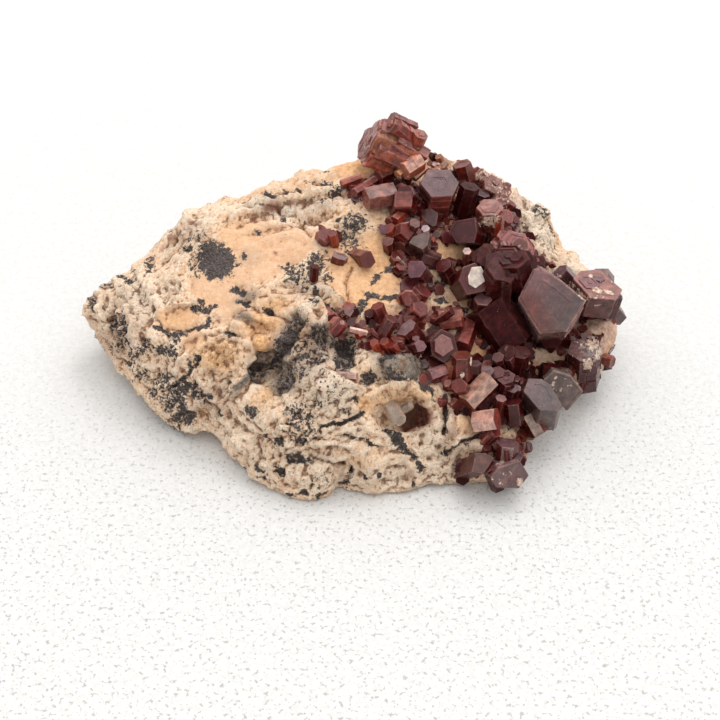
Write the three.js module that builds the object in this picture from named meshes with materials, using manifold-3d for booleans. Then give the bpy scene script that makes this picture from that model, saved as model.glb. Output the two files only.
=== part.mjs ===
// Vanadinite on its host rock: a hand-sized block of pale limonite-stained
// rock with dark dendrites, and groups of short red-brown hexagonal prisms
// (vanadinite) grown on its upper right side. A pocket low on the rock holds
// a small clear crystal.
// Units are millimetres, +Z up, +X to the right of the display side, the
// display side faces -Y. The underside is broken flat and rests at z = 0.

import * as THREE from 'three';
import { mergeVertices } from 'three/addons/utils/BufferGeometryUtils.js';
import Module from 'manifold-3d';

// ---------------------------------------------------------------- dimensions
const BLOCK_CENTRE = [-1.5, 25.0, 8.6];  // middle of the host rock, before centring
const BLOCK_DETAIL = 9;                  // facets along an edge of the block's sphere
const LATITUDE_STEP = 5;                 // degrees between rows of BLOCK_RADII
const GAP = 0.3;                         // clearance between crystals and host rock
const FLOOR_CLEARANCE = 0.35;            // no crystal reaches the resting plane
const MIN_PIECE = 0.35;                  // mm3, smaller cut-offs are dropped

// Distance from the middle of the block to its surface, south pole to north
// pole, starting at +X and going counter-clockwise every 5 degrees.
const BLOCK_RADII = [
  [8.6,8.6,8.6,8.6,8.6,8.6,8.6,8.6,8.6,8.6,8.6,8.6,8.6,8.6,8.6,8.6,8.6,8.6,8.6,8.6,8.6,8.6,8.6,8.6,8.6,8.6,8.6,8.6,8.6,8.6,8.6,8.6,8.6,8.6,8.6,8.6,8.6,8.6,8.6,8.6,8.6,8.6,8.6,8.6,8.6,8.6,8.6,8.6,8.6,8.6,8.6,8.6,8.6,8.6,8.6,8.6,8.6,8.6,8.6,8.6,8.6,8.6,8.6,8.6,8.6,8.6,8.6,8.6,8.6,8.6,8.6,8.6],
  [8.63,8.63,8.63,8.63,8.63,8.63,8.63,8.63,8.63,8.63,8.63,8.63,8.63,8.63,8.63,8.63,8.63,8.63,8.63,8.63,8.63,8.63,8.63,8.63,8.63,8.63,8.63,8.63,8.63,8.63,8.63,8.63,8.63,8.63,8.63,8.63,8.63,8.63,8.63,8.63,8.63,8.63,8.63,8.63,8.63,8.63,8.63,8.63,8.63,8.63,8.63,8.63,8.63,8.63,8.63,8.63,8.63,8.63,8.63,8.63,8.63,8.63,8.63,8.63,8.63,8.63,8.63,8.63,8.63,8.63,8.63,8.63],
  [8.73,8.73,8.73,8.73,8.73,8.73,8.73,8.73,8.73,8.73,8.73,8.73,8.73,8.73,8.73,8.73,8.73,8.73,8.73,8.73,8.73,8.73,8.73,8.73,8.73,8.73,8.73,8.73,8.73,8.73,8.73,8.73,8.73,8.73,8.73,8.73,8.73,8.73,8.73,8.73,8.73,8.73,8.73,8.73,8.73,8.73,8.73,8.73,8.73,8.73,8.73,8.73,8.73,8.73,8.73,8.73,8.73,8.73,8.73,8.73,8.73,8.73,8.73,8.73,8.73,8.73,8.73,8.73,8.73,8.73,8.73,8.73],
  [8.9,8.9,8.9,8.9,8.9,8.9,8.9,8.9,8.9,8.9,8.9,8.9,8.9,8.9,8.9,8.9,8.9,8.9,8.9,8.9,8.9,8.9,8.9,8.9,8.9,8.9,8.9,8.9,8.9,8.9,8.9,8.9,8.9,8.9,8.9,8.9,8.9,8.9,8.9,8.9,8.9,8.9,8.9,8.9,8.9,8.9,8.9,8.9,8.9,8.9,8.9,8.9,8.9,8.9,8.9,8.9,8.9,8.9,8.9,8.9,8.9,8.9,8.9,8.9,8.9,8.9,8.9,8.9,8.9,8.9,8.9,8.9],
  [9.15,9.15,9.15,9.15,9.15,9.15,9.15,9.15,9.15,9.15,9.15,9.15,9.15,9.15,9.15,9.15,9.15,9.15,9.15,9.15,9.15,9.15,9.15,9.15,9.15,9.15,9.15,9.15,9.15,9.15,9.15,9.15,9.15,9.15,9.15,9.15,9.15,9.15,9.15,9.15,9.15,9.15,9.15,9.15,9.15,9.15,9.15,9.15,9.15,9.15,9.15,9.15,9.15,9.15,9.15,9.15,9.15,9.15,9.15,9.15,9.15,9.15,9.15,9.15,9.15,9.15,9.15,9.15,9.15,9.15,9.15,9.15],
  [9.49,9.49,9.49,9.49,9.49,9.49,9.49,9.49,9.49,9.49,9.49,9.49,9.49,9.49,9.49,9.49,9.49,9.49,9.49,9.49,9.49,9.49,9.49,9.49,9.49,9.49,9.49,9.49,9.49,9.49,9.49,9.49,9.49,9.49,9.49,9.49,9.49,9.49,9.49,9.49,9.49,9.49,9.49,9.49,9.49,9.49,9.49,9.49,9.49,9.49,9.49,9.49,9.49,9.49,9.49,9.49,9.49,9.49,9.49,9.49,9.49,9.49,9.49,9.49,9.49,9.49,9.49,9.49,9.49,9.49,9.49,9.49],
  [9.93,9.93,9.93,9.93,9.93,9.93,9.93,9.93,9.93,9.93,9.93,9.93,9.93,9.93,9.93,9.93,9.93,9.93,9.93,9.93,9.93,9.93,9.93,9.93,9.93,9.93,9.93,9.93,9.93,9.93,9.93,9.93,9.93,9.93,9.93,9.93,9.93,9.93,9.93,9.93,9.93,9.93,9.93,9.93,9.93,9.93,9.93,9.93,9.93,9.93,9.93,9.93,9.93,9.93,9.93,9.93,9.93,9.93,9.93,9.93,9.93,9.93,9.93,9.93,9.93,9.93,9.93,9.93,9.93,9.93,9.93,9.93],
  [10.5,10.5,10.5,10.5,10.5,10.5,10.5,10.5,10.5,10.5,10.5,10.5,10.5,10.5,10.5,10.5,10.5,10.5,10.5,10.5,10.5,10.5,10.5,10.5,10.5,10.5,10.5,10.5,10.5,10.5,10.5,10.5,10.5,10.5,10.5,10.5,10.5,10.5,10.5,10.5,10.5,10.5,10.5,10.5,10.5,10.5,10.5,10.5,10.5,10.5,10.5,10.5,10.5,10.5,10.5,10.5,10.5,10.5,10.5,10.5,10.5,10.5,10.5,10.5,10.5,10.5,10.5,10.5,10.5,10.5,10.5,10.5],
  [11.23,11.23,11.23,11.23,11.23,11.23,11.23,11.23,11.23,11.23,11.23,11.23,11.23,11.23,11.23,11.23,11.23,11.23,11.23,11.23,11.23,11.23,11.23,11.23,11.23,11.23,11.23,11.23,11.23,11.23,11.23,11.23,11.23,11.23,11.23,11.23,11.23,11.23,11.23,11.23,11.23,11.23,11.23,11.23,11.23,11.23,11.23,11.23,11.23,11.23,11.23,11.23,11.23,11.23,11.23,11.23,11.23,11.23,11.23,11.23,11.23,11.23,11.23,11.23,11.23,11.23,11.23,11.23,11.23,11.23,11.23,11.23],
  [12.16,12.16,12.16,12.16,12.16,12.16,12.16,12.16,12.16,12.16,12.16,12.16,12.16,12.16,12.16,12.16,12.16,12.16,12.16,12.16,12.16,12.16,12.16,12.16,12.16,12.16,12.16,12.16,12.16,12.16,12.16,12.16,12.16,12.16,12.16,12.16,12.16,12.16,12.16,12.16,12.16,12.16,12.16,12.16,12.16,12.16,12.16,12.16,12.16,12.16,12.16,12.16,12.16,12.16,12.16,12.16,12.16,12.16,12.16,12.16,12.16,12.16,12.16,12.16,12.16,12.16,12.16,12.16,12.16,12.16,12.16,12.16],
  [13.38,13.38,13.38,13.38,13.38,13.38,13.38,13.38,13.38,13.38,13.38,13.38,13.38,13.38,13.38,13.38,13.38,13.38,13.38,13.38,13.38,13.38,13.38,13.38,13.38,13.38,13.38,13.38,13.38,13.38,13.38,13.38,13.38,13.38,13.38,13.38,13.38,13.38,13.38,13.38,13.38,13.38,13.38,13.38,13.38,13.38,13.38,13.38,13.38,13.38,13.38,13.38,13.38,13.38,13.38,13.38,13.38,13.38,13.38,13.38,13.38,13.38,13.38,13.38,13.38,13.38,13.38,13.38,13.38,13.38,13.38,13.38],
  [14.99,14.99,14.99,14.99,14.99,14.99,14.99,14.99,14.99,14.99,14.99,14.99,14.99,14.99,14.99,14.99,14.99,14.99,14.99,14.99,14.99,14.99,14.99,14.99,14.99,14.99,14.99,14.99,14.99,14.99,14.99,14.99,14.99,14.99,14.99,14.99,14.99,14.99,14.99,14.99,14.99,14.99,14.99,14.99,14.99,14.99,14.99,14.99,14.99,14.99,14.99,14.99,14.99,14.99,14.99,14.99,14.99,14.99,14.99,14.99,14.99,14.99,14.99,14.99,14.99,14.99,14.99,14.99,14.99,14.99,14.99,14.99],
  [17.2,17.2,17.2,17.2,17.2,17.2,17.2,17.2,17.2,17.2,17.2,17.2,17.2,17.2,17.2,17.2,17.17,17.1,17.05,17.03,17.04,17.09,17.16,17.2,17.2,17.2,17.2,17.2,17.2,17.2,17.2,17.2,17.2,17.2,17.2,17.2,17.2,17.2,17.2,17.2,17.2,17.2,17.2,17.2,17.2,17.2,17.2,17.2,17.2,17.2,17.2,17.2,17.2,17.2,17.2,17.2,17.2,17.2,17.2,17.2,17.2,17.2,17.2,17.2,17.2,17.2,17.2,17.2,17.2,17.2,17.2,17.2],
  [20.35,20.35,20.35,20.35,20.35,20.35,20.35,20.35,20.35,20.35,20.3,20.23,20.07,19.69,19.33,19.02,18.79,18.61,18.51,18.48,18.51,18.6,18.77,19,19.3,19.66,20.04,20.3,20.35,20.35,20.35,20.35,20.35,20.35,20.35,20.35,20.35,20.35,20.35,20.35,20.35,20.35,20.35,20.35,20.35,20.35,20.35,20.35,20.35,20.35,20.35,20.35,20.35,20.35,20.35,20.35,20.35,20.35,20.35,20.35,20.35,20.35,20.35,20.35,20.35,20.35,20.35,20.35,20.35,20.35,20.35,20.35],
  [25.14,25.14,25.14,25.14,25.14,24.74,24.13,23.57,23.11,22.74,22.47,22.29,22.17,21.7,21.18,20.77,20.45,20.23,20.09,20.05,20.09,20.22,20.43,20.74,21.15,21.65,22.23,22.45,22.66,22.97,23.38,23.88,24.46,25.03,25.14,25.14,25.14,25.14,25.14,25.14,24.88,24.55,23.39,22.79,23.08,23.64,23.92,24.38,24.83,25.07,25.14,25.14,25.14,25.11,23.97,24.62,24.91,25.02,25.14,25.14,25.14,25.14,25.14,25.14,25.14,25.14,25.14,25.14,25.14,25.14,25.14,25.14],
  [29.42,29.31,29.34,29.51,29.14,28.01,27.04,26.24,25.61,25.12,24.76,24.53,24.41,24.06,23.43,22.9,22.5,22.21,22.04,21.99,22.04,22.2,22.47,22.86,23.38,24.04,24.52,24.72,25,25.41,25.96,26.66,27.53,28.43,28.63,28.81,29.13,29.59,29.28,28.5,27.79,27.08,25.89,23.64,23.04,23.47,23.98,24.38,24.82,25.15,25.65,26.32,26.39,25.56,22.96,24.18,24.63,25.14,25.74,26.26,26.89,28.29,29.89,31.47,31.64,31,30.43,30.28,30.56,30.58,30.05,29.66],
  [32.93,32.78,32.83,33.03,32.82,31.93,30.64,29.58,28.75,28.11,27.65,27.36,26.97,26.14,25.5,25.08,24.66,24.15,23.68,23.48,23.67,24.14,24.62,24.94,25.15,25.41,25.96,26.83,27.7,28.42,29.19,30.12,31.21,31.85,32,32.24,32.46,31.55,30.42,29.51,28.76,27.34,25.25,23.54,22.39,22.22,22.52,23,23.25,23.35,23.68,24.62,25.04,24.05,22.64,23.28,23.76,23.93,24.21,24.61,24.46,24.99,27.26,28.7,29.15,29.17,29.12,30.03,31.38,32.58,33.45,33.26],
  [37.47,37.28,37.34,37.57,37.01,36,34.84,33.42,32.07,31.11,30.37,29.52,28.05,26.35,25.51,25.32,25.23,24.83,24.14,23.55,23.37,23.71,24.34,24.76,24.87,24.94,25.29,26.31,28.09,29.56,30.68,32,33.91,35.86,36.39,35.7,33.58,31.08,29.46,28.59,27.87,26.82,24.74,23.4,21.53,20.96,21.15,21.52,21.8,21.96,22.19,22.33,22.43,22.18,22.03,22.07,22.27,22.64,22.81,22.73,23.07,23.72,24.67,25.59,26.23,26.57,26.99,27.77,29.28,31.65,34.17,36.93],
  [37.66,39.63,40.75,40.51,37.95,36.44,35.53,34.46,32.52,30.62,29.54,28.8,27.72,26.28,25.36,25.13,25.17,25,24.34,23.48,22.85,22.69,23.04,23.62,24.06,24.33,24.67,25.44,27.21,29.61,31.13,32.33,33.78,35.89,38.05,36.04,31.73,30.07,28.61,27.38,26.42,25.51,23.96,22.7,20.61,20.12,20.17,20.21,20.2,20.68,21.46,21.6,21.18,21.11,21.17,21.19,21.09,21.03,18.48,17.74,19.12,21.96,23.74,23.18,23.79,24.34,24.84,25.35,26.18,27.06,27.78,31.81],
  [28.71,32.22,37.56,37.88,36.88,36.16,35.48,34.47,32.61,29.9,28.57,27.99,27.42,26.51,25.59,25.18,25.14,25.08,24.57,23.62,22.69,22.13,22.11,22.55,23.23,23.83,24.36,25.08,26.53,29.39,31.57,32.69,33.65,34.57,33.59,31.84,30.41,29.1,27.28,26.09,25.07,24,22.76,21.19,19.86,19.38,19.27,18.86,18.39,18.7,19.13,19.61,19.8,19.94,20.02,20.01,19.87,18.46,17.76,18.02,19.18,20.39,20.68,21,21.34,21.69,22.05,22.46,22.99,23.81,25,26.58],
  [24.45,26.36,29.25,33.99,34.6,35.01,35.21,34.28,32.89,30.06,28.26,27.66,27.36,26.86,26.05,25.36,25.05,24.93,24.61,23.81,22.79,22.02,21.7,21.89,22.56,23.46,24.3,25.13,26.3,28.49,30.85,31.1,30.8,29.8,28.89,28.08,27.25,26.34,25.36,24.48,23.41,22.22,21.46,20.61,19.21,13.67,14.07,14.92,16.18,17.47,17.97,18.28,18.51,18.65,18.7,18.7,18.6,18.19,18.28,18.98,19.69,19.43,18.99,19.08,19.2,19.36,19.51,19.59,19.76,20.2,21.21,22.87],
  [21.56,22.93,24.62,26.84,29.77,32.97,34.88,34.18,33.31,31.45,28.83,27.87,27.54,27.22,26.54,25.56,24.89,24.61,24.4,23.91,23.1,22.29,21.8,21.78,22.3,23.31,24.47,25.49,26.49,27.86,29.47,29.2,27.58,26.63,25.91,25.3,24.73,23.81,22.81,22.45,21.47,20.32,19.72,19.04,14.47,13.83,14.06,14.67,15.6,16.71,17.54,18.15,18.39,18.19,17.74,17.43,17.46,17.79,18.28,18.34,18.2,17.99,17.65,17.48,17.49,17.56,17.69,17.84,18.08,18.49,19.18,20.24],
  [19.47,20.5,21.73,23.16,24.82,26.79,29.22,32.14,33.45,32.96,30.6,28.64,27.95,27.58,26.95,25.79,24.77,24.27,24.1,23.91,23.5,22.9,22.39,22.23,22.57,23.49,24.79,25.99,26.94,27.84,27.97,26.39,25.31,24.47,23.78,23.18,22.63,22.04,21.24,20.62,19.65,18.66,17.82,17.17,15.53,14.34,14.4,14.84,15.54,16.27,16.58,17.43,18.31,18.23,17.32,16.49,16.81,16.83,16.73,17.81,17.97,17.38,16.66,16.21,16.16,16.21,16.33,16.54,16.86,17.29,17.86,18.59],
  [17.9,18.74,19.73,20.86,22.16,23.65,25.36,27.32,29.59,31.97,32.14,29.98,28.57,27.98,27.34,26.16,24.87,24.13,23.9,23.91,23.92,23.73,23.41,23.22,23.39,24.07,25.12,25.94,26.6,26.45,25.38,24.3,23.37,22.58,21.91,21.33,20.78,20.18,19.53,18.82,18.1,17.42,16.41,15.13,15.66,14.85,14.93,15.2,15.61,15.79,15.8,15.76,15.72,15.47,14.16,13.78,15.41,15.9,15.41,15.87,16.16,15.73,15.27,15.1,15.12,15.17,15.29,15.48,15.76,16.13,16.61,17.19],
  [16.69,17.4,18.23,19.18,20.27,21.49,22.83,24.29,25.89,27.69,29.69,30.46,29.42,28.53,27.88,26.86,25.42,24.38,23.98,24.03,24.32,24.58,24.57,24.35,24.3,24.43,24.74,24.71,24.43,23.75,23,22.24,21.43,20.63,19.99,19.49,19.04,18.52,17.97,17.47,16.98,16.51,15.53,14.61,14.5,14.73,15.07,15.28,15.33,15.37,15.34,15.22,15.01,14.16,12.85,12.53,13.33,14.33,14.31,14.28,14.27,14.25,14.24,14.24,14.27,14.34,14.46,14.64,14.88,15.2,15.6,16.1],
  [15.74,16.34,17.04,17.84,18.75,19.76,20.86,21.98,23.17,24.44,25.79,27.17,28.32,28.23,27.74,27.29,26.49,25.31,24.55,24.4,24.69,25.09,24.79,24.19,23.81,23.57,23.12,22.55,21.82,21.24,20.68,20.12,19.53,18.94,18.44,18.02,17.63,17.22,16.84,16.47,16.12,15.76,15.4,14.9,14.61,14.63,14.83,15.02,15.19,15.34,15.34,15.15,14.77,14.01,13.01,12.7,13.1,13.57,13.57,13.54,13.52,13.52,13.52,13.54,13.59,13.66,13.78,13.95,14.17,14.45,14.8,15.23],
  [14.97,15.48,16.07,16.73,17.48,18.3,19.17,20.06,20.98,21.92,22.88,23.83,24.73,25.55,26.04,26.11,25.94,25.65,25.11,24.58,24.41,24.47,23.74,23.02,22.4,21.93,21.4,20.21,19.73,19.3,18.79,18.29,17.82,17.43,17.08,16.76,16.45,16.15,15.87,15.6,15.33,15.07,14.84,14.64,14.52,14.51,14.63,14.85,15.11,15.34,15.41,15.2,14.72,14.11,13.47,13.11,13.06,13.04,13,12.97,12.95,12.94,12.96,12.98,13.04,13.12,13.23,13.39,13.59,13.84,14.15,14.52],
  [14.33,14.77,15.26,15.81,16.42,17.07,17.76,18.47,19.18,19.89,20.59,21.26,21.89,22.45,22.93,23.28,23.49,23.52,23.34,22.95,22.51,22.02,21.58,21.26,20.93,19.16,18.83,18.68,18.35,17.89,17.46,17.04,16.66,16.33,16.03,15.76,15.51,15.28,15.05,14.84,14.63,14.44,14.26,14.13,14.09,14.16,14.33,14.56,14.82,15.04,15.1,14.9,14.42,13.83,13.29,12.91,12.7,12.61,12.56,12.53,12.51,12.51,12.52,12.56,12.61,12.69,12.8,12.94,13.12,13.35,13.62,13.95],
  [13.81,14.18,14.59,15.04,15.53,16.05,16.59,17.15,17.7,18.23,18.74,19.22,19.67,20.06,20.38,20.61,20.75,20.77,20.67,20.51,20.32,20.08,19.51,18.53,18.28,18.12,17.96,17.61,17.22,16.84,16.47,16.12,15.8,15.51,15.25,15.01,14.8,14.59,14.4,14.22,14.05,13.89,13.75,13.67,13.67,13.75,13.89,14.07,14.25,14.37,14.36,14.17,13.8,13.34,12.91,12.58,12.38,12.28,12.23,12.2,12.19,12.19,12.2,12.24,12.3,12.37,12.47,12.6,12.77,12.97,13.21,13.49],
  [13.4,13.7,14.03,14.39,14.78,15.19,15.61,16.03,16.45,16.85,17.22,17.57,17.89,18.16,18.39,18.55,18.65,18.67,18.63,18.52,18.32,18.1,17.89,17.69,17.47,17.2,16.92,16.62,16.3,15.99,15.68,15.4,15.12,14.87,14.64,14.43,14.23,14.05,13.88,13.72,13.58,13.44,13.32,13.25,13.24,13.29,13.37,13.46,13.54,13.56,13.49,13.33,13.08,12.79,12.5,12.27,12.12,12.04,12,11.97,11.96,11.97,11.99,12.02,12.08,12.15,12.24,12.36,12.51,12.69,12.89,13.13],
  [13.07,13.32,13.58,13.86,14.16,14.47,14.78,15.1,15.41,15.7,15.98,16.23,16.46,16.66,16.82,16.94,17.02,17.06,17.05,17.01,16.93,16.82,16.69,16.53,16.36,16.18,15.98,15.75,15.51,15.27,15.02,14.78,14.56,14.35,14.15,13.96,13.79,13.63,13.48,13.34,13.2,13.08,12.97,12.9,12.86,12.85,12.86,12.88,12.87,12.84,12.77,12.64,12.49,12.32,12.15,12.02,11.93,11.88,11.85,11.83,11.82,11.83,11.85,11.89,11.94,12.01,12.1,12.2,12.33,12.48,12.66,12.85],
  [12.82,13.01,13.21,13.43,13.65,13.88,14.11,14.34,14.56,14.78,14.98,15.16,15.32,15.46,15.58,15.67,15.74,15.78,15.79,15.78,15.75,15.69,15.61,15.51,15.4,15.27,15.12,14.96,14.79,14.61,14.43,14.25,14.07,13.9,13.73,13.58,13.43,13.29,13.16,13.04,12.92,12.82,12.72,12.63,12.56,12.51,12.47,12.43,12.39,12.34,12.27,12.19,12.1,12.01,11.93,11.86,11.82,11.79,11.77,11.76,11.76,11.77,11.79,11.83,11.88,11.94,12.02,12.11,12.22,12.35,12.49,12.65],
  [12.64,12.78,12.93,13.08,13.24,13.41,13.57,13.73,13.89,14.04,14.18,14.31,14.43,14.53,14.61,14.68,14.74,14.77,14.79,14.8,14.78,14.75,14.71,14.64,14.57,14.48,14.38,14.27,14.15,14.03,13.9,13.77,13.63,13.5,13.38,13.25,13.14,13.02,12.91,12.81,12.72,12.62,12.54,12.46,12.38,12.31,12.25,12.19,12.14,12.09,12.03,11.98,11.93,11.88,11.85,11.82,11.79,11.77,11.76,11.76,11.77,11.78,11.8,11.84,11.88,11.93,12,12.08,12.17,12.27,12.38,12.5],
  [12.51,12.61,12.71,12.82,12.93,13.04,13.15,13.26,13.37,13.47,13.56,13.65,13.73,13.8,13.86,13.91,13.95,13.98,14,14,14,13.98,13.96,13.92,13.87,13.82,13.75,13.68,13.6,13.52,13.44,13.35,13.25,13.16,13.07,12.98,12.89,12.81,12.72,12.64,12.57,12.5,12.43,12.36,12.3,12.24,12.18,12.13,12.08,12.04,12,11.96,11.93,11.9,11.87,11.85,11.84,11.83,11.83,11.83,11.84,11.85,11.87,11.9,11.94,11.99,12.04,12.1,12.17,12.24,12.32,12.41],
  [12.44,12.5,12.57,12.63,12.7,12.77,12.84,12.9,12.97,13.03,13.09,13.14,13.19,13.23,13.27,13.3,13.33,13.35,13.36,13.37,13.36,13.36,13.34,13.32,13.3,13.27,13.23,13.19,13.15,13.1,13.04,12.99,12.93,12.88,12.82,12.76,12.7,12.64,12.59,12.53,12.48,12.43,12.38,12.33,12.28,12.24,12.2,12.16,12.13,12.09,12.07,12.04,12.02,12,11.98,11.97,11.96,11.96,11.96,11.96,11.97,11.99,12.01,12.03,12.06,12.09,12.13,12.17,12.22,12.27,12.32,12.38],
  [12.42,12.45,12.49,12.52,12.55,12.58,12.61,12.64,12.67,12.7,12.72,12.75,12.77,12.79,12.81,12.83,12.84,12.85,12.85,12.86,12.86,12.86,12.85,12.84,12.83,12.82,12.81,12.79,12.77,12.75,12.72,12.7,12.67,12.64,12.62,12.59,12.56,12.53,12.5,12.47,12.44,12.42,12.39,12.36,12.34,12.31,12.29,12.27,12.25,12.23,12.22,12.21,12.2,12.19,12.18,12.17,12.17,12.17,12.17,12.17,12.18,12.19,12.2,12.21,12.23,12.25,12.27,12.29,12.31,12.34,12.37,12.39],
  [12.46,12.46,12.46,12.46,12.46,12.46,12.46,12.46,12.46,12.46,12.46,12.46,12.46,12.46,12.46,12.46,12.46,12.46,12.46,12.46,12.46,12.46,12.46,12.46,12.46,12.46,12.46,12.46,12.46,12.46,12.46,12.46,12.46,12.46,12.46,12.46,12.46,12.46,12.46,12.46,12.46,12.46,12.46,12.46,12.46,12.46,12.46,12.46,12.46,12.46,12.46,12.46,12.46,12.46,12.46,12.46,12.46,12.46,12.46,12.46,12.46,12.46,12.46,12.46,12.46,12.46,12.46,12.46,12.46,12.46,12.46,12.46],
];

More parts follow.
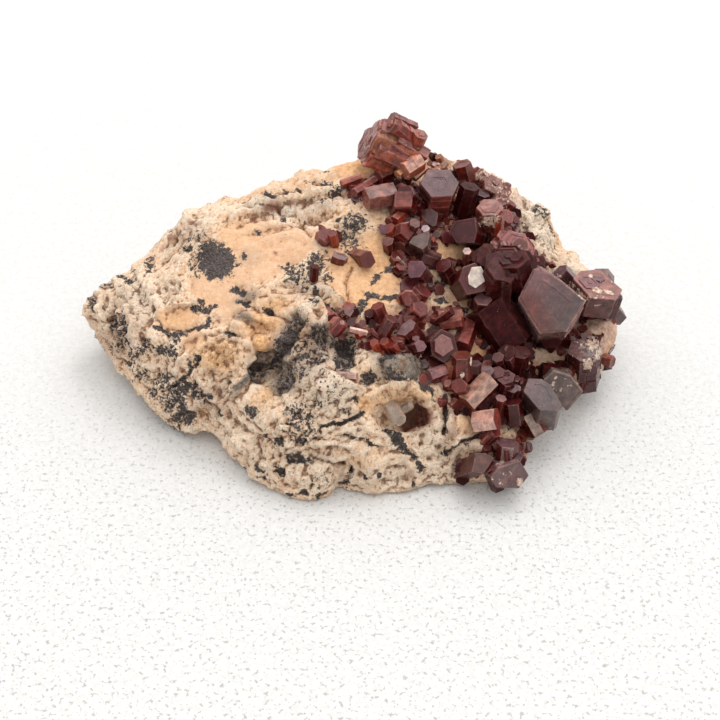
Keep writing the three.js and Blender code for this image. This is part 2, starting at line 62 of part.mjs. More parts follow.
// One row a crystal: name, centre of the free end, azimuth and lean from the
// vertical of its long axis (degrees), length, outline of the end face as
// seen down the axis, chamfer around the end face.
const CRYSTALS = [
  ['summit_main', [2.73, 41.71, 30.28], -179.2, 61.5, 8.27, [[-2.1,2.45],[-3.03,-0.62],[-0.88,-2.92],[2.18,-2.2],[3.11,0.88],[0.96,3.17]], 0],
  ['summit_cap', [1.75, 42.49, 29.28], -174, 61.2, 4.8, [[-1.88,1.72],[-2.43,-0.77],[-0.55,-2.49],[1.88,-1.72],[2.43,0.77],[0.55,2.49]], 0],
  ['summit_top', [3.42, 41.7, 31.94], -169.1, 56.6, 5.21, [[-0.81,1.23],[-1.47,-0.09],[-0.66,-1.32],[0.81,-1.23],[1.47,0.09],[0.66,1.32]], 0],
  ['summit_block', [5.09, 41.65, 32.71], -166.8, 51.1, 5.07, [[-1.01,1.07],[-1.43,-0.34],[-0.42,-1.41],[1.01,-1.07],[1.43,0.34],[0.42,1.41]], 0],
  ['summit_plate', [6.33, 41.21, 33.4], -163.9, 45.1, 3.95, [[-0.99,0.78],[-1.16,-0.47],[-0.18,-1.24],[0.99,-0.78],[1.16,0.47],[0.18,1.24]], 0],
  ['summit_plate2', [7.62, 41.72, 32.26], -168.4, 42.6, 3.21, [[-0.79,0.79],[-1.08,-0.29],[-0.29,-1.08],[0.79,-0.79],[1.08,0.29],[0.29,1.08]], 0],
  ['summit_right', [9.57, 40.71, 31.76], -25.2, 18.8, 3.5, [[0.87,-0.62],[0.97,0.44],[0.1,1.06],[-0.87,0.62],[-0.97,-0.44],[-0.1,-1.06]], 0],
  ['summit_left', [1.32, 41.7, 28.62], -172.5, 63.6, 4.54, [[-1.28,0.41],[-1,-0.9],[0.28,-1.31],[1.28,-0.41],[1,0.9],[-0.28,1.31]], 0],
  ['summit_low', [3.88, 41.03, 27.21], -167.2, 81.6, 4.53, [[-1.19,0.9],[-1.37,-0.58],[-0.19,-1.48],[1.19,-0.9],[1.37,0.58],[0.19,1.48]], 0],
  ['summit_band', [6.09, 41.08, 30.69], 179.1, 56.4, 5.16, [[-1.32,0.18],[-0.82,-1.05],[0.5,-1.24],[1.32,-0.18],[0.82,1.05],[-0.5,1.24]], 0],
  ['tan_prism', [7.29, 40.13, 25.61], -139.8, 98.2, 3.08, [[-1.45,0.36],[-1.04,-1.07],[0.41,-1.43],[1.45,-0.36],[1.04,1.07],[-0.41,1.43]], 0],
  ['tan_small', [6.29, 39.61, 25.28], -133.9, 100.4, 2.73, [[-0.71,-0],[-0.35,-0.62],[0.36,-0.61],[0.71,0],[0.35,0.62],[-0.36,0.61]], 0],
  ['tan_sliver', [8.58, 39.7, 24.7], -135.4, 106.1, 2.73, [[-0.56,0.08],[-0.35,-0.45],[0.21,-0.53],[0.56,-0.08],[0.35,0.45],[-0.21,0.53]], 0],
  ['flat_red_1', [-1.64, 38.07, 25.14], -153.6, 94.5, 3.08, [[-0.58,0.12],[-0.39,-0.45],[0.19,-0.56],[0.58,-0.12],[0.39,0.45],[-0.19,0.56]], 0],
  ['small_left_1', [0.2, 35.88, 25.12], -130.9, 87.4, 5.53, [[-0.7,0.06],[-0.4,-0.58],[0.3,-0.63],[0.7,-0.06],[0.4,0.58],[-0.3,0.63]], 0],
  ['behind_1', [3.59, 39.1, 25.46], -143.3, 90.3, 2.89, [[-1.13,-0.02],[-0.55,-0.99],[0.58,-0.97],[1.13,0.02],[0.55,0.99],[-0.58,0.97]], 0],
  ['behind_2', [5.57, 39.9, 26.27], -134.4, 86.1, 6.77, [[-0.83,0.18],[-0.57,-0.63],[0.26,-0.81],[0.83,-0.18],[0.57,0.63],[-0.26,0.81]], 0],
  ['box_prism', [1.73, 34.81, 24.85], -160, 88.3, 4.31, [[0.99,-1.51],[1.84,-0.22],[0.53,1.91],[-1.16,1.77],[-1.62,-0.51],[-0.58,-1.44]], 0],
  ['right_of_box', [7.14, 33.8, 26.24], -135.6, 39.5, 6.89, [[-0.86,1.34],[-1.59,-0.07],[-0.73,-1.42],[0.86,-1.34],[1.59,0.07],[0.73,1.42]], 0],
  ['small_between', [6.5, 36.03, 26.04], -166.6, 55.4, 2.35, [[-0.63,0.31],[-0.58,-0.39],[0.04,-0.7],[0.63,-0.31],[0.58,0.39],[-0.04,0.7]], 0],
  ['bevel_prism', [7.31, 32.94, 23.65], -96.4, 121.9, 2.49, [[1.91,-0.2],[1.28,1.36],[-0.23,1.69],[-2.27,0.92],[-1.87,-1.48],[1.18,-2.28]], 0.22],
  ['red_glow', [5.75, 31.22, 23.5], -121, 89.8, 5.92, [[-0.87,-0.24],[-0.22,-0.87],[0.65,-0.63],[0.87,0.24],[0.22,0.87],[-0.65,0.63]], 0],
  ['rounded_xl', [7.66, 27.77, 24.54], -53.5, 48.9, 6.73, [[-0.13,-1.24],[1.19,-0.5],[0.92,0.33],[0.46,1.07],[-1.07,0.96],[-1.37,-0.62]], 0.2],
  ['facet_xl', [8.54, 28.34, 25.42], -46.3, 24.4, 8.1, [[0.67,-0.47],[0.74,0.34],[0.08,0.82],[-0.67,0.47],[-0.74,-0.34],[-0.08,-0.82]], 0],
  ['white_rect', [10.08, 29.85, 23.39], -101.4, 24.3, 5.37, [[0.44,0.42],[-0.14,0.59],[-0.58,0.17],[-0.44,-0.42],[0.14,-0.59],[0.58,-0.17]], 0],
  ['grey_hex', [9.49, 27.16, 23.39], -103.7, 30.3, 6.24, [[0.69,-1.66],[1.42,0.44],[0.58,0.97],[-0.93,0.96],[-1.47,0.58],[-0.28,-1.29]], 0],
  ['small_hex_a', [4.32, 29.49, 23.57], -93.8, 51.7, 4.04, [[-0.11,-0.81],[0.57,-0.37],[0.68,0.33],[0.1,0.86],[-0.57,0.55],[-0.67,-0.56]], 0],
  ['small_b', [5.03, 29.47, 23.75], -152.1, 38.5, 4.93, [[-0.63,0.53],[-0.78,-0.28],[-0.15,-0.81],[0.63,-0.53],[0.78,0.28],[0.15,0.81]], 0],
  ['small_c', [4.81, 27.72, 22.84], -132, 11.5, 4.08, [[0.73,-0.37],[0.78,0.58],[0.1,0.91],[-0.93,0.38],[-0.68,-0.5],[0,-1]], 0],
  ['small_d', [4.93, 31.35, 23.4], -125, 79.9, 4.3, [[-0.6,0.16],[-0.44,-0.45],[0.17,-0.6],[0.6,-0.16],[0.44,0.45],[-0.17,0.6]], 0],
  ['small_e', [6.55, 27.96, 21.63], -118.4, 84.9, 4, [[-0.82,-0.09],[-0.33,-0.76],[0.49,-0.67],[0.82,0.09],[0.33,0.76],[-0.49,0.67]], 0],
  ['block_west', [2.13, 24.56, 22.08], -57.7, 63.7, 4.07, [[0.94,-0.91],[1.3,0.12],[0.76,1.08],[-0.95,0.75],[-1.2,0.01],[-0.85,-1.05]], 0],
  ['lath_pale', [6.04, 25.99, 21.31], 168.1, 43.4, 2.15, [[-0.26,0.13],[-0.24,-0.16],[0.02,-0.29],[0.26,-0.13],[0.24,0.16],[-0.02,0.29]], 0],
  ['hex_one', [12.18, 35.36, 27.18], -78.6, 24, 8.39, [[-0.37,-2.8],[2.09,-1.67],[2.33,1.36],[0.35,2.64],[-1.98,1.84],[-2.41,-1.36]], 0],
  ['dark_right', [16.5, 36.9, 25.61], 36.4, 15, 4.54, [[-0.32,-1.44],[1.09,-0.99],[1.41,0.45],[0.32,1.44],[-1.09,0.99],[-1.41,-0.45]], 0],
  ['mauve_slope', [18.47, 37.81, 23.78], 5.5, 16.9, 3.41, [[0.16,-1.05],[0.99,-0.39],[0.83,0.66],[-0.16,1.05],[-0.99,0.39],[-0.83,-0.66]], 0],
  ['back_top', [15.61, 42.97, 25.31], 151.7, 20, 3.78, [[-1.09,0.93],[-1.35,-0.48],[-0.26,-1.41],[1.09,-0.93],[1.35,0.48],[0.26,1.41]], 0],
  ['back_tan', [18.06, 42.8, 23.62], -170.3, 42, 2.49, [[-0.89,0.74],[-1.08,-0.4],[-0.2,-1.14],[0.89,-0.74],[1.08,0.4],[0.2,1.14]], 0],
  ['step_a', [20.13, 39.57, 24.11], -50.4, 27, 6.37, [[1.53,-0.76],[1.42,0.95],[-0.11,1.71],[-1.53,0.76],[-1.42,-0.95],[0.11,-1.71]], 0],
  ['step_b', [21.9, 39.72, 23.14], -37.3, 35.1, 6.42, [[0.95,-0.63],[1.02,0.51],[0.07,1.14],[-0.95,0.63],[-1.02,-0.51],[-0.07,-1.14]], 0],
  ['step_c', [21.34, 37.61, 23.06], -45.4, 35.6, 7.01, [[0.87,-0.94],[1.25,0.28],[0.38,1.22],[-0.87,0.94],[-1.25,-0.28],[-0.38,-1.22]], 0],
  ['pink_prism', [19.12, 33.16, 24.66], -84.4, 6.9, 10.62, [[1.79,0.77],[0.22,1.93],[-1.56,1.16],[-1.79,-0.77],[-0.22,-1.93],[1.56,-1.16]], 0],
  ['pink_low', [22.02, 35.74, 21.27], -29.8, 43.1, 6.65, [[0.56,-1.07],[1.2,-0.05],[0.65,1.02],[-0.56,1.07],[-1.2,0.05],[-0.65,-1.02]], 0],
  ['hex_two', [15.46, 30.05, 22.77], -123.1, 50.4, 8.02, [[1.92,-0.53],[1.05,2],[-0.52,1.84],[-2.31,0.8],[-0.84,-1.96],[0.7,-2.14]], 0],
  ['pale_square', [15.8, 27.71, 21.13], -99.9, 19.2, 6.63, [[0.51,0.38],[-0.08,0.63],[-0.58,0.25],[-0.51,-0.38],[0.08,-0.63],[0.58,-0.25]], 0],
  ['pale_square_body', [16.3, 28.31, 19.98], -130.9, 17.1, 5.56, [[0.06,1.04],[-0.87,0.57],[-0.93,-0.47],[-0.06,-1.04],[0.87,-0.57],[0.93,0.47]], 0],
  ['barrel_core', [20.86, 23.97, 22.08], -101.9, 22.9, 11.36, [[2.11,1.92],[-0.61,2.78],[-2.72,0.86],[-2.11,-1.92],[0.61,-2.78],[2.72,-0.86]], 0.35],
  ['barrel_left', [18.61, 26.38, 21.27], -150.3, 18.6, 9.92, [[-0.81,1.89],[-2.04,0.25],[-1.24,-1.65],[0.81,-1.89],[2.04,-0.25],[1.24,1.65]], 0.28],
  ['barrel_top', [22.57, 28.53, 21.88], -57.2, 26.8, 9.69, [[2.32,-0.38],[1.49,1.82],[-0.83,2.19],[-2.32,0.38],[-1.49,-1.82],[0.83,-2.19]], 0.28],
  ['barrel_plate', [23.75, 25.58, 21.36], -58.8, 45.2, 11.33, [[0.91,-1.11],[1.42,0.23],[0.51,1.34],[-0.91,1.11],[-1.42,-0.23],[-0.51,-1.34]], 0.11],
  ['barrel_facet', [22.15, 24.89, 20], -46.2, 52.9, 10.7, [[0.47,-0.91],[1.03,-0.05],[0.55,0.87],[-0.47,0.91],[-1.03,0.05],[-0.55,-0.87]], 0],
  ['barrel_back', [24.66, 31.46, 19.18], -28.1, 46, 2.79, [[0.6,-1.43],[1.53,-0.2],[0.94,1.23],[-0.6,1.43],[-1.53,0.2],[-0.94,-1.23]], 0],
  ['barrel_edge', [20.46, 29.41, 21.23], -71.1, 8.4, 9.14, [[1.36,0.28],[0.44,1.32],[-0.92,1.04],[-1.36,-0.28],[-0.44,-1.32],[0.92,-1.04]], 0],
  ['white_cap', [16.6, 22.77, 20.31], -68.8, 41.2, 8.3, [[0.75,-1.21],[1.5,-0.47],[0.71,1.65],[-1.25,1.21],[-1.43,-0.15],[-0.28,-1.04]], 0],
  ['white_cap_body', [16.39, 22.45, 20.38], -68.7, 41.2, 8.22, [[1.96,-1.52],[2.02,1.15],[0.3,2.36],[-2.1,0.94],[-1.89,-0.92],[-0.29,-2.01]], 0],
  ['lilac_plate', [17.81, 21.42, 17.69], -87.2, 9.5, 7.28, [[1.22,0.44],[0.22,1.28],[-0.99,0.83],[-1.22,-0.44],[-0.22,-1.28],[0.99,-0.83]], 0],
  ['brown_small', [18.84, 22.89, 18.09], -89.4, 13.8, 7.31, [[0.91,0.47],[0.04,1.03],[-0.87,0.55],[-0.91,-0.47],[-0.04,-1.03],[0.87,-0.55]], 0],
  ['wedge_pale', [20.73, 23.7, 17.1], -10.4, 12.9, 1.89, [[0.33,-0.76],[0.82,-0.09],[0.49,0.66],[-0.33,0.76],[-0.82,0.09],[-0.49,-0.66]], 0],
  ['leaning', [8.61, 23.13, 21.47], -113.9, 41.5, 5.89, [[1.36,-0.42],[0.87,0.89],[-0.54,1.32],[-1.32,0.48],[-0.9,-1.14],[0.53,-1.12]], 0],
  ['dark_tab_a', [9.19, 27.37, 20.35], -168.7, 59.9, 2.73, [[-1.01,0.61],[-1.03,-0.57],[-0.02,-1.17],[1.01,-0.61],[1.03,0.57],[0.02,1.17]], 0],
  ['dark_tab_b', [12.45, 25.79, 20.17], -154.1, 26.1, 5.42, [[-0.71,1.02],[-1.23,-0.1],[-0.53,-1.12],[0.71,-1.02],[1.23,0.1],[0.53,1.12]], 0],
  ['round_red', [7.7, 19.19, 19.55], -93.6, 48.4, 5.08, [[1.03,-0.7],[1.51,0.8],[0.27,1.42],[-1.11,0.43],[-1.13,-0.65],[-0.57,-1.3]], 0.22],
  ['round_red_b', [9.23, 18.14, 18.77], -25.9, 32.3, 5.26, [[0.7,-1.14],[1.34,0.04],[0.64,1.18],[-0.7,1.14],[-1.34,-0.04],[-0.64,-1.18]], 0.17],
  ['glow_low', [7.63, 17.58, 17.84], -152.2, 30.7, 4.38, [[-0.59,0.73],[-0.93,-0.15],[-0.33,-0.88],[0.59,-0.73],[0.93,0.15],[0.33,0.88]], 0],
  ['lath_dark_a', [11.56, 20.16, 15.55], -164.8, 87.7, 3.42, [[-1.06,0.26],[-0.75,-0.79],[0.31,-1.05],[1.06,-0.26],[0.75,0.79],[-0.31,1.05]], 0],
  ['lath_dark_b', [14.99, 18.24, 16.25], -10, 70.7, 3.11, [[0.05,-0.88],[0.78,-0.4],[0.74,0.48],[-0.05,0.88],[-0.78,0.4],[-0.74,-0.48]], 0],
  ['lath_dark_c', [13.46, 18.68, 17.81], -7.7, 41.9, 2.74, [[0.04,-0.61],[0.54,-0.27],[0.51,0.33],[-0.04,0.61],[-0.54,0.27],[-0.51,-0.33]], 0],
  ['great', [26.73, 20.55, 18.81], -96.5, 38.8, 11.74, [[5.14,-0.99],[4.6,2.65],[0.12,4.95],[-2.42,1.53],[-4.22,-1.44],[-3.73,-2.49],[0.51,-4.2]], 0.34],
  ['big_dark', [17.51, 22.47, 15.35], 140.6, 45, 6.94, [[-4.33,-0.39],[-3.16,-2.98],[1.56,-3.46],[3.77,-0.38],[2.6,2.21],[-2.11,2.69]], 0.17],
  ['under_dark', [27.48, 20.12, 11.28], -95.3, 89.9, 6.46, [[-1.25,-0.86],[0.12,-1.52],[1.37,-0.66],[1.25,0.86],[-0.12,1.52],[-1.37,0.66]], 0],
  ['under_strip', [29.71, 20.87, 10.29], -79.8, 96.5, 5.99, [[-0.54,-0.64],[0.29,-0.78],[0.82,-0.14],[0.54,0.64],[-0.29,0.78],[-0.82,0.14]], 0],
  ['tabular', [34.11, 26.79, 16.09], 7.2, 10.3, 3.47, [[-1.84,-3.19],[1.97,-3.47],[3.56,-0.8],[1.38,3.52],[-1.75,2.96],[-3.31,0.98]], 0],
  ['tab_grey', [29.31, 30.09, 15.8], 177.4, 38.8, 2.41, [[-1.1,0.65],[-1.11,-0.62],[-0.01,-1.27],[1.1,-0.65],[1.11,0.62],[0.01,1.27]], 0],
  ['tab_mid', [32.59, 27.53, 14.05], -173.2, 33.4, 6.95, [[-0.95,0.83],[-1.2,-0.41],[-0.24,-1.24],[0.95,-0.83],[1.2,0.41],[0.24,1.24]], 0],
  ['tab_low', [36.68, 26.19, 11.14], -51.5, 92.6, 2, [[-0.07,-1.34],[1.12,-0.73],[1.2,0.61],[0.07,1.34],[-1.12,0.73],[-1.2,-0.61]], 0],
  ['tab_front', [34.7, 26.04, 12.35], -99.7, 91.4, 6.99, [[-1.45,-1.12],[0.25,-1.81],[1.69,-0.69],[1.45,1.12],[-0.25,1.81],[-1.69,0.69]], 0],
  ['dusted', [31.99, 19.45, 10.4], -133.5, 8.8, 6.94, [[1.84,-1.47],[2.09,1],[0.2,2.52],[-2.16,1.57],[-1.6,-1.32],[-0.37,-2.3]], 0],
  ['dusted_side', [30.53, 19.04, 8.37], -128.6, 92.2, 6.75, [[-1.29,-0.27],[-0.41,-1.26],[0.88,-0.98],[1.29,0.27],[0.41,1.26],[-0.88,0.98]], 0],
  ['tip_red', [37.44, 20.5, 6.72], -36.1, 80.6, 4.73, [[-0,-0.96],[0.83,-0.48],[0.83,0.47],[0,0.96],[-0.83,0.48],[-0.83,-0.47]], 0],
  ['twin_a', [25.5, 9.38, 11.1], -89.2, 21.6, 10.39, [[2.42,-0.63],[2.52,1.79],[1.79,2.44],[-1.5,0.97],[-2.32,-0.05],[-2.42,-1.86],[-0.49,-2.66]], 0],
  ['twin_b', [28.66, 12.58, 9.12], -89.8, 60.9, 7.53, [[2.22,-0.16],[3.05,0.55],[0.41,2.74],[-1.82,0.97],[-2.59,-1.38],[-1.27,-2.72]], 0],
  ['twin_back', [25.91, 16.28, 9.32], -174.5, 75.7, 2.61, [[-1.03,0.4],[-0.86,-0.69],[0.17,-1.09],[1.03,-0.4],[0.86,0.69],[-0.17,1.09]], 0],
  ['bar_bright', [21.64, 15.3, 10.45], -164.7, 97, 2.72, [[-0.29,0.08],[-0.21,-0.21],[0.08,-0.29],[0.29,-0.08],[0.21,0.21],[-0.08,0.29]], 0],
  ['knob_a', [20.81, 15.54, 13.22], -154, 26.5, 6.81, [[-0.69,1.16],[-1.35,-0.02],[-0.66,-1.18],[0.69,-1.16],[1.35,0.02],[0.66,1.18]], 0],
  ['knob_b', [22.85, 15.63, 13.13], -35.1, 8.8, 7.05, [[1.07,-0.83],[1.26,0.51],[0.19,1.34],[-1.07,0.83],[-1.26,-0.51],[-0.19,-1.34]], 0],
  ['knob_c', [19.67, 14.62, 13.12], -135.5, 20.8, 5.94, [[0.06,0.88],[-0.73,0.49],[-0.79,-0.38],[-0.06,-0.88],[0.73,-0.49],[0.79,0.38]], 0],
  ['red_cluster_a', [20.62, 11.86, 11.96], -136.1, 14.7, 6.72, [[0,1.27],[-1.1,0.64],[-1.1,-0.64],[-0,-1.27],[1.1,-0.64],[1.1,0.64]], 0],
  ['red_cluster_b', [21.46, 11.24, 10.71], -31.2, 14.3, 6.13, [[0.77,-0.75],[1.04,0.29],[0.27,1.04],[-0.77,0.75],[-1.04,-0.29],[-0.27,-1.04]], 0],
  ['red_cluster_c', [19.47, 12.73, 12.08], -138, 15.8, 5.54, [[0.02,1.08],[-0.92,0.56],[-0.94,-0.52],[-0.02,-1.08],[0.92,-0.56],[0.94,0.52]], 0],
  ['dark_vertical', [21.45, 9.88, 9.41], 118.3, 16.9, 3.3, [[-1.41,-0.11],[-0.6,-1.27],[0.8,-1.16],[1.41,0.11],[0.6,1.27],[-0.8,1.16]], 0],
  ['low_prism_a', [23.77, 11.46, 5.83], 136.2, 45.2, 3.29, [[-1.33,0.32],[-0.94,-0.99],[0.39,-1.31],[1.33,-0.32],[0.94,0.99],[-0.39,1.31]], 0],
  ['low_prism_b', [19.26, 6.35, 9.4], -14.1, 67.9, 3.17, [[0.52,-1.53],[1.58,-0.32],[1.07,1.21],[-0.52,1.53],[-1.58,0.32],[-1.07,-1.21]], 0],
  ['low_prism_b2', [18.99, 5.81, 7.72], -14.4, 30, 5.59, [[0.28,-1.03],[1.03,-0.27],[0.75,0.75],[-0.28,1.03],[-1.03,0.27],[-0.75,-0.75]], 0],
  ['plate_tri', [19.89, 9.47, 10.33], 7.2, 7.4, 6.55, [[0.14,-0.79],[0.75,-0.28],[0.62,0.51],[-0.14,0.79],[-0.75,0.28],[-0.62,-0.51]], 0],
  ['long_lath', [15.16, 8.35, 10.09], -135.7, 109.1, 4.86, [[-1.54,0.51],[-1.21,-1.08],[0.33,-1.59],[1.54,-0.51],[1.21,1.08],[-0.33,1.59]], 0],
  ['dark_hex', [14.09, 9.2, 12.77], -126.3, 36.8, 5.39, [[1.02,0.17],[0.26,1.18],[-0.7,0.96],[-1.08,-0.37],[-0.2,-1.15],[0.7,-0.8]], 0],
  ['pink_hex_s', [12.65, 10.05, 12.44], -135.3, 32.7, 3.99, [[0.58,0.06],[0.23,0.5],[-0.35,0.49],[-0.6,-0.07],[-0.21,-0.58],[0.35,-0.4]], 0],
  ['prism_w', [10.22, 10.75, 13.12], -150, 87.7, 2.6, [[-0.83,0.37],[-0.73,-0.53],[0.09,-0.9],[0.83,-0.37],[0.73,0.53],[-0.09,0.9]], 0],
  ['hex_four', [12.08, 12.84, 16.79], -73.6, 43.3, 6.54, [[0.6,-1.29],[1.52,-0.37],[0.8,1.26],[-0.63,1.23],[-1.45,0.15],[-0.84,-0.97]], 0],
  ['hex_four_body', [12.14, 13.48, 16.15], -72.4, 45.9, 5.66, [[0.95,-1.82],[2.35,-0.29],[1.01,1.85],[-1.19,1.78],[-2.19,0.16],[-0.93,-1.68]], 0],
  ['dark_block', [14.67, 15.31, 13.95], -104.2, 86.6, 5.6, [[-1.34,-0.45],[-0.28,-1.39],[1.06,-0.94],[1.34,0.45],[0.28,1.39],[-1.06,0.94]], 0],
  ['vert_prism', [14.58, 12.13, 15.63], 97.8, 13, 3.56, [[-1.33,-0.41],[-0.31,-1.36],[1.02,-0.95],[1.33,0.41],[0.31,1.36],[-1.02,0.95]], 0],
  ['vert_prism_r', [16.41, 12.5, 13.89], 103.7, 9.4, 2.61, [[-0.85,-0.19],[-0.26,-0.83],[0.59,-0.64],[0.85,0.19],[0.26,0.83],[-0.59,0.64]], 0],
  ['red_right', [18.07, 12.39, 12.74], -83, 4.9, 5.61, [[0.92,0.4],[0.11,1],[-0.81,0.6],[-0.92,-0.4],[-0.11,-1],[0.81,-0.6]], 0],
  ['tan_ridge_xl', [13.17, 12.1, 14.24], 25.4, 2, 5.17, [[-0.02,-0.8],[0.68,-0.42],[0.7,0.38],[0.02,0.8],[-0.68,0.42],[-0.7,-0.38]], 0],
  ['mauve_hex', [7.26, 14.35, 18.55], -139.8, 29.6, 6.47, [[1.04,0.65],[-0.31,0.91],[-1.21,0.51],[-1.15,-0.53],[0.03,-0.95],[1.59,-0.6]], 0],
  ['pink_hex', [9.13, 12.16, 17.2], -55.7, 47.6, 6.02, [[0.57,-0.8],[0.77,0.09],[0.39,0.75],[-0.37,0.62],[-0.8,0.09],[-0.56,-0.76]], 0],
  ['small_57', [8.48, 13.83, 17.14], -38.2, 22.7, 5.29, [[0.39,-0.4],[0.54,0.14],[0.15,0.54],[-0.39,0.4],[-0.54,-0.14],[-0.15,-0.54]], 0],
  ['prism_59', [5.27, 14.85, 19.66], 18.2, 24.6, 3.01, [[-0.14,-0.94],[0.74,-0.59],[0.89,0.35],[0.14,0.94],[-0.74,0.59],[-0.89,-0.35]], 0],
  ['prism_60', [3.31, 17.11, 20.04], 156.2, 22, 2.77, [[-0.89,0.36],[-0.76,-0.59],[0.13,-0.95],[0.89,-0.36],[0.76,0.59],[-0.13,0.95]], 0],
  ['lath_61', [2.5, 14.36, 17.91], 171.2, 45.1, 1.92, [[-0.31,0.15],[-0.28,-0.2],[0.03,-0.34],[0.31,-0.15],[0.28,0.2],[-0.03,0.34]], 0],
  ['red_62', [2.89, 12.63, 17.46], -149.9, 20.7, 4.4, [[-0.28,0.57],[-0.63,0.04],[-0.35,-0.53],[0.28,-0.57],[0.63,-0.04],[0.35,0.53]], 0],
  ['orange_62b', [4.22, 13.13, 17.21], -152.1, 25.6, 4.24, [[-0.38,0.58],[-0.69,-0.04],[-0.31,-0.62],[0.38,-0.58],[0.69,0.04],[0.31,0.62]], 0],
  ['plates_56', [6.08, 13.42, 17.49], 167.4, 0.9, 5.25, [[-0.65,0.73],[-0.96,-0.2],[-0.31,-0.93],[0.65,-0.73],[0.96,0.2],[0.31,0.93]], 0],
  ['red_56c', [5.28, 12.88, 17.08], -162.2, 37, 5.09, [[-0.63,0.48],[-0.73,-0.31],[-0.1,-0.79],[0.63,-0.48],[0.73,0.31],[0.1,0.79]], 0],
  ['west_hex', [-0.44, 15.88, 20.19], -46.7, 39.4, 4.77, [[0.15,-0.8],[0.83,-0.39],[0.42,0.64],[-0.17,0.88],[-0.74,0.21],[-0.49,-0.52]], 0],
  ['west_lower', [-1.21, 14.43, 19.24], 3.5, 35.2, 2.02, [[0.04,-0.86],[0.76,-0.4],[0.72,0.46],[-0.04,0.86],[-0.76,0.4],[-0.72,-0.46]], 0],
  ['blade', [-0.42, 14.3, 18.22], -175.3, 69.6, 2.53, [[-0.38,0.24],[-0.4,-0.21],[-0.02,-0.45],[0.38,-0.24],[0.4,0.21],[0.02,0.45]], 0],
  ['west_under', [0.64, 14.06, 17.29], -142.8, 86.4, 1.57, [[-0.6,0.05],[-0.34,-0.49],[0.25,-0.54],[0.6,-0.05],[0.34,0.49],[-0.25,0.54]], 0],
  ['flake', [0.65, 8.54, 14.91], -15.8, 80.8, 2.61, [[-0.11,-0.59],[0.46,-0.4],[0.57,0.2],[0.11,0.59],[-0.46,0.4],[-0.57,-0.2]], 0],
  ['waist', [17.28, 1.71, 5.82], -52.3, 40.9, 5.92, [[0.31,-2.15],[1.26,-0.81],[0.9,0.29],[0.11,1.89],[-0.96,1.06],[-1.61,-0.29]], 0],
  ['foot_column', [20.63, 4.03, 7.23], 83.3, 15.8, 3.86, [[-1.33,-0.75],[-0.02,-1.52],[1.31,-0.78],[1.33,0.75],[0.02,1.52],[-1.31,0.78]], 0],
  ['foot_main', [20.59, 0.09, 4.94], -80.1, 62, 7.26, [[1.3,-1.81],[1.84,1.28],[0.22,2.72],[-1.92,1.62],[-1.34,-1.4],[-0.09,-2.41]], 0],
  ['foot_left', [18.1, 1.92, 5.04], -173, 19.1, 6.42, [[-0.62,0.86],[-1.05,-0.11],[-0.43,-0.97],[0.62,-0.86],[1.05,0.11],[0.43,0.97]], 0],
  ['foot_back', [21.46, 3.37, 5.84], -22.3, 14.9, 7.06, [[1.01,-0.86],[1.25,0.44],[0.24,1.3],[-1.01,0.86],[-1.25,-0.44],[-0.24,-1.3]], 0],
  ['loose_a', [-3.79, 28.35, 23.38], -68.7, 27.7, 3.44, [[1.21,-0.23],[1.04,0.99],[-0.82,1.18],[-0.94,0.05],[-0.74,-1.05],[0.24,-0.93]], 0],
  ['loose_b', [-1.62, 25.19, 22.15], -49.8, 16.3, 3.08, [[-0.62,-1.01],[0.22,-0.62],[0.92,0.06],[0.72,0.93],[-0.05,0.84],[-1.18,-0.21]], 0],
  ['loose_c', [-2.79, 27.75, 24.17], -121.7, 14.5, 4.42, [[0.22,0.65],[-0.45,0.52],[-0.67,-0.13],[-0.22,-0.65],[0.45,-0.52],[0.67,0.13]], 0],
  ['loose_d', [-5.04, 22.73, 22.34], 36.1, 6, 2.36, [[-0.08,-0.59],[0.47,-0.36],[0.55,0.23],[0.08,0.59],[-0.47,0.36],[-0.55,-0.23]], 0],
  ['pocket_clear', [6.27, 4.22, 11.04], -66.9, 91.4, 5.84, [[-0.5,-0.86],[0.49,-0.86],[0.99,-0],[0.5,0.86],[-0.49,0.86],[-0.99,0]], 0],
  ['pocket_clear_small', [7.78, 7.08, 11.25], -15, 47.6, 1.84, [[0.01,-0.61],[0.53,-0.29],[0.52,0.32],[-0.01,0.61],[-0.53,0.29],[-0.52,-0.32]], 0],
];

// The clear crystals in the pocket, same columns.
const CLEAR = ['pocket_clear', 'pocket_clear_small'];

// What each grown-together group is called, by its largest crystal.
const GROUP_NAMES = {
  flake: 'pink_flake_crystal',
  west_lower: 'west_small_prism',
  red_62: 'small_red_crystal',
  blade: 'pale_blade_crystal',
  great: 'main_crystal_wall',
  prism_60: 'glinting_prism_pair',
  foot_main: 'foot_crystal_group',
  round_red: 'rounded_red_crystals',
  lath_dark_a: 'dark_lath_crystals',
  west_hex: 'west_hexagonal_prism',
  loose_d: 'dark_needle_crystal',
  leaning: 'leaning_prism',
  loose_b: 'flat_loose_crystal',
  loose_a: 'loose_crystal_pair',
  block_west: 'lone_block_crystal',
  small_c: 'small_upright_prism',
  summit_main: 'summit_crystal_group',
  flat_red_1: 'flat_red_prism',
  lath_pale: 'pale_lath_crystal',
  grey_hex: 'grey_hexagonal_prism',
  white_rect: 'small_pale_prism',
  pale_square_body: 'pale_square_prism',
  dark_right: 'dark_upright_prism',
  back_top: 'rear_top_prism',
  twin_a: 'lower_twin_crystals',
  tip_red: 'red_tip_crystal',
  step_a: 'rear_stepped_crystals',
  mauve_slope: 'sloping_mauve_prism'
};

// ---------------------------------------------------------------- kernel
const wasm = await Module();
wasm.setup();
const { Manifold, Mesh } = wasm;

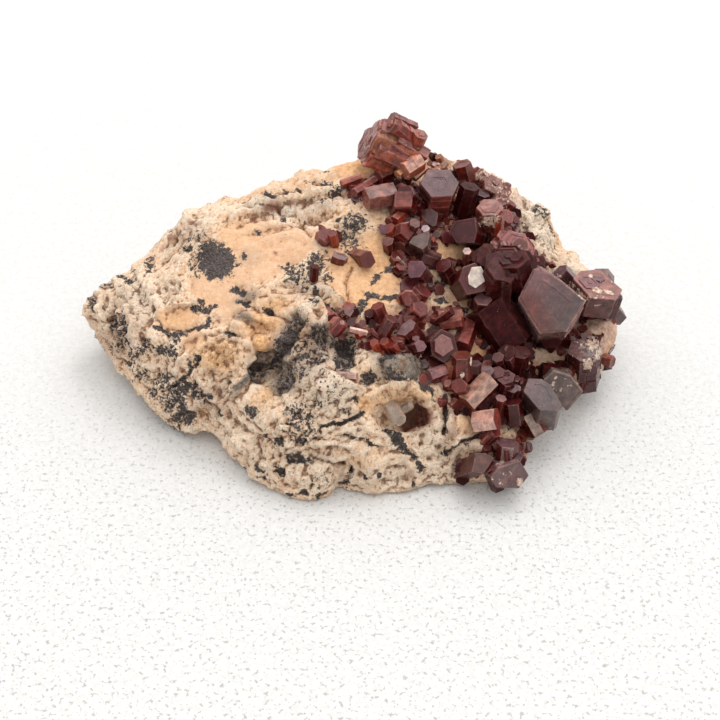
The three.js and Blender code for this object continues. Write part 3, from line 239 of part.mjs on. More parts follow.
function toManifold(geometry) {
  let g = geometry.index ? geometry.toNonIndexed() : geometry.clone();
  g.deleteAttribute('normal');
  g.deleteAttribute('uv');
  g = mergeVertices(g, 1e-4);
  const mesh = new Mesh({
    numProp: 3,
    vertProperties: new Float32Array(g.attributes.position.array),
    triVerts: new Uint32Array(g.index.array),
  });
  mesh.merge();
  return new Manifold(mesh);
}

function toGeometry(solid) {
  const m = solid.getMesh();
  const g = new THREE.BufferGeometry();
  const n = m.vertProperties.length / m.numProp;
  const p = new Float32Array(n * 3);
  for (let i = 0; i < n; i += 1) {
    p[3 * i] = m.vertProperties[m.numProp * i];
    p[3 * i + 1] = m.vertProperties[m.numProp * i + 1];
    p[3 * i + 2] = m.vertProperties[m.numProp * i + 2];
  }
  g.setAttribute('position', new THREE.BufferAttribute(p, 3));
  g.setIndex(new THREE.BufferAttribute(new Uint32Array(m.triVerts), 1));
  return g;
}

// ---------------------------------------------------------------- host rock
function blockRadius(dir) {
  const lat = THREE.MathUtils.radToDeg(Math.asin(THREE.MathUtils.clamp(dir.z, -1, 1)));
  let lon = THREE.MathUtils.radToDeg(Math.atan2(dir.y, dir.x));
  if (lon < 0) lon += 360;
  const rows = BLOCK_RADII.length - 1;
  const cols = BLOCK_RADII[0].length;
  const a = THREE.MathUtils.clamp((lat + 90) / LATITUDE_STEP, 0, rows - 1e-6);
  const b = lon / LATITUDE_STEP;
  const i = Math.floor(a);
  const j = Math.floor(b) % cols;
  const fa = a - i;
  const fb = b - Math.floor(b);
  const at = (r, c) => BLOCK_RADII[r][c % cols];
  return (at(i, j) * (1 - fb) + at(i, j + 1) * fb) * (1 - fa)
    + (at(i + 1, j) * (1 - fb) + at(i + 1, j + 1) * fb) * fa;
}

function blockGeometry(grow) {
  const g = new THREE.IcosahedronGeometry(1, BLOCK_DETAIL);
  const p = g.attributes.position;
  const d = new THREE.Vector3();
  for (let i = 0; i < p.count; i += 1) {
    d.fromBufferAttribute(p, i).normalize();
    let r = blockRadius(d) + grow;
    // the underside is one flat broken face
    if (d.z < 0) r = Math.min(r, (BLOCK_CENTRE[2] + grow) / -d.z);
    p.setXYZ(i, BLOCK_CENTRE[0] + d.x * r, BLOCK_CENTRE[1] + d.y * r, BLOCK_CENTRE[2] + d.z * r);
  }
  return g;
}

const block = toManifold(blockGeometry(0));
const cutter = toManifold(blockGeometry(GAP * 1.5)); // radial growth, a little more than the gap on slopes

// ---------------------------------------------------------------- crystals
function crystalGeometry(tip, azimuth, lean, length, ring, chamfer) {
  const shape = new THREE.Shape(ring.map(([x, y]) => new THREE.Vector2(x, y)));
  const g = chamfer > 0
    ? new THREE.ExtrudeGeometry(shape, {
      depth: length - chamfer,
      bevelEnabled: true,
      bevelThickness: chamfer * 0.55,
      bevelSize: chamfer,
      bevelOffset: -chamfer,
      bevelSegments: 1,
    })
    : new THREE.ExtrudeGeometry(shape, { depth: length, bevelEnabled: false });
  g.computeBoundingBox();
  g.translate(0, 0, -g.boundingBox.max.z);
  const a = THREE.MathUtils.degToRad(azimuth);
  const l = THREE.MathUtils.degToRad(lean);
  const w = new THREE.Vector3(Math.sin(l) * Math.cos(a), Math.sin(l) * Math.sin(a), Math.cos(l));
  const e1 = new THREE.Vector3(Math.cos(l) * Math.cos(a), Math.cos(l) * Math.sin(a), -Math.sin(l));
  const e2 = new THREE.Vector3(-Math.sin(a), Math.cos(a), 0);
  g.applyMatrix4(new THREE.Matrix4().makeBasis(e1, e2, w).setPosition(...tip));
  return g;
}

const red = [];
const clear = [];
for (const [name, tip, azimuth, lean, length, ring, chamfer] of CRYSTALS) {
  const solid = toManifold(crystalGeometry(tip, azimuth, lean, length, ring, chamfer));
  (CLEAR.includes(name) ? clear : red).push({ name, solid, size: solid.volume() });
}

// nothing hangs below the resting plane
const below = toManifold(new THREE.BoxGeometry(200, 200, 40).translate(0, 25, -20 + FLOOR_CLEARANCE));

function grownTogether(list) {
  return Manifold.union(list.map((c) => c.solid)).subtract(cutter).subtract(below).decompose()
    .filter((piece) => piece.volume() > MIN_PIECE);
}

// The largest crystal that has most of itself in a piece gives it its name.
function leader(piece, list) {
  const box = piece.boundingBox();
  const reach = (c) => {
    const b = c.solid.boundingBox();
    return [0, 1, 2].every((k) => b.min[k] < box.max[k] && b.max[k] > box.min[k]);
  };
  return list.filter(reach)
    .map((c) => ({ name: c.name, share: c.solid.intersect(piece).volume() }))
    .sort((p, q) => q.share - p.share)[0].name;
}

const RED = { color: 0x6b2620, roughness: 0.22, metalness: 0.0 };
const pieces = [{ name: 'host_rock', solid: block, look: { color: 0xd9b68f, roughness: 0.9, metalness: 0 } }];
for (const solid of grownTogether(red)) {
  const own = leader(solid, red);
  pieces.push({ name: GROUP_NAMES[own] ?? `crystal_${own}`, solid, look: RED });
}
for (const solid of grownTogether(clear)) {
  pieces.push({ name: 'pocket_clear_crystal', solid, look: { color: 0xb9a79a, roughness: 0.12, metalness: 0, transparent: true, opacity: 0.6 } });
}

// ---------------------------------------------------------------- group
const whole = new THREE.Box3();
const made = pieces.map(({ name, solid, look }) => {
  const g = toGeometry(solid);
  g.computeBoundingBox();
  whole.union(g.boundingBox);
  return { name, g, look };
});
const shift = new THREE.Vector3(-(whole.min.x + whole.max.x) / 2, -(whole.min.y + whole.max.y) / 2, -whole.min.z);

const group = new THREE.Group();
group.name = 'vanadinite_specimen';
const used = new Set();
for (const { name, g, look } of made) {
  g.translate(shift.x, shift.y, shift.z);
  g.computeVertexNormals();
  let own = name;
  for (let k = 2; used.has(own); k += 1) own = `${name}_${k}`;
  used.add(own);
  const mesh = new THREE.Mesh(g, new THREE.MeshStandardMaterial({ flatShading: true, ...look }));
  mesh.name = own;
  group.add(mesh);
}

export default group;
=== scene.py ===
import bpy, bmesh, math
import numpy as np
from mathutils import Vector, Matrix


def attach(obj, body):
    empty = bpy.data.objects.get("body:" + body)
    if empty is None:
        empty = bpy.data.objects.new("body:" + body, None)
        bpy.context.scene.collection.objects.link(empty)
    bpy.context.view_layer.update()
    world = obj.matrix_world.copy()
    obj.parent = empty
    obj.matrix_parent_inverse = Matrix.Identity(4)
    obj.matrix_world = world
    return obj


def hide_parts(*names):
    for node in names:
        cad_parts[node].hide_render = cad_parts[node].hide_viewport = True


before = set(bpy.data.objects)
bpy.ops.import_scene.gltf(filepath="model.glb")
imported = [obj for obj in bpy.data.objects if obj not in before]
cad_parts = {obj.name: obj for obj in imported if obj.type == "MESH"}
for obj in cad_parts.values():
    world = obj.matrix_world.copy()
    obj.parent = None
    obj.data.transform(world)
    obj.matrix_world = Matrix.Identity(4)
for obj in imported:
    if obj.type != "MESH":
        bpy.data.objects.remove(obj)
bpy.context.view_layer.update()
MM = 0.001
rng = np.random.default_rng(7)

# ------------------------------------------------------------------ constants
SHIFT = np.array([-0.2357, -24.5289, 0.0])          # centring of the part, mm
VIEW_FROM = np.array([1.04, -144.5, 150.9])            # before centring, mm
ELEV = math.radians(41.0)
FPX = 360 / math.tan(math.radians(13.0))
FW = np.array([0, math.cos(ELEV), -math.sin(ELEV)])
RT = np.array([1.0, 0, 0])
UP = np.array([0, math.sin(ELEV), math.cos(ELEV)])

# the block's outline and the height of its display face, in the display view
OUTLINE = [[83, 306], [91, 297], [98, 290], [107, 283], [119, 274], [134, 265], [146, 255], [157, 248], [168, 237], [180, 226], [193, 214], [205, 210], [221, 205], [232, 203], [244, 198], [259, 194], [266, 191], [278, 187], [291, 180], [300, 173], [312, 166], [320, 170], [326, 173], [335, 165], [346, 163], [358, 160], [380, 158], [400, 158], [420, 156], [434, 152], [447, 159], [465, 162], [475, 168], [489, 172], [500, 180], [511, 189], [520, 194], [527, 196], [531, 203], [540, 204], [546, 209], [546, 222], [549, 230], [554, 240], [560, 253], [570, 252], [576, 264], [590, 274], [603, 282], [614, 292], [616, 305], [614, 322], [612, 340], [612, 355], [600, 372], [582, 380], [572, 390], [556, 404], [540, 420], [527, 436], [521, 452], [516, 470], [508, 483], [497, 487], [482, 483], [468, 486], [445, 485], [430, 484], [413, 493], [402, 498], [385, 496], [370, 500], [350, 495], [340, 490], [333, 501], [320, 503], [300, 507], [280, 500], [265, 488], [252, 477], [240, 462], [228, 450], [220, 432], [210, 427], [202, 424], [190, 429], [176, 428], [165, 420], [150, 405], [143, 393], [127, 372], [117, 360], [105, 352], [98, 331], [93, 320], [84, 313]]
HEIGHTS = [[86, 304, 9.8], [98, 292, 10.8], [100, 318, 9.6], [103, 345, 5.6], [125, 275, 12.6], [125, 310, 11.4], [127, 345, 8.6], [130, 368, 5.4], [150, 254, 14.4], [150, 300, 13.6], [150, 345, 10.8], [150, 378, 7.2], [155, 405, 4.2], [178, 420, 3.2], [175, 232, 17], [198, 214, 19.4], [200, 262, 18], [200, 310, 16], [200, 350, 13], [200, 390, 9], [202, 420, 4], [225, 440, 3.2], [225, 405, 7.2], [225, 360, 12.6], [225, 300, 17.2], [225, 235, 20], [250, 200, 21.6], [250, 250, 20], [250, 300, 18], [250, 340, 15], [250, 400, 9.8], [250, 440, 5.6], [252, 474, 1.6], [275, 490, 1.0], [275, 450, 5.6], [275, 400, 10.4], [300, 176, 24], [300, 230, 22.3], [300, 290, 19.6], [300, 335, 17.2], [300, 380, 13.4], [300, 430, 8.8], [300, 470, 4.2], [300, 504, 0.2], [350, 165, 25.4], [350, 230, 22.6], [350, 290, 19.6], [350, 340, 16.6], [350, 385, 13.4], [350, 440, 8.2], [350, 492, 0.8], [330, 470, 4.0], [400, 162, 25.2], [400, 230, 22.0], [400, 290, 18.4], [400, 340, 15.6], [400, 385, 12.8], [400, 430, 8.4], [400, 470, 3.8], [400, 495, 0.6], [450, 161, 24.0], [450, 230, 20.4], [450, 290, 16.6], [450, 340, 13.6], [450, 400, 10.0], [450, 440, 6.2], [450, 482, 1.4], [500, 182, 21.0], [500, 240, 17.6], [500, 300, 14.0], [500, 350, 11.0], [500, 400, 8.0], [500, 440, 4.6], [500, 482, 1.2], [545, 218, 17.6], [550, 250, 15.8], [550, 300, 12.2], [550, 350, 9.0], [550, 398, 5.2], [530, 430, 2.8], [600, 284, 12.0], [600, 310, 10.4], [600, 340, 8.0], [600, 368, 5.4], [614, 300, 10.8], [612, 350, 6.8], [575, 270, 13.8], [575, 384, 5.4]]
# broad lumps and hollows of the display face: place, half sizes, turn, height in mm
LUMPS = [[268, 368, 21, 30, -12, -4.6], [262, 331, 20, 16, 0, -1.4], [262, 342, 8, 8, 0, 1.2], [346, 352, 17, 19, 0, -1.9], [315, 320, 32, 30, 0, 1.7], [322, 381, 30, 16, -8, 1.7], [222, 362, 24, 20, 0, 0.9], [398, 413, 31, 18, 12, -3.0], [402, 391, 34, 9, 4, 1.1], [400, 366, 23, 20, 0, 1.6], [312, 478, 36, 28, 0, 1.2], [339, 482, 6, 22, 8, -1.8], [456, 424, 14, 11, 0, 1.0], [480, 445, 10, 8, 0, 0.8], [294, 209, 40, 7, -14, -0.8], [290, 197, 44, 8, -14, 0.6], [175, 235, 30, 6, -38, 0.9], [118, 330, 7, 42, -22, -0.7], [103, 322, 7, 36, -22, 0.6], [136, 338, 7, 40, -22, 0.6], [180, 316, 26, 14, -20, -0.6], [216, 262, 24, 22, 0, -0.25], [366, 368, 13, 17, 0, 0.8], [508, 434, 10, 8, 0, 0.7], [480, 335, 26, 30, 30, -0.6], [205, 405, 24, 18, 0, 0.9], [165, 395, 22, 18, 0, 0.7], [290, 430, 24, 18, 0, 0.8], [400, 455, 40, 14, 10, 0.5], [370, 470, 30, 16, 0, 0.6], [440, 455, 24, 14, 0, -0.6], [545, 358, 24, 14, 0, -1.0], [596, 338, 18, 20, 0, 0.8]]
BASE = [[-19.0, 13.0], [-13.0, 4.0], [-6.0, 0.5], [4.0, 0.8], [12.0, 3.0], [21.0, 5.0], [25.0, 14.0], [23.0, 32.0], [8.0, 40.0], [-14.0, 38.0], [-25.0, 30.0], [-27.0, 22.0]]
# crystals: name, tip, azimuth, lean, length, ring, chamfer, kind
CRYSTALS = [
    ('summit_main', (2.73, 41.71, 30.28), -179.2, 61.5, 8.27, [(-2.1, 2.45), (-3.03, -0.62), (-0.88, -2.92), (2.18, -2.2), (3.11, 0.88), (0.96, 3.17)], 0, 'red'),
    ('summit_cap', (1.75, 42.49, 29.28), -174, 61.2, 4.8, [(-1.88, 1.72), (-2.43, -0.77), (-0.55, -2.49), (1.88, -1.72), (2.43, 0.77), (0.55, 2.49)], 0, 'red'),
    ('summit_top', (3.42, 41.7, 31.94), -169.1, 56.6, 5.21, [(-0.81, 1.23), (-1.47, -0.09), (-0.66, -1.32), (0.81, -1.23), (1.47, 0.09), (0.66, 1.32)], 0, 'red'),
    ('summit_block', (5.09, 41.65, 32.71), -166.8, 51.1, 5.07, [(-1.01, 1.07), (-1.43, -0.34), (-0.42, -1.41), (1.01, -1.07), (1.43, 0.34), (0.42, 1.41)], 0, 'red'),
    ('summit_plate', (6.33, 41.21, 33.4), -163.9, 45.1, 3.95, [(-0.99, 0.78), (-1.16, -0.47), (-0.18, -1.24), (0.99, -0.78), (1.16, 0.47), (0.18, 1.24)], 0, 'red'),
    ('summit_plate2', (7.62, 41.72, 32.26), -168.4, 42.6, 3.21, [(-0.79, 0.79), (-1.08, -0.29), (-0.29, -1.08), (0.79, -0.79), (1.08, 0.29), (0.29, 1.08)], 0, 'red'),
    ('summit_right', (9.57, 40.71, 31.76), -25.2, 18.8, 3.5, [(0.87, -0.62), (0.97, 0.44), (0.1, 1.06), (-0.87, 0.62), (-0.97, -0.44), (-0.1, -1.06)], 0, 'red'),
    ('summit_left', (1.32, 41.7, 28.62), -172.5, 63.6, 4.54, [(-1.28, 0.41), (-1, -0.9), (0.28, -1.31), (1.28, -0.41), (1, 0.9), (-0.28, 1.31)], 0, 'red'),
    ('summit_low', (3.88, 41.03, 27.21), -167.2, 81.6, 4.53, [(-1.19, 0.9), (-1.37, -0.58), (-0.19, -1.48), (1.19, -0.9), (1.37, 0.58), (0.19, 1.48)], 0, 'red'),
    ('summit_band', (6.09, 41.08, 30.69), 179.1, 56.4, 5.16, [(-1.32, 0.18), (-0.82, -1.05), (0.5, -1.24), (1.32, -0.18), (0.82, 1.05), (-0.5, 1.24)], 0, 'red'),
    ('tan_prism', (7.29, 40.13, 25.61), -139.8, 98.2, 3.08, [(-1.45, 0.36), (-1.04, -1.07), (0.41, -1.43), (1.45, -0.36), (1.04, 1.07), (-0.41, 1.43)], 0, 'tan'),
    ('tan_small', (6.29, 39.61, 25.28), -133.9, 100.4, 2.73, [(-0.71, -0), (-0.35, -0.62), (0.36, -0.61), (0.71, 0), (0.35, 0.62), (-0.36, 0.61)], 0, 'tan'),
    ('tan_sliver', (8.58, 39.7, 24.7), -135.4, 106.1, 2.73, [(-0.56, 0.08), (-0.35, -0.45), (0.21, -0.53), (0.56, -0.08), (0.35, 0.45), (-0.21, 0.53)], 0, 'tan'),
    ('flat_red_1', (-1.64, 38.07, 25.14), -153.6, 94.5, 3.08, [(-0.58, 0.12), (-0.39, -0.45), (0.19, -0.56), (0.58, -0.12), (0.39, 0.45), (-0.19, 0.56)], 0, 'red'),
    ('small_left_1', (0.2, 35.88, 25.12), -130.9, 87.4, 5.53, [(-0.7, 0.06), (-0.4, -0.58), (0.3, -0.63), (0.7, -0.06), (0.4, 0.58), (-0.3, 0.63)], 0, 'red'),
    ('behind_1', (3.59, 39.1, 25.46), -143.3, 90.3, 2.89, [(-1.13, -0.02), (-0.55, -0.99), (0.58, -0.97), (1.13, 0.02), (0.55, 0.99), (-0.58, 0.97)], 0, 'red'),
    ('behind_2', (5.57, 39.9, 26.27), -134.4, 86.1, 6.77, [(-0.83, 0.18), (-0.57, -0.63), (0.26, -0.81), (0.83, -0.18), (0.57, 0.63), (-0.26, 0.81)], 0, 'red'),
    ('box_prism', (1.73, 34.81, 24.85), -160, 88.3, 4.31, [(0.99, -1.51), (1.84, -0.22), (0.53, 1.91), (-1.16, 1.77), (-1.62, -0.51), (-0.58, -1.44)], 0, 'red'),
    ('right_of_box', (7.14, 33.8, 26.24), -135.6, 39.5, 6.89, [(-0.86, 1.34), (-1.59, -0.07), (-0.73, -1.42), (0.86, -1.34), (1.59, 0.07), (0.73, 1.42)], 0, 'red'),
    ('small_between', (6.5, 36.03, 26.04), -166.6, 55.4, 2.35, [(-0.63, 0.31), (-0.58, -0.39), (0.04, -0.7), (0.63, -0.31), (0.58, 0.39), (-0.04, 0.7)], 0, 'red'),
    ('bevel_prism', (7.31, 32.94, 23.65), -96.4, 121.9, 2.49, [(1.91, -0.2), (1.28, 1.36), (-0.23, 1.69), (-2.27, 0.92), (-1.87, -1.48), (1.18, -2.28)], 0.22, 'red'),
    ('red_glow', (5.75, 31.22, 23.5), -121, 89.8, 5.92, [(-0.87, -0.24), (-0.22, -0.87), (0.65, -0.63), (0.87, 0.24), (0.22, 0.87), (-0.65, 0.63)], 0, 'glow'),
    ('rounded_xl', (7.66, 27.77, 24.54), -53.5, 48.9, 6.73, [(-0.13, -1.24), (1.19, -0.5), (0.92, 0.33), (0.46, 1.07), (-1.07, 0.96), (-1.37, -0.62)], 0.2, 'red'),
    ('facet_xl', (8.54, 28.34, 25.42), -46.3, 24.4, 8.1, [(0.67, -0.47), (0.74, 0.34), (0.08, 0.82), (-0.67, 0.47), (-0.74, -0.34), (-0.08, -0.82)], 0, 'red'),
    ('white_rect', (10.08, 29.85, 23.39), -101.4, 24.3, 5.37, [(0.44, 0.42), (-0.14, 0.59), (-0.58, 0.17), (-0.44, -0.42), (0.14, -0.59), (0.58, -0.17)], 0, 'pale'),
    ('grey_hex', (9.49, 27.16, 23.39), -103.7, 30.3, 6.24, [(0.69, -1.66), (1.42, 0.44), (0.58, 0.97), (-0.93, 0.96), (-1.47, 0.58), (-0.28, -1.29)], 0, 'grey'),
    ('small_hex_a', (4.32, 29.49, 23.57), -93.8, 51.7, 4.04, [(-0.11, -0.81), (0.57, -0.37), (0.68, 0.33), (0.1, 0.86), (-0.57, 0.55), (-0.67, -0.56)], 0, 'red'),
    ('small_b', (5.03, 29.47, 23.75), -152.1, 38.5, 4.93, [(-0.63, 0.53), (-0.78, -0.28), (-0.15, -0.81), (0.63, -0.53), (0.78, 0.28), (0.15, 0.81)], 0, 'glow'),
    ('small_c', (4.81, 27.72, 22.84), -132, 11.5, 4.08, [(0.73, -0.37), (0.78, 0.58), (0.1, 0.91), (-0.93, 0.38), (-0.68, -0.5), (0, -1)], 0, 'red'),
    ('small_d', (4.93, 31.35, 23.4), -125, 79.9, 4.3, [(-0.6, 0.16), (-0.44, -0.45), (0.17, -0.6), (0.6, -0.16), (0.44, 0.45), (-0.17, 0.6)], 0, 'red'),
    ('small_e', (6.55, 27.96, 21.63), -118.4, 84.9, 4, [(-0.82, -0.09), (-0.33, -0.76), (0.49, -0.67), (0.82, 0.09), (0.33, 0.76), (-0.49, 0.67)], 0, 'red'),
    ('block_west', (2.13, 24.56, 22.08), -57.7, 63.7, 4.07, [(0.94, -0.91), (1.3, 0.12), (0.76, 1.08), (-0.95, 0.75), (-1.2, 0.01), (-0.85, -1.05)], 0, 'red'),
    ('lath_pale', (6.04, 25.99, 21.31), 168.1, 43.4, 2.15, [(-0.26, 0.13), (-0.24, -0.16), (0.02, -0.29), (0.26, -0.13), (0.24, 0.16), (-0.02, 0.29)], 0, 'pale'),
    ('hex_one', (12.18, 35.36, 27.18), -78.6, 24, 8.39, [(-0.37, -2.8), (2.09, -1.67), (2.33, 1.36), (0.35, 2.64), (-1.98, 1.84), (-2.41, -1.36)], 0, 'red'),
    ('dark_right', (16.5, 36.9, 25.61), 36.4, 15, 4.54, [(-0.32, -1.44), (1.09, -0.99), (1.41, 0.45), (0.32, 1.44), (-1.09, 0.99), (-1.41, -0.45)], 0, 'dark'),
    ('mauve_slope', (18.47, 37.81, 23.78), 5.5, 16.9, 3.41, [(0.16, -1.05), (0.99, -0.39), (0.83, 0.66), (-0.16, 1.05), (-0.99, 0.39), (-0.83, -0.66)], 0, 'red'),
    ('back_top', (15.61, 42.97, 25.31), 151.7, 20, 3.78, [(-1.09, 0.93), (-1.35, -0.48), (-0.26, -1.41), (1.09, -0.93), (1.35, 0.48), (0.26, 1.41)], 0, 'red'),
    ('back_tan', (18.06, 42.8, 23.62), -170.3, 42, 2.49, [(-0.89, 0.74), (-1.08, -0.4), (-0.2, -1.14), (0.89, -0.74), (1.08, 0.4), (0.2, 1.14)], 0, 'tan'),
    ('step_a', (20.13, 39.57, 24.11), -50.4, 27, 6.37, [(1.53, -0.76), (1.42, 0.95), (-0.11, 1.71), (-1.53, 0.76), (-1.42, -0.95), (0.11, -1.71)], 0, 'rough'),
    ('step_b', (21.9, 39.72, 23.14), -37.3, 35.1, 6.42, [(0.95, -0.63), (1.02, 0.51), (0.07, 1.14), (-0.95, 0.63), (-1.02, -0.51), (-0.07, -1.14)], 0, 'rough'),
    ('step_c', (21.34, 37.61, 23.06), -45.4, 35.6, 7.01, [(0.87, -0.94), (1.25, 0.28), (0.38, 1.22), (-0.87, 0.94), (-1.25, -0.28), (-0.38, -1.22)], 0, 'rough'),
    ('pink_prism', (19.12, 33.16, 24.66), -84.4, 6.9, 10.62, [(1.79, 0.77), (0.22, 1.93), (-1.56, 1.16), (-1.79, -0.77), (-0.22, -1.93), (1.56, -1.16)], 0, 'pink'),
    ('pink_low', (22.02, 35.74, 21.27), -29.8, 43.1, 6.65, [(0.56, -1.07), (1.2, -0.05), (0.65, 1.02), (-0.56, 1.07), (-1.2, 0.05), (-0.65, -1.02)], 0, 'rough'),
    ('hex_two', (15.46, 30.05, 22.77), -123.1, 50.4, 8.02, [(1.92, -0.53), (1.05, 2), (-0.52, 1.84), (-2.31, 0.8), (-0.84, -1.96), (0.7, -2.14)], 0, 'dark'),
    ('pale_square', (15.8, 27.71, 21.13), -99.9, 19.2, 6.63, [(0.51, 0.38), (-0.08, 0.63), (-0.58, 0.25), (-0.51, -0.38), (0.08, -0.63), (0.58, -0.25)], 0, 'pale'),
    ('pale_square_body', (16.3, 28.31, 19.98), -130.9, 17.1, 5.56, [(0.06, 1.04), (-0.87, 0.57), (-0.93, -0.47), (-0.06, -1.04), (0.87, -0.57), (0.93, 0.47)], 0, 'red'),
    ('barrel_core', (20.86, 23.97, 22.08), -101.9, 22.9, 11.36, [(2.11, 1.92), (-0.61, 2.78), (-2.72, 0.86), (-2.11, -1.92), (0.61, -2.78), (2.72, -0.86)], 0.35, 'red'),
    ('barrel_left', (18.61, 26.38, 21.27), -150.3, 18.6, 9.92, [(-0.81, 1.89), (-2.04, 0.25), (-1.24, -1.65), (0.81, -1.89), (2.04, -0.25), (1.24, 1.65)], 0.28, 'red'),
    ('barrel_top', (22.57, 28.53, 21.88), -57.2, 26.8, 9.69, [(2.32, -0.38), (1.49, 1.82), (-0.83, 2.19), (-2.32, 0.38), (-1.49, -1.82), (0.83, -2.19)], 0.28, 'pink'),
    ('barrel_plate', (23.75, 25.58, 21.36), -58.8, 45.2, 11.33, [(0.91, -1.11), (1.42, 0.23), (0.51, 1.34), (-0.91, 1.11), (-1.42, -0.23), (-0.51, -1.34)], 0.11, 'red'),
    ('barrel_facet', (22.15, 24.89, 20), -46.2, 52.9, 10.7, [(0.47, -0.91), (1.03, -0.05), (0.55, 0.87), (-0.47, 0.91), (-1.03, 0.05), (-0.55, -0.87)], 0, 'glow'),
    ('barrel_back', (24.66, 31.46, 19.18), -28.1, 46, 2.79, [(0.6, -1.43), (1.53, -0.2), (0.94, 1.23), (-0.6, 1.43), (-1.53, 0.2), (-0.94, -1.23)], 0, 'pink'),
    ('barrel_edge', (20.46, 29.41, 21.23), -71.1, 8.4, 9.14, [(1.36, 0.28), (0.44, 1.32), (-0.92, 1.04), (-1.36, -0.28), (-0.44, -1.32), (0.92, -1.04)], 0, 'pink'),
    ('white_cap', (16.6, 22.77, 20.31), -68.8, 41.2, 8.3, [(0.75, -1.21), (1.5, -0.47), (0.71, 1.65), (-1.25, 1.21), (-1.43, -0.15), (-0.28, -1.04)], 0, 'whitecap'),
    ('white_cap_body', (16.39, 22.45, 20.38), -68.7, 41.2, 8.22, [(1.96, -1.52), (2.02, 1.15), (0.3, 2.36), (-2.1, 0.94), (-1.89, -0.92), (-0.29, -2.01)], 0, 'dark'),
    ('lilac_plate', (17.81, 21.42, 17.69), -87.2, 9.5, 7.28, [(1.22, 0.44), (0.22, 1.28), (-0.99, 0.83), (-1.22, -0.44), (-0.22, -1.28), (0.99, -0.83)], 0, 'lilac'),
    ('brown_small', (18.84, 22.89, 18.09), -89.4, 13.8, 7.31, [(0.91, 0.47), (0.04, 1.03), (-0.87, 0.55), (-0.91, -0.47), (-0.04, -1.03), (0.87, -0.55)], 0, 'tan'),
    ('wedge_pale', (20.73, 23.7, 17.1), -10.4, 12.9, 1.89, [(0.33, -0.76), (0.82, -0.09), (0.49, 0.66), (-0.33, 0.76), (-0.82, 0.09), (-0.49, -0.66)], 0, 'pale'),
    ('leaning', (8.61, 23.13, 21.47), -113.9, 41.5, 5.89, [(1.36, -0.42), (0.87, 0.89), (-0.54, 1.32), (-1.32, 0.48), (-0.9, -1.14), (0.53, -1.12)], 0, 'red'),
    ('dark_tab_a', (9.19, 27.37, 20.35), -168.7, 59.9, 2.73, [(-1.01, 0.61), (-1.03, -0.57), (-0.02, -1.17), (1.01, -0.61), (1.03, 0.57), (0.02, 1.17)], 0, 'dark'),
    ('dark_tab_b', (12.45, 25.79, 20.17), -154.1, 26.1, 5.42, [(-0.71, 1.02), (-1.23, -0.1), (-0.53, -1.12), (0.71, -1.02), (1.23, 0.1), (0.53, 1.12)], 0, 'dark'),
    ('round_red', (7.7, 19.19, 19.55), -93.6, 48.4, 5.08, [(1.03, -0.7), (1.51, 0.8), (0.27, 1.42), (-1.11, 0.43), (-1.13, -0.65), (-0.57, -1.3)], 0.22, 'red'),
    ('round_red_b', (9.23, 18.14, 18.77), -25.9, 32.3, 5.26, [(0.7, -1.14), (1.34, 0.04), (0.64, 1.18), (-0.7, 1.14), (-1.34, -0.04), (-0.64, -1.18)], 0.17, 'red'),
    ('glow_low', (7.63, 17.58, 17.84), -152.2, 30.7, 4.38, [(-0.59, 0.73), (-0.93, -0.15), (-0.33, -0.88), (0.59, -0.73), (0.93, 0.15), (0.33, 0.88)], 0, 'glow'),
    ('lath_dark_a', (11.56, 20.16, 15.55), -164.8, 87.7, 3.42, [(-1.06, 0.26), (-0.75, -0.79), (0.31, -1.05), (1.06, -0.26), (0.75, 0.79), (-0.31, 1.05)], 0, 'dark'),
    ('lath_dark_b', (14.99, 18.24, 16.25), -10, 70.7, 3.11, [(0.05, -0.88), (0.78, -0.4), (0.74, 0.48), (-0.05, 0.88), (-0.78, 0.4), (-0.74, -0.48)], 0, 'dark'),
    ('lath_dark_c', (13.46, 18.68, 17.81), -7.7, 41.9, 2.74, [(0.04, -0.61), (0.54, -0.27), (0.51, 0.33), (-0.04, 0.61), (-0.54, 0.27), (-0.51, -0.33)], 0, 'dark'),
    ('great', (26.73, 20.55, 18.81), -96.5, 38.8, 11.74, [(5.14, -0.99), (4.6, 2.65), (0.12, 4.95), (-2.42, 1.53), (-4.22, -1.44), (-3.73, -2.49), (0.51, -4.2)], 0.34, 'red'),
    ('big_dark', (17.51, 22.47, 15.35), 140.6, 45, 6.94, [(-4.33, -0.39), (-3.16, -2.98), (1.56, -3.46), (3.77, -0.38), (2.6, 2.21), (-2.11, 2.69)], 0.17, 'deep'),
    ('under_dark', (27.48, 20.12, 11.28), -95.3, 89.9, 6.46, [(-1.25, -0.86), (0.12, -1.52), (1.37, -0.66), (1.25, 0.86), (-0.12, 1.52), (-1.37, 0.66)], 0, 'dark'),
    ('under_strip', (29.71, 20.87, 10.29), -79.8, 96.5, 5.99, [(-0.54, -0.64), (0.29, -0.78), (0.82, -0.14), (0.54, 0.64), (-0.29, 0.78), (-0.82, 0.14)], 0, 'dark'),
    ('tabular', (34.11, 26.79, 16.09), 7.2, 10.3, 3.47, [(-1.84, -3.19), (1.97, -3.47), (3.56, -0.8), (1.38, 3.52), (-1.75, 2.96), (-3.31, 0.98)], 0, 'red'),
    ('tab_grey', (29.31, 30.09, 15.8), 177.4, 38.8, 2.41, [(-1.1, 0.65), (-1.11, -0.62), (-0.01, -1.27), (1.1, -0.65), (1.11, 0.62), (0.01, 1.27)], 0, 'grey'),
    ('tab_mid', (32.59, 27.53, 14.05), -173.2, 33.4, 6.95, [(-0.95, 0.83), (-1.2, -0.41), (-0.24, -1.24), (0.95, -0.83), (1.2, 0.41), (0.24, 1.24)], 0, 'red'),
    ('tab_low', (36.68, 26.19, 11.14), -51.5, 92.6, 2, [(-0.07, -1.34), (1.12, -0.73), (1.2, 0.61), (0.07, 1.34), (-1.12, 0.73), (-1.2, -0.61)], 0, 'dark'),
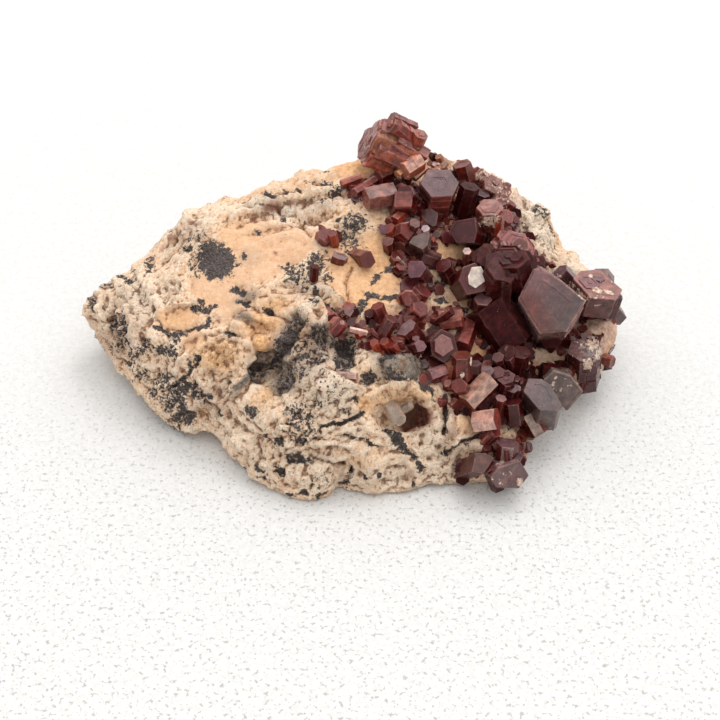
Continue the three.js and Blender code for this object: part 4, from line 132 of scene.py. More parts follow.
    ('tab_front', (34.7, 26.04, 12.35), -99.7, 91.4, 6.99, [(-1.45, -1.12), (0.25, -1.81), (1.69, -0.69), (1.45, 1.12), (-0.25, 1.81), (-1.69, 0.69)], 0, 'grey'),
    ('dusted', (31.99, 19.45, 10.4), -133.5, 8.8, 6.94, [(1.84, -1.47), (2.09, 1), (0.2, 2.52), (-2.16, 1.57), (-1.6, -1.32), (-0.37, -2.3)], 0, 'dust'),
    ('dusted_side', (30.53, 19.04, 8.37), -128.6, 92.2, 6.75, [(-1.29, -0.27), (-0.41, -1.26), (0.88, -0.98), (1.29, 0.27), (0.41, 1.26), (-0.88, 0.98)], 0, 'deep'),
    ('tip_red', (37.44, 20.5, 6.72), -36.1, 80.6, 4.73, [(-0, -0.96), (0.83, -0.48), (0.83, 0.47), (0, 0.96), (-0.83, 0.48), (-0.83, -0.47)], 0, 'glow'),
    ('twin_a', (25.5, 9.38, 11.1), -89.2, 21.6, 10.39, [(2.42, -0.63), (2.52, 1.79), (1.79, 2.44), (-1.5, 0.97), (-2.32, -0.05), (-2.42, -1.86), (-0.49, -2.66)], 0, 'grey'),
    ('twin_b', (28.66, 12.58, 9.12), -89.8, 60.9, 7.53, [(2.22, -0.16), (3.05, 0.55), (0.41, 2.74), (-1.82, 0.97), (-2.59, -1.38), (-1.27, -2.72)], 0, 'dust'),
    ('twin_back', (25.91, 16.28, 9.32), -174.5, 75.7, 2.61, [(-1.03, 0.4), (-0.86, -0.69), (0.17, -1.09), (1.03, -0.4), (0.86, 0.69), (-0.17, 1.09)], 0, 'red'),
    # bar_bright: its pale colour stands for a bright glint on a thin lath, a painted highlight
    ('bar_bright', (21.64, 15.3, 10.45), -164.7, 97, 2.72, [(-0.29, 0.08), (-0.21, -0.21), (0.08, -0.29), (0.29, -0.08), (0.21, 0.21), (-0.08, 0.29)], 0, 'pale'),
    ('knob_a', (20.81, 15.54, 13.22), -154, 26.5, 6.81, [(-0.69, 1.16), (-1.35, -0.02), (-0.66, -1.18), (0.69, -1.16), (1.35, 0.02), (0.66, 1.18)], 0, 'dark'),
    ('knob_b', (22.85, 15.63, 13.13), -35.1, 8.8, 7.05, [(1.07, -0.83), (1.26, 0.51), (0.19, 1.34), (-1.07, 0.83), (-1.26, -0.51), (-0.19, -1.34)], 0, 'dark'),
    ('knob_c', (19.67, 14.62, 13.12), -135.5, 20.8, 5.94, [(0.06, 0.88), (-0.73, 0.49), (-0.79, -0.38), (-0.06, -0.88), (0.73, -0.49), (0.79, 0.38)], 0, 'dark'),
    ('red_cluster_a', (20.62, 11.86, 11.96), -136.1, 14.7, 6.72, [(0, 1.27), (-1.1, 0.64), (-1.1, -0.64), (-0, -1.27), (1.1, -0.64), (1.1, 0.64)], 0, 'red'),
    ('red_cluster_b', (21.46, 11.24, 10.71), -31.2, 14.3, 6.13, [(0.77, -0.75), (1.04, 0.29), (0.27, 1.04), (-0.77, 0.75), (-1.04, -0.29), (-0.27, -1.04)], 0, 'glow'),
    ('red_cluster_c', (19.47, 12.73, 12.08), -138, 15.8, 5.54, [(0.02, 1.08), (-0.92, 0.56), (-0.94, -0.52), (-0.02, -1.08), (0.92, -0.56), (0.94, 0.52)], 0, 'dark'),
    ('dark_vertical', (21.45, 9.88, 9.41), 118.3, 16.9, 3.3, [(-1.41, -0.11), (-0.6, -1.27), (0.8, -1.16), (1.41, 0.11), (0.6, 1.27), (-0.8, 1.16)], 0, 'dark'),
    ('low_prism_a', (23.77, 11.46, 5.83), 136.2, 45.2, 3.29, [(-1.33, 0.32), (-0.94, -0.99), (0.39, -1.31), (1.33, -0.32), (0.94, 0.99), (-0.39, 1.31)], 0, 'red'),
    ('low_prism_b', (19.26, 6.35, 9.4), -14.1, 67.9, 3.17, [(0.52, -1.53), (1.58, -0.32), (1.07, 1.21), (-0.52, 1.53), (-1.58, 0.32), (-1.07, -1.21)], 0, 'red'),
    ('low_prism_b2', (18.99, 5.81, 7.72), -14.4, 30, 5.59, [(0.28, -1.03), (1.03, -0.27), (0.75, 0.75), (-0.28, 1.03), (-1.03, 0.27), (-0.75, -0.75)], 0, 'dark'),
    ('plate_tri', (19.89, 9.47, 10.33), 7.2, 7.4, 6.55, [(0.14, -0.79), (0.75, -0.28), (0.62, 0.51), (-0.14, 0.79), (-0.75, 0.28), (-0.62, -0.51)], 0, 'pale'),
    ('long_lath', (15.16, 8.35, 10.09), -135.7, 109.1, 4.86, [(-1.54, 0.51), (-1.21, -1.08), (0.33, -1.59), (1.54, -0.51), (1.21, 1.08), (-0.33, 1.59)], 0, 'red'),
    ('dark_hex', (14.09, 9.2, 12.77), -126.3, 36.8, 5.39, [(1.02, 0.17), (0.26, 1.18), (-0.7, 0.96), (-1.08, -0.37), (-0.2, -1.15), (0.7, -0.8)], 0, 'dark'),
    ('pink_hex_s', (12.65, 10.05, 12.44), -135.3, 32.7, 3.99, [(0.58, 0.06), (0.23, 0.5), (-0.35, 0.49), (-0.6, -0.07), (-0.21, -0.58), (0.35, -0.4)], 0, 'pink'),
    ('prism_w', (10.22, 10.75, 13.12), -150, 87.7, 2.6, [(-0.83, 0.37), (-0.73, -0.53), (0.09, -0.9), (0.83, -0.37), (0.73, 0.53), (-0.09, 0.9)], 0, 'red'),
    ('hex_four', (12.08, 12.84, 16.79), -73.6, 43.3, 6.54, [(0.6, -1.29), (1.52, -0.37), (0.8, 1.26), (-0.63, 1.23), (-1.45, 0.15), (-0.84, -0.97)], 0, 'lilac'),
    ('hex_four_body', (12.14, 13.48, 16.15), -72.4, 45.9, 5.66, [(0.95, -1.82), (2.35, -0.29), (1.01, 1.85), (-1.19, 1.78), (-2.19, 0.16), (-0.93, -1.68)], 0, 'red'),
    ('dark_block', (14.67, 15.31, 13.95), -104.2, 86.6, 5.6, [(-1.34, -0.45), (-0.28, -1.39), (1.06, -0.94), (1.34, 0.45), (0.28, 1.39), (-1.06, 0.94)], 0, 'dark'),
    ('vert_prism', (14.58, 12.13, 15.63), 97.8, 13, 3.56, [(-1.33, -0.41), (-0.31, -1.36), (1.02, -0.95), (1.33, 0.41), (0.31, 1.36), (-1.02, 0.95)], 0, 'red'),
    ('vert_prism_r', (16.41, 12.5, 13.89), 103.7, 9.4, 2.61, [(-0.85, -0.19), (-0.26, -0.83), (0.59, -0.64), (0.85, 0.19), (0.26, 0.83), (-0.59, 0.64)], 0, 'red'),
    ('red_right', (18.07, 12.39, 12.74), -83, 4.9, 5.61, [(0.92, 0.4), (0.11, 1), (-0.81, 0.6), (-0.92, -0.4), (-0.11, -1), (0.81, -0.6)], 0, 'red'),
    ('tan_ridge_xl', (13.17, 12.1, 14.24), 25.4, 2, 5.17, [(-0.02, -0.8), (0.68, -0.42), (0.7, 0.38), (0.02, 0.8), (-0.68, 0.42), (-0.7, -0.38)], 0, 'tan'),
    ('mauve_hex', (7.26, 14.35, 18.55), -139.8, 29.6, 6.47, [(1.04, 0.65), (-0.31, 0.91), (-1.21, 0.51), (-1.15, -0.53), (0.03, -0.95), (1.59, -0.6)], 0, 'red'),
    ('pink_hex', (9.13, 12.16, 17.2), -55.7, 47.6, 6.02, [(0.57, -0.8), (0.77, 0.09), (0.39, 0.75), (-0.37, 0.62), (-0.8, 0.09), (-0.56, -0.76)], 0, 'pink'),
    ('small_57', (8.48, 13.83, 17.14), -38.2, 22.7, 5.29, [(0.39, -0.4), (0.54, 0.14), (0.15, 0.54), (-0.39, 0.4), (-0.54, -0.14), (-0.15, -0.54)], 0, 'red'),
    ('prism_59', (5.27, 14.85, 19.66), 18.2, 24.6, 3.01, [(-0.14, -0.94), (0.74, -0.59), (0.89, 0.35), (0.14, 0.94), (-0.74, 0.59), (-0.89, -0.35)], 0, 'red'),
    ('prism_60', (3.31, 17.11, 20.04), 156.2, 22, 2.77, [(-0.89, 0.36), (-0.76, -0.59), (0.13, -0.95), (0.89, -0.36), (0.76, 0.59), (-0.13, 0.95)], 0, 'red'),
    ('lath_61', (2.5, 14.36, 17.91), 171.2, 45.1, 1.92, [(-0.31, 0.15), (-0.28, -0.2), (0.03, -0.34), (0.31, -0.15), (0.28, 0.2), (-0.03, 0.34)], 0, 'red'),
    ('red_62', (2.89, 12.63, 17.46), -149.9, 20.7, 4.4, [(-0.28, 0.57), (-0.63, 0.04), (-0.35, -0.53), (0.28, -0.57), (0.63, -0.04), (0.35, 0.53)], 0, 'glow'),
    ('orange_62b', (4.22, 13.13, 17.21), -152.1, 25.6, 4.24, [(-0.38, 0.58), (-0.69, -0.04), (-0.31, -0.62), (0.38, -0.58), (0.69, 0.04), (0.31, 0.62)], 0, 'glow'),
    ('plates_56', (6.08, 13.42, 17.49), 167.4, 0.9, 5.25, [(-0.65, 0.73), (-0.96, -0.2), (-0.31, -0.93), (0.65, -0.73), (0.96, 0.2), (0.31, 0.93)], 0, 'red'),
    ('red_56c', (5.28, 12.88, 17.08), -162.2, 37, 5.09, [(-0.63, 0.48), (-0.73, -0.31), (-0.1, -0.79), (0.63, -0.48), (0.73, 0.31), (0.1, 0.79)], 0, 'glow'),
    ('west_hex', (-0.44, 15.88, 20.19), -46.7, 39.4, 4.77, [(0.15, -0.8), (0.83, -0.39), (0.42, 0.64), (-0.17, 0.88), (-0.74, 0.21), (-0.49, -0.52)], 0, 'red'),
    ('west_lower', (-1.21, 14.43, 19.24), 3.5, 35.2, 2.02, [(0.04, -0.86), (0.76, -0.4), (0.72, 0.46), (-0.04, 0.86), (-0.76, 0.4), (-0.72, -0.46)], 0, 'red'),
    ('blade', (-0.42, 14.3, 18.22), -175.3, 69.6, 2.53, [(-0.38, 0.24), (-0.4, -0.21), (-0.02, -0.45), (0.38, -0.24), (0.4, 0.21), (0.02, 0.45)], 0, 'pale'),
    ('west_under', (0.64, 14.06, 17.29), -142.8, 86.4, 1.57, [(-0.6, 0.05), (-0.34, -0.49), (0.25, -0.54), (0.6, -0.05), (0.34, 0.49), (-0.25, 0.54)], 0, 'glow'),
    ('flake', (0.65, 8.54, 14.91), -15.8, 80.8, 2.61, [(-0.11, -0.59), (0.46, -0.4), (0.57, 0.2), (0.11, 0.59), (-0.46, 0.4), (-0.57, -0.2)], 0, 'pink'),
    ('waist', (17.28, 1.71, 5.82), -52.3, 40.9, 5.92, [(0.31, -2.15), (1.26, -0.81), (0.9, 0.29), (0.11, 1.89), (-0.96, 1.06), (-1.61, -0.29)], 0, 'red'),
    ('foot_column', (20.63, 4.03, 7.23), 83.3, 15.8, 3.86, [(-1.33, -0.75), (-0.02, -1.52), (1.31, -0.78), (1.33, 0.75), (0.02, 1.52), (-1.31, 0.78)], 0, 'red'),
    ('foot_main', (20.59, 0.09, 4.94), -80.1, 62, 7.26, [(1.3, -1.81), (1.84, 1.28), (0.22, 2.72), (-1.92, 1.62), (-1.34, -1.4), (-0.09, -2.41)], 0, 'red'),
    ('foot_left', (18.1, 1.92, 5.04), -173, 19.1, 6.42, [(-0.62, 0.86), (-1.05, -0.11), (-0.43, -0.97), (0.62, -0.86), (1.05, 0.11), (0.43, 0.97)], 0, 'dark'),
    ('foot_back', (21.46, 3.37, 5.84), -22.3, 14.9, 7.06, [(1.01, -0.86), (1.25, 0.44), (0.24, 1.3), (-1.01, 0.86), (-1.25, -0.44), (-0.24, -1.3)], 0, 'red'),
    ('loose_a', (-3.79, 28.35, 23.38), -68.7, 27.7, 3.44, [(1.21, -0.23), (1.04, 0.99), (-0.82, 1.18), (-0.94, 0.05), (-0.74, -1.05), (0.24, -0.93)], 0, 'red'),
    ('loose_b', (-1.62, 25.19, 22.15), -49.8, 16.3, 3.08, [(-0.62, -1.01), (0.22, -0.62), (0.92, 0.06), (0.72, 0.93), (-0.05, 0.84), (-1.18, -0.21)], 0, 'red'),
    ('loose_c', (-2.79, 27.75, 24.17), -121.7, 14.5, 4.42, [(0.22, 0.65), (-0.45, 0.52), (-0.67, -0.13), (-0.22, -0.65), (0.45, -0.52), (0.67, 0.13)], 0, 'glow'),
    ('loose_d', (-5.04, 22.73, 22.34), 36.1, 6, 2.36, [(-0.08, -0.59), (0.47, -0.36), (0.55, 0.23), (0.08, 0.59), (-0.47, 0.36), (-0.55, -0.23)], 0, 'dark'),
    ('pocket_clear', (6.27, 4.22, 11.04), -66.9, 91.4, 5.84, [(-0.5, -0.86), (0.49, -0.86), (0.99, -0), (0.5, 0.86), (-0.49, 0.86), (-0.99, 0)], 0, 'clear'),
    ('pocket_clear_small', (7.78, 7.08, 11.25), -15, 47.6, 1.84, [(0.01, -0.61), (0.53, -0.29), (0.52, 0.32), (-0.01, 0.61), (-0.53, 0.29), (-0.52, -0.32)], 0, 'clear'),
]
# which CAD node each crystal group stands for
GROUPS = {
    'pink_flake_crystal': 'flake',
    'west_small_prism': 'west_lower',
    'small_red_crystal': 'red_62',
    'pale_blade_crystal': 'blade west_under',
    'main_crystal_wall': 'pink_prism pink_low hex_two barrel_core barrel_left barrel_top barrel_plate barrel_facet barrel_back barrel_edge white_cap white_cap_body lilac_plate brown_small wedge_pale dark_tab_b great big_dark under_dark under_strip tabular tab_grey tab_mid tab_low tab_front dusted dusted_side twin_b twin_back bar_bright knob_a knob_b knob_c red_cluster_a red_cluster_b red_cluster_c dark_vertical low_prism_b low_prism_b2 plate_tri long_lath dark_hex pink_hex_s prism_w hex_four hex_four_body dark_block vert_prism vert_prism_r red_right tan_ridge_xl mauve_hex pink_hex small_57 prism_59 lath_61 orange_62b plates_56 red_56c',
    'foot_crystal_group': 'waist foot_column foot_main foot_left foot_back',
    'rounded_red_crystals': 'round_red round_red_b glow_low',
    'dark_lath_crystals': 'lath_dark_a lath_dark_b lath_dark_c',
    'west_hexagonal_prism': 'west_hex',
    'dark_needle_crystal': 'loose_d',
    'glinting_prism_pair': 'prism_60',
    'leaning_prism': 'leaning',
    'flat_loose_crystal': 'loose_b',
    'loose_crystal_pair': 'loose_a loose_c',
    'lone_block_crystal': 'block_west',
    'small_upright_prism': 'small_c',
    'summit_crystal_group': 'summit_main summit_cap summit_top summit_block summit_plate summit_plate2 summit_right summit_left summit_low summit_band tan_prism tan_small tan_sliver small_left_1 behind_1 behind_2 box_prism right_of_box small_between bevel_prism red_glow rounded_xl facet_xl small_hex_a small_b small_d small_e hex_one',
    'flat_red_prism': 'flat_red_1',
    'pale_lath_crystal': 'lath_pale',
    'grey_hexagonal_prism': 'grey_hex dark_tab_a',
    'small_pale_prism': 'white_rect',
    'pale_square_prism': 'pale_square pale_square_body',
    'dark_upright_prism': 'dark_right',
    'rear_stepped_crystals': 'mauve_slope back_top back_tan step_a step_b step_c',
    'lower_twin_crystals': 'twin_a low_prism_a',
    'red_tip_crystal': 'tip_red',
    'pocket_clear_crystal': 'pocket_clear',
    'pocket_clear_crystal_2': 'pocket_clear_small',
}

# ------------------------------------------------------------------ small tools
def proj(p):
    q = p - VIEW_FROM
    d = q @ FW
    return 360 + FPX * (q @ RT) / d, 360 - FPX * (q @ UP) / d, d


def bilin(T, y, x):
    h, w = T.shape
    y = np.clip(y, 0, h - 1.001); x = np.clip(x, 0, w - 1.001)
    i = y.astype(np.int32); j = x.astype(np.int32)
    fy = y - i; fx = x - j
    return (T[i, j] * (1 - fy) * (1 - fx) + T[i + 1, j] * fy * (1 - fx)
            + T[i, j + 1] * (1 - fy) * fx + T[i + 1, j + 1] * fy * fx)


def hash3(i, j, k, seed):
    h = (i.astype(np.int64) * 374761393 + j.astype(np.int64) * 668265263 + k.astype(np.int64) * 2147483647 + seed * 1274126177) & 0xFFFFFFFF
    h = ((h ^ (h >> 13)) * 1274126177) & 0xFFFFFFFF
    h = ((h ^ (h >> 16)) * 2246822519) & 0xFFFFFFFF
    return (h ^ (h >> 15)) & 0xFFFFFFFF


def vnoise(p, seed=0):
    """Smooth noise in -1..1 at points p (already scaled)."""
    f = np.floor(p); t = p - f; f = f.astype(np.int64)
    t = t * t * t * (t * (t * 6 - 15) + 10)
    out = np.zeros(len(p))
    for a in (0, 1):
        wa = t[:, 0] if a else 1 - t[:, 0]
        for b in (0, 1):
            wb = t[:, 1] if b else 1 - t[:, 1]
            for c in (0, 1):
                wc = t[:, 2] if c else 1 - t[:, 2]
                h = hash3(f[:, 0] + a, f[:, 1] + b, f[:, 2] + c, seed)
                out += wa * wb * wc * (h / 2147483648.0 - 1.0)
    return out


def fbm(p, octaves=4, seed=0, gain=0.5, lac=2.03):
    o = np.zeros(len(p)); a = 1.0; n = 0.0; q = p.copy()
    for k in range(octaves):
        o += a * vnoise(q + 17.3 * k, seed + k); n += a; a *= gain; q = q * lac
    return o / n


def worley(p, seed=0):
    """Distance to the nearest and second nearest scattered point."""
    f = np.floor(p).astype(np.int64); d1 = np.full(len(p), 9.0); d2 = d1.copy(); who = np.zeros(len(p))
    for a in (-1, 0, 1):
        for b in (-1, 0, 1):
            for c in (-1, 0, 1):
                ci = f[:, 0] + a; cj = f[:, 1] + b; ck = f[:, 2] + c
                h = hash3(ci, cj, ck, seed)
                ox = (h & 1023) / 1024.0; oy = ((h >> 10) & 1023) / 1024.0; oz = ((h >> 20) & 1023) / 1024.0
                d = np.sqrt((ci + ox - p[:, 0]) ** 2 + (cj + oy - p[:, 1]) ** 2 + (ck + oz - p[:, 2]) ** 2)
                nw = d < d1
                d2 = np.where(nw, d1, np.minimum(d2, d)); who = np.where(nw, (h & 4095) / 4096.0, who)
                d1 = np.minimum(d1, d)
    return d1, d2, who


def smax(a, b, k):
    h = np.clip(0.5 + 0.5 * (a - b) / k, 0, 1)
    return b + (a - b) * h + k * h * (1 - h)


def sstep(a, b, x):
    t = np.clip((x - a) / (b - a), 0, 1)
    return t * t * (3 - 2 * t)


def poly_sd(P, u, v):
    """Signed distance to a closed polygon, negative inside."""
    P = np.array(P, float); n = len(P); d = np.full(u.shape, 1e9); ins = np.zeros(u.shape, bool)
    for i in range(n):
        a = P[i]; b = P[(i + 1) % n]; ab = b - a
        t = np.clip(((u - a[0]) * ab[0] + (v - a[1]) * ab[1]) / (ab @ ab), 0, 1)
        d = np.minimum(d, np.hypot(u - a[0] - t * ab[0], v - a[1] - t * ab[1]))
        cond = (a[1] > v) != (b[1] > v)
        with np.errstate(divide="ignore", invalid="ignore"):
            xi = (b[0] - a[0]) * (v - a[1]) / (b[1] - a[1] if b[1] != a[1] else 1e-9) + a[0]
        ins ^= cond & (u < xi)
    return np.where(ins, -d, d)


# ------------------------------------------------------------------ broad form of the block
def thin_plate(pts, val, smooth):
    n = len(pts)
    r = np.hypot(pts[:, None, 0] - pts[None, :, 0], pts[:, None, 1] - pts[None, :, 1])
    K = np.where(r > 0, r * r * np.log(np.maximum(r, 1e-12)), 0) + smooth * np.eye(n)
    Q = np.c_[np.ones(n), pts]
    A = np.zeros((n + 3, n + 3)); A[:n, :n] = K; A[:n, n:] = Q; A[n:, :n] = Q.T
    w = np.linalg.solve(A, np.r_[val, 0, 0, 0])

    def f(x):
        r = np.hypot(x[:, None, 0] - pts[None, :, 0], x[:, None, 1] - pts[None, :, 1])
        return np.where(r > 0, r * r * np.log(np.maximum(r, 1e-12)), 0) @ w[:n] + w[n] + x @ w[n + 1:]
    return f


HC = np.array(HEIGHTS, float)
_tp = thin_plate(HC[:, :2] / 100, HC[:, 2], 0.004)
_gu = np.arange(60, 661, 4.0); _gv = np.arange(90, 541, 4.0)
_GU, _GV = np.meshgrid(_gu, _gv)
_ZT = _tp(np.stack([_GU.ravel(), _GV.ravel()], 1) / 100).reshape(_GU.shape)


def ray(u, v):
    return FW + RT * ((u - 360) / FPX)[..., None] + UP * ((360 - v) / FPX)[..., None]


_R = ray(_GU, _GV); _T = (_ZT - VIEW_FROM[2]) / _R[..., 2]
DEPTH = ((VIEW_FROM + _R * _T[..., None]) - VIEW_FROM) @ FW
_su = np.arange(40, 681, 2.0); _sv = np.arange(80, 561, 2.0)
_SU, _SV = np.meshgrid(_su, _sv)
SDT = poly_sd(OUTLINE, _SU, _SV)


def depth_top(u, v):
    return bilin(DEPTH, (v - 90) / 4, (u - 60) / 4)


def blobs(u, v, L, sharp=3):
    o = np.zeros(u.shape)
    for (a, b, ru, rv, rot, h) in L:
        c, s = math.cos(math.radians(rot)), math.sin(math.radians(rot))
        x = ((u - a) * c + (v - b) * s) / ru; y = (-(u - a) * s + (v - b) * c) / rv
        o += h * np.clip(1 - (x * x + y * y) * 0.55, 0, 1) ** sharp
    return o


def block_f(p):
    u, v, d = proj(p)
    s = bilin(SDT, (v - 80) / 2, (u - 40) / 2) * d / FPX - 0.45
    x, y, z = p[..., 0], p[..., 1], p[..., 2]
    top = (depth_top(u, v) - blobs(u, v, LUMPS) - d) * 0.75
    bd = np.maximum(poly_sd(BASE, x, y), 0)
    bot = (0.52 * bd * bd / (bd + 2.0) - z) * 0.8
    yb = 49.3 - np.where(x > -4, 0.0045, 0.0150) * (x + 4) ** 2 - 0.10 * (z - 11)
    yb2 = 50.0 + 0.32 * x - 0.22 * (z - 6)
    yb3 = 65.5 - 0.80 * x - 0.10 * (z - 8)
    lump = 0.9 * np.sin(x * 0.21 + 1.1) * np.sin(z * 0.33 + 0.4) + 0.6 * np.sin(x * 0.47 + z * 0.29 + 2.0)
    back = smax(smax((y - yb) * 0.95, (y - yb2) * 0.93, 2.0), (y - yb3) * 0.85, 2.5) + 0.8 * lump - 0.3
    return smax(smax(top, s, 1.5), smax(bot, back, 2.0), 1.2)


def surface_nets(f, org, h):
    s = f < 0
    nx, ny, nz = f.shape
    c = s[:-1, :-1, :-1].astype(np.int8)
    tot = np.zeros((nx - 1, ny - 1, nz - 1), np.int8)
    for a in (0, 1):
        for b in (0, 1):
            for g in (0, 1):
                tot += s[a:nx - 1 + a, b:ny - 1 + b, g:nz - 1 + g]
    act = np.argwhere((tot > 0) & (tot < 8))
    idx = np.full(tot.shape, -1, np.int32); idx[tuple(act.T)] = np.arange(len(act))
    I, J, K = act.T
    val = {(a, b, g): f[I + a, J + b, K + g] for a in (0, 1) for b in (0, 1) for g in (0, 1)}
    acc = np.zeros((len(act), 3)); cnt = np.zeros(len(act))
    for ax in range(3):
        o = [k for k in range(3) if k != ax]
        for m in (0, 1):
            for n in (0, 1):
                a = [0, 0, 0]; a[o[0]] = m; a[o[1]] = n; b = list(a); b[ax] = 1
                fa, fb = val[tuple(a)], val[tuple(b)]
                cr = (fa < 0) != (fb < 0)
                t = np.where(cr, fa / np.where(cr, fa - fb, 1), 0)
                q = np.zeros((len(act), 3)); q[:, o[0]] = m; q[:, o[1]] = n; q[:, ax] = t
                acc += q * cr[:, None]; cnt += cr
    V = org + (act + acc / cnt[:, None]) * h
    quads = []
    for ax in range(3):
        sl0 = [slice(None)] * 3; sl1 = [slice(None)] * 3
        sl0[ax] = slice(0, -1); sl1[ax] = slice(1, None)
        d = s[tuple(sl0)] != s[tuple(sl1)]
        e = np.argwhere(d)
        o = [k for k in range(3) if k != ax]
        ok = (e[:, o[0]] > 0) & (e[:, o[1]] > 0) & (e[:, o[0]] < f.shape[o[0]] - 1) & (e[:, o[1]] < f.shape[o[1]] - 1)
        e = e[ok]; inside = s[tuple(e.T)]
        cs = []
        for (m, n) in ((1, 1), (0, 1), (0, 0), (1, 0)):
            q = e.copy(); q[:, o[0]] -= m; q[:, o[1]] -= n
            cs.append(idx[tuple(q.T)])
        q = np.stack(cs, 1)
        flip = inside if ax != 1 else ~inside
        q = np.where(flip[:, None], q, q[:, ::-1])
        quads.append(q)
    return V, np.concatenate(quads)


def mesh_from(name, V, Fc, smooth=False):
    me = bpy.data.meshes.new(name)
    nv, nf = len(V), len(Fc); k = Fc.shape[1]
    me.vertices.add(nv); me.vertices.foreach_set("co", np.ascontiguousarray(V, np.float32).ravel())
    me.loops.add(nf * k); me.loops.foreach_set("vertex_index", np.ascontiguousarray(Fc, np.int32).ravel())
    me.polygons.add(nf)
    me.polygons.foreach_set("loop_start", np.arange(0, nf * k, k, dtype=np.int32))
    me.polygons.foreach_set("use_smooth", np.full(nf, smooth))
    me.update(calc_edges=True); me.validate()
    ob = bpy.data.objects.new(name, me); bpy.context.scene.collection.objects.link(ob)
    return ob


def vert_normals(V, Fc):
    a = V[Fc[:, 2]] - V[Fc[:, 0]]; b = V[Fc[:, 3]] - V[Fc[:, 1]]
    n = np.cross(a, b)
    N = np.zeros_like(V)
    for k in range(4):
        np.add.at(N, Fc[:, k], n)
    return N / (np.linalg.norm(N, axis=1, keepdims=True) + 1e-12)


def put_attr(me, name, val, kind="FLOAT", domain="POINT"):
    a = me.attributes.new(name, kind, domain)
    if kind == "FLOAT":
        a.data.foreach_set("value", np.ascontiguousarray(val, np.float32).ravel())
    elif kind == "FLOAT_VECTOR":
        a.data.foreach_set("vector", np.ascontiguousarray(val, np.float32).ravel())
    else:
        v = np.ones((len(val), 4), np.float32); v[:, :3] = val
        a.data.foreach_set("color", v.ravel())
    return a


# ------------------------------------------------------------------ the block itself
STEP = 0.30
HN = 2 * STEP
X0 = np.array([-39.9, -1.8, -1.2]); NX = np.array([80.4, 54.6, 29.4])
cx, cy, cz = [np.arange(X0[k], X0[k] + NX[k], HN) for k in range(3)]
P = np.stack(np.meshgrid(cx, cy, cz, indexing="ij"), -1)
fc = block_f(P)


def upsample(f):
    for ax in range(3):
        a = np.moveaxis(f, ax, 0)
        m = (a[:-1] + a[1:]) / 2
        o = np.empty((2 * a.shape[0] - 1,) + a.shape[1:])
        o[0::2] = a; o[1::2] = m
        f = np.moveaxis(o, 0, ax)
    return f


ff = upsample(fc)
V, Q = surface_nets(ff, X0, STEP)
N = vert_normals(V, Q)
if (N * (V - V.mean(0))).sum() < 0:
    Q = Q[:, ::-1]; N = -N
print("block verts", len(V), "tris", 2 * len(Q))


def view_uv(V):
    u, v, d = proj(V)
    return u, v, d


def spot(u, v, a, b, ru, rv=None, rot=0.0, soft=0.35):
    """1 inside an ellipse of the display view, 0 outside."""
    rv = ru if rv is None else rv
    c, s = math.cos(math.radians(rot)), math.sin(math.radians(rot))
    x = ((u - a) * c + (v - b) * s) / ru; y = (-(u - a) * s + (v - b) * c) / rv
    return 1 - sstep(1 - soft, 1 + soft, np.hypot(x, y))


def spots(u, v, L, soft=0.35):
    o = np.zeros(len(u))
    for e in L:
        k = 1.0 if len(e) < 6 else e[5]
        a, b, ru = e[:3]; rv = e[3] if len(e) > 3 else ru; rot = e[4] if len(e) > 4 else 0
        o = np.maximum(o, k * spot(u, v, a, b, ru, rv, rot, soft))
    return o


def lines(u, v, L, soft=1.0):
    """1 along polylines: (width, [(u, v), ...])."""
    o = np.zeros(len(u))
    for (w, P) in L:
        d = np.full(len(u), 1e9)
        for a, b in zip(P[:-1], P[1:]):
            a = np.array(a, float); b = np.array(b, float); ab = b - a
            t = np.clip(((u - a[0]) * ab[0] + (v - a[1]) * ab[1]) / (ab @ ab), 0, 1)
            d = np.minimum(d, np.hypot(u - a[0] - t * ab[0], v - a[1] - t * ab[1]))
        o = np.maximum(o, 1 - sstep(w * (1 - 0.5 * soft), w * (1 + 0.5 * soft), d))
    return o


DRUSE = [  # zone of the display view: place, half sizes, turn, share
    (440, 160, 11, 8, 0, 2.4),     (408, 200, 42, 18, 10, 1.0), (440, 222, 32, 16, 20, 1.2), (472, 205, 36, 26, 20, 1.3), (500, 225, 26, 26, 20, 1.2), (508, 262, 40, 36, 20, 1.3), (474, 296, 20, 12, 0, 0.9),
    (505, 335, 34, 40, 0, 1.3), (505, 375, 32, 28, 0, 1.5), (485, 400, 38, 24, 0, 1.3), (520, 402, 32, 28, 0, 1.3), (500, 440, 30, 22, 0, 0.8), (550, 335, 40, 16, 0, 1.1), (575, 305, 26, 22, 0, 1.0), (600, 318, 14, 12, 0, 0.8),
    (395, 335, 30, 20, 10, 1.2), (430, 352, 36, 20, 10, 1.3), (455, 374, 34, 16, 0, 1.3), (448, 318, 26, 10, 10, 0.9), (420, 292, 18, 20, 0, 0.8), (414, 245, 22, 28, 0, 1.1), (345, 322, 14, 14, 0, 0.9), (372, 190, 26, 13, 0, 1.1),
    (470, 470, 14, 10, 0, 0.7), (556, 384, 26, 14, 0, 0.8), (325, 236, 10, 10, 0, 0.35), (460, 262, 14, 8, 0, 0.35), (454, 395, 10, 20, 0, 0.8), (515, 460, 22, 16, 0, 0.9), (575, 345, 14, 20, 0, 0.6), (462, 180, 24, 14, 0, 0.8), (490, 188, 14, 10, 20, 0.5)]
CLEAR_OF = [(472, 340, 7, 26, -20), (452, 252, 17, 8, 0), (549, 358, 17, 7, 0), (600, 336, 13, 17, 0), (483, 436, 14, 10, 0), (458, 288, 8, 14, -10), (400, 368, 24, 16, 0), (436, 262, 6, 10, 0), (465, 424, 14, 12, 0), (508, 432, 10, 6, 0), (440, 300, 12, 8, 0), (388, 285, 20, 12, 0), (380, 215, 14, 10, 0), (540, 222, 17, 48, -28), (560, 275, 14, 10, 20)]
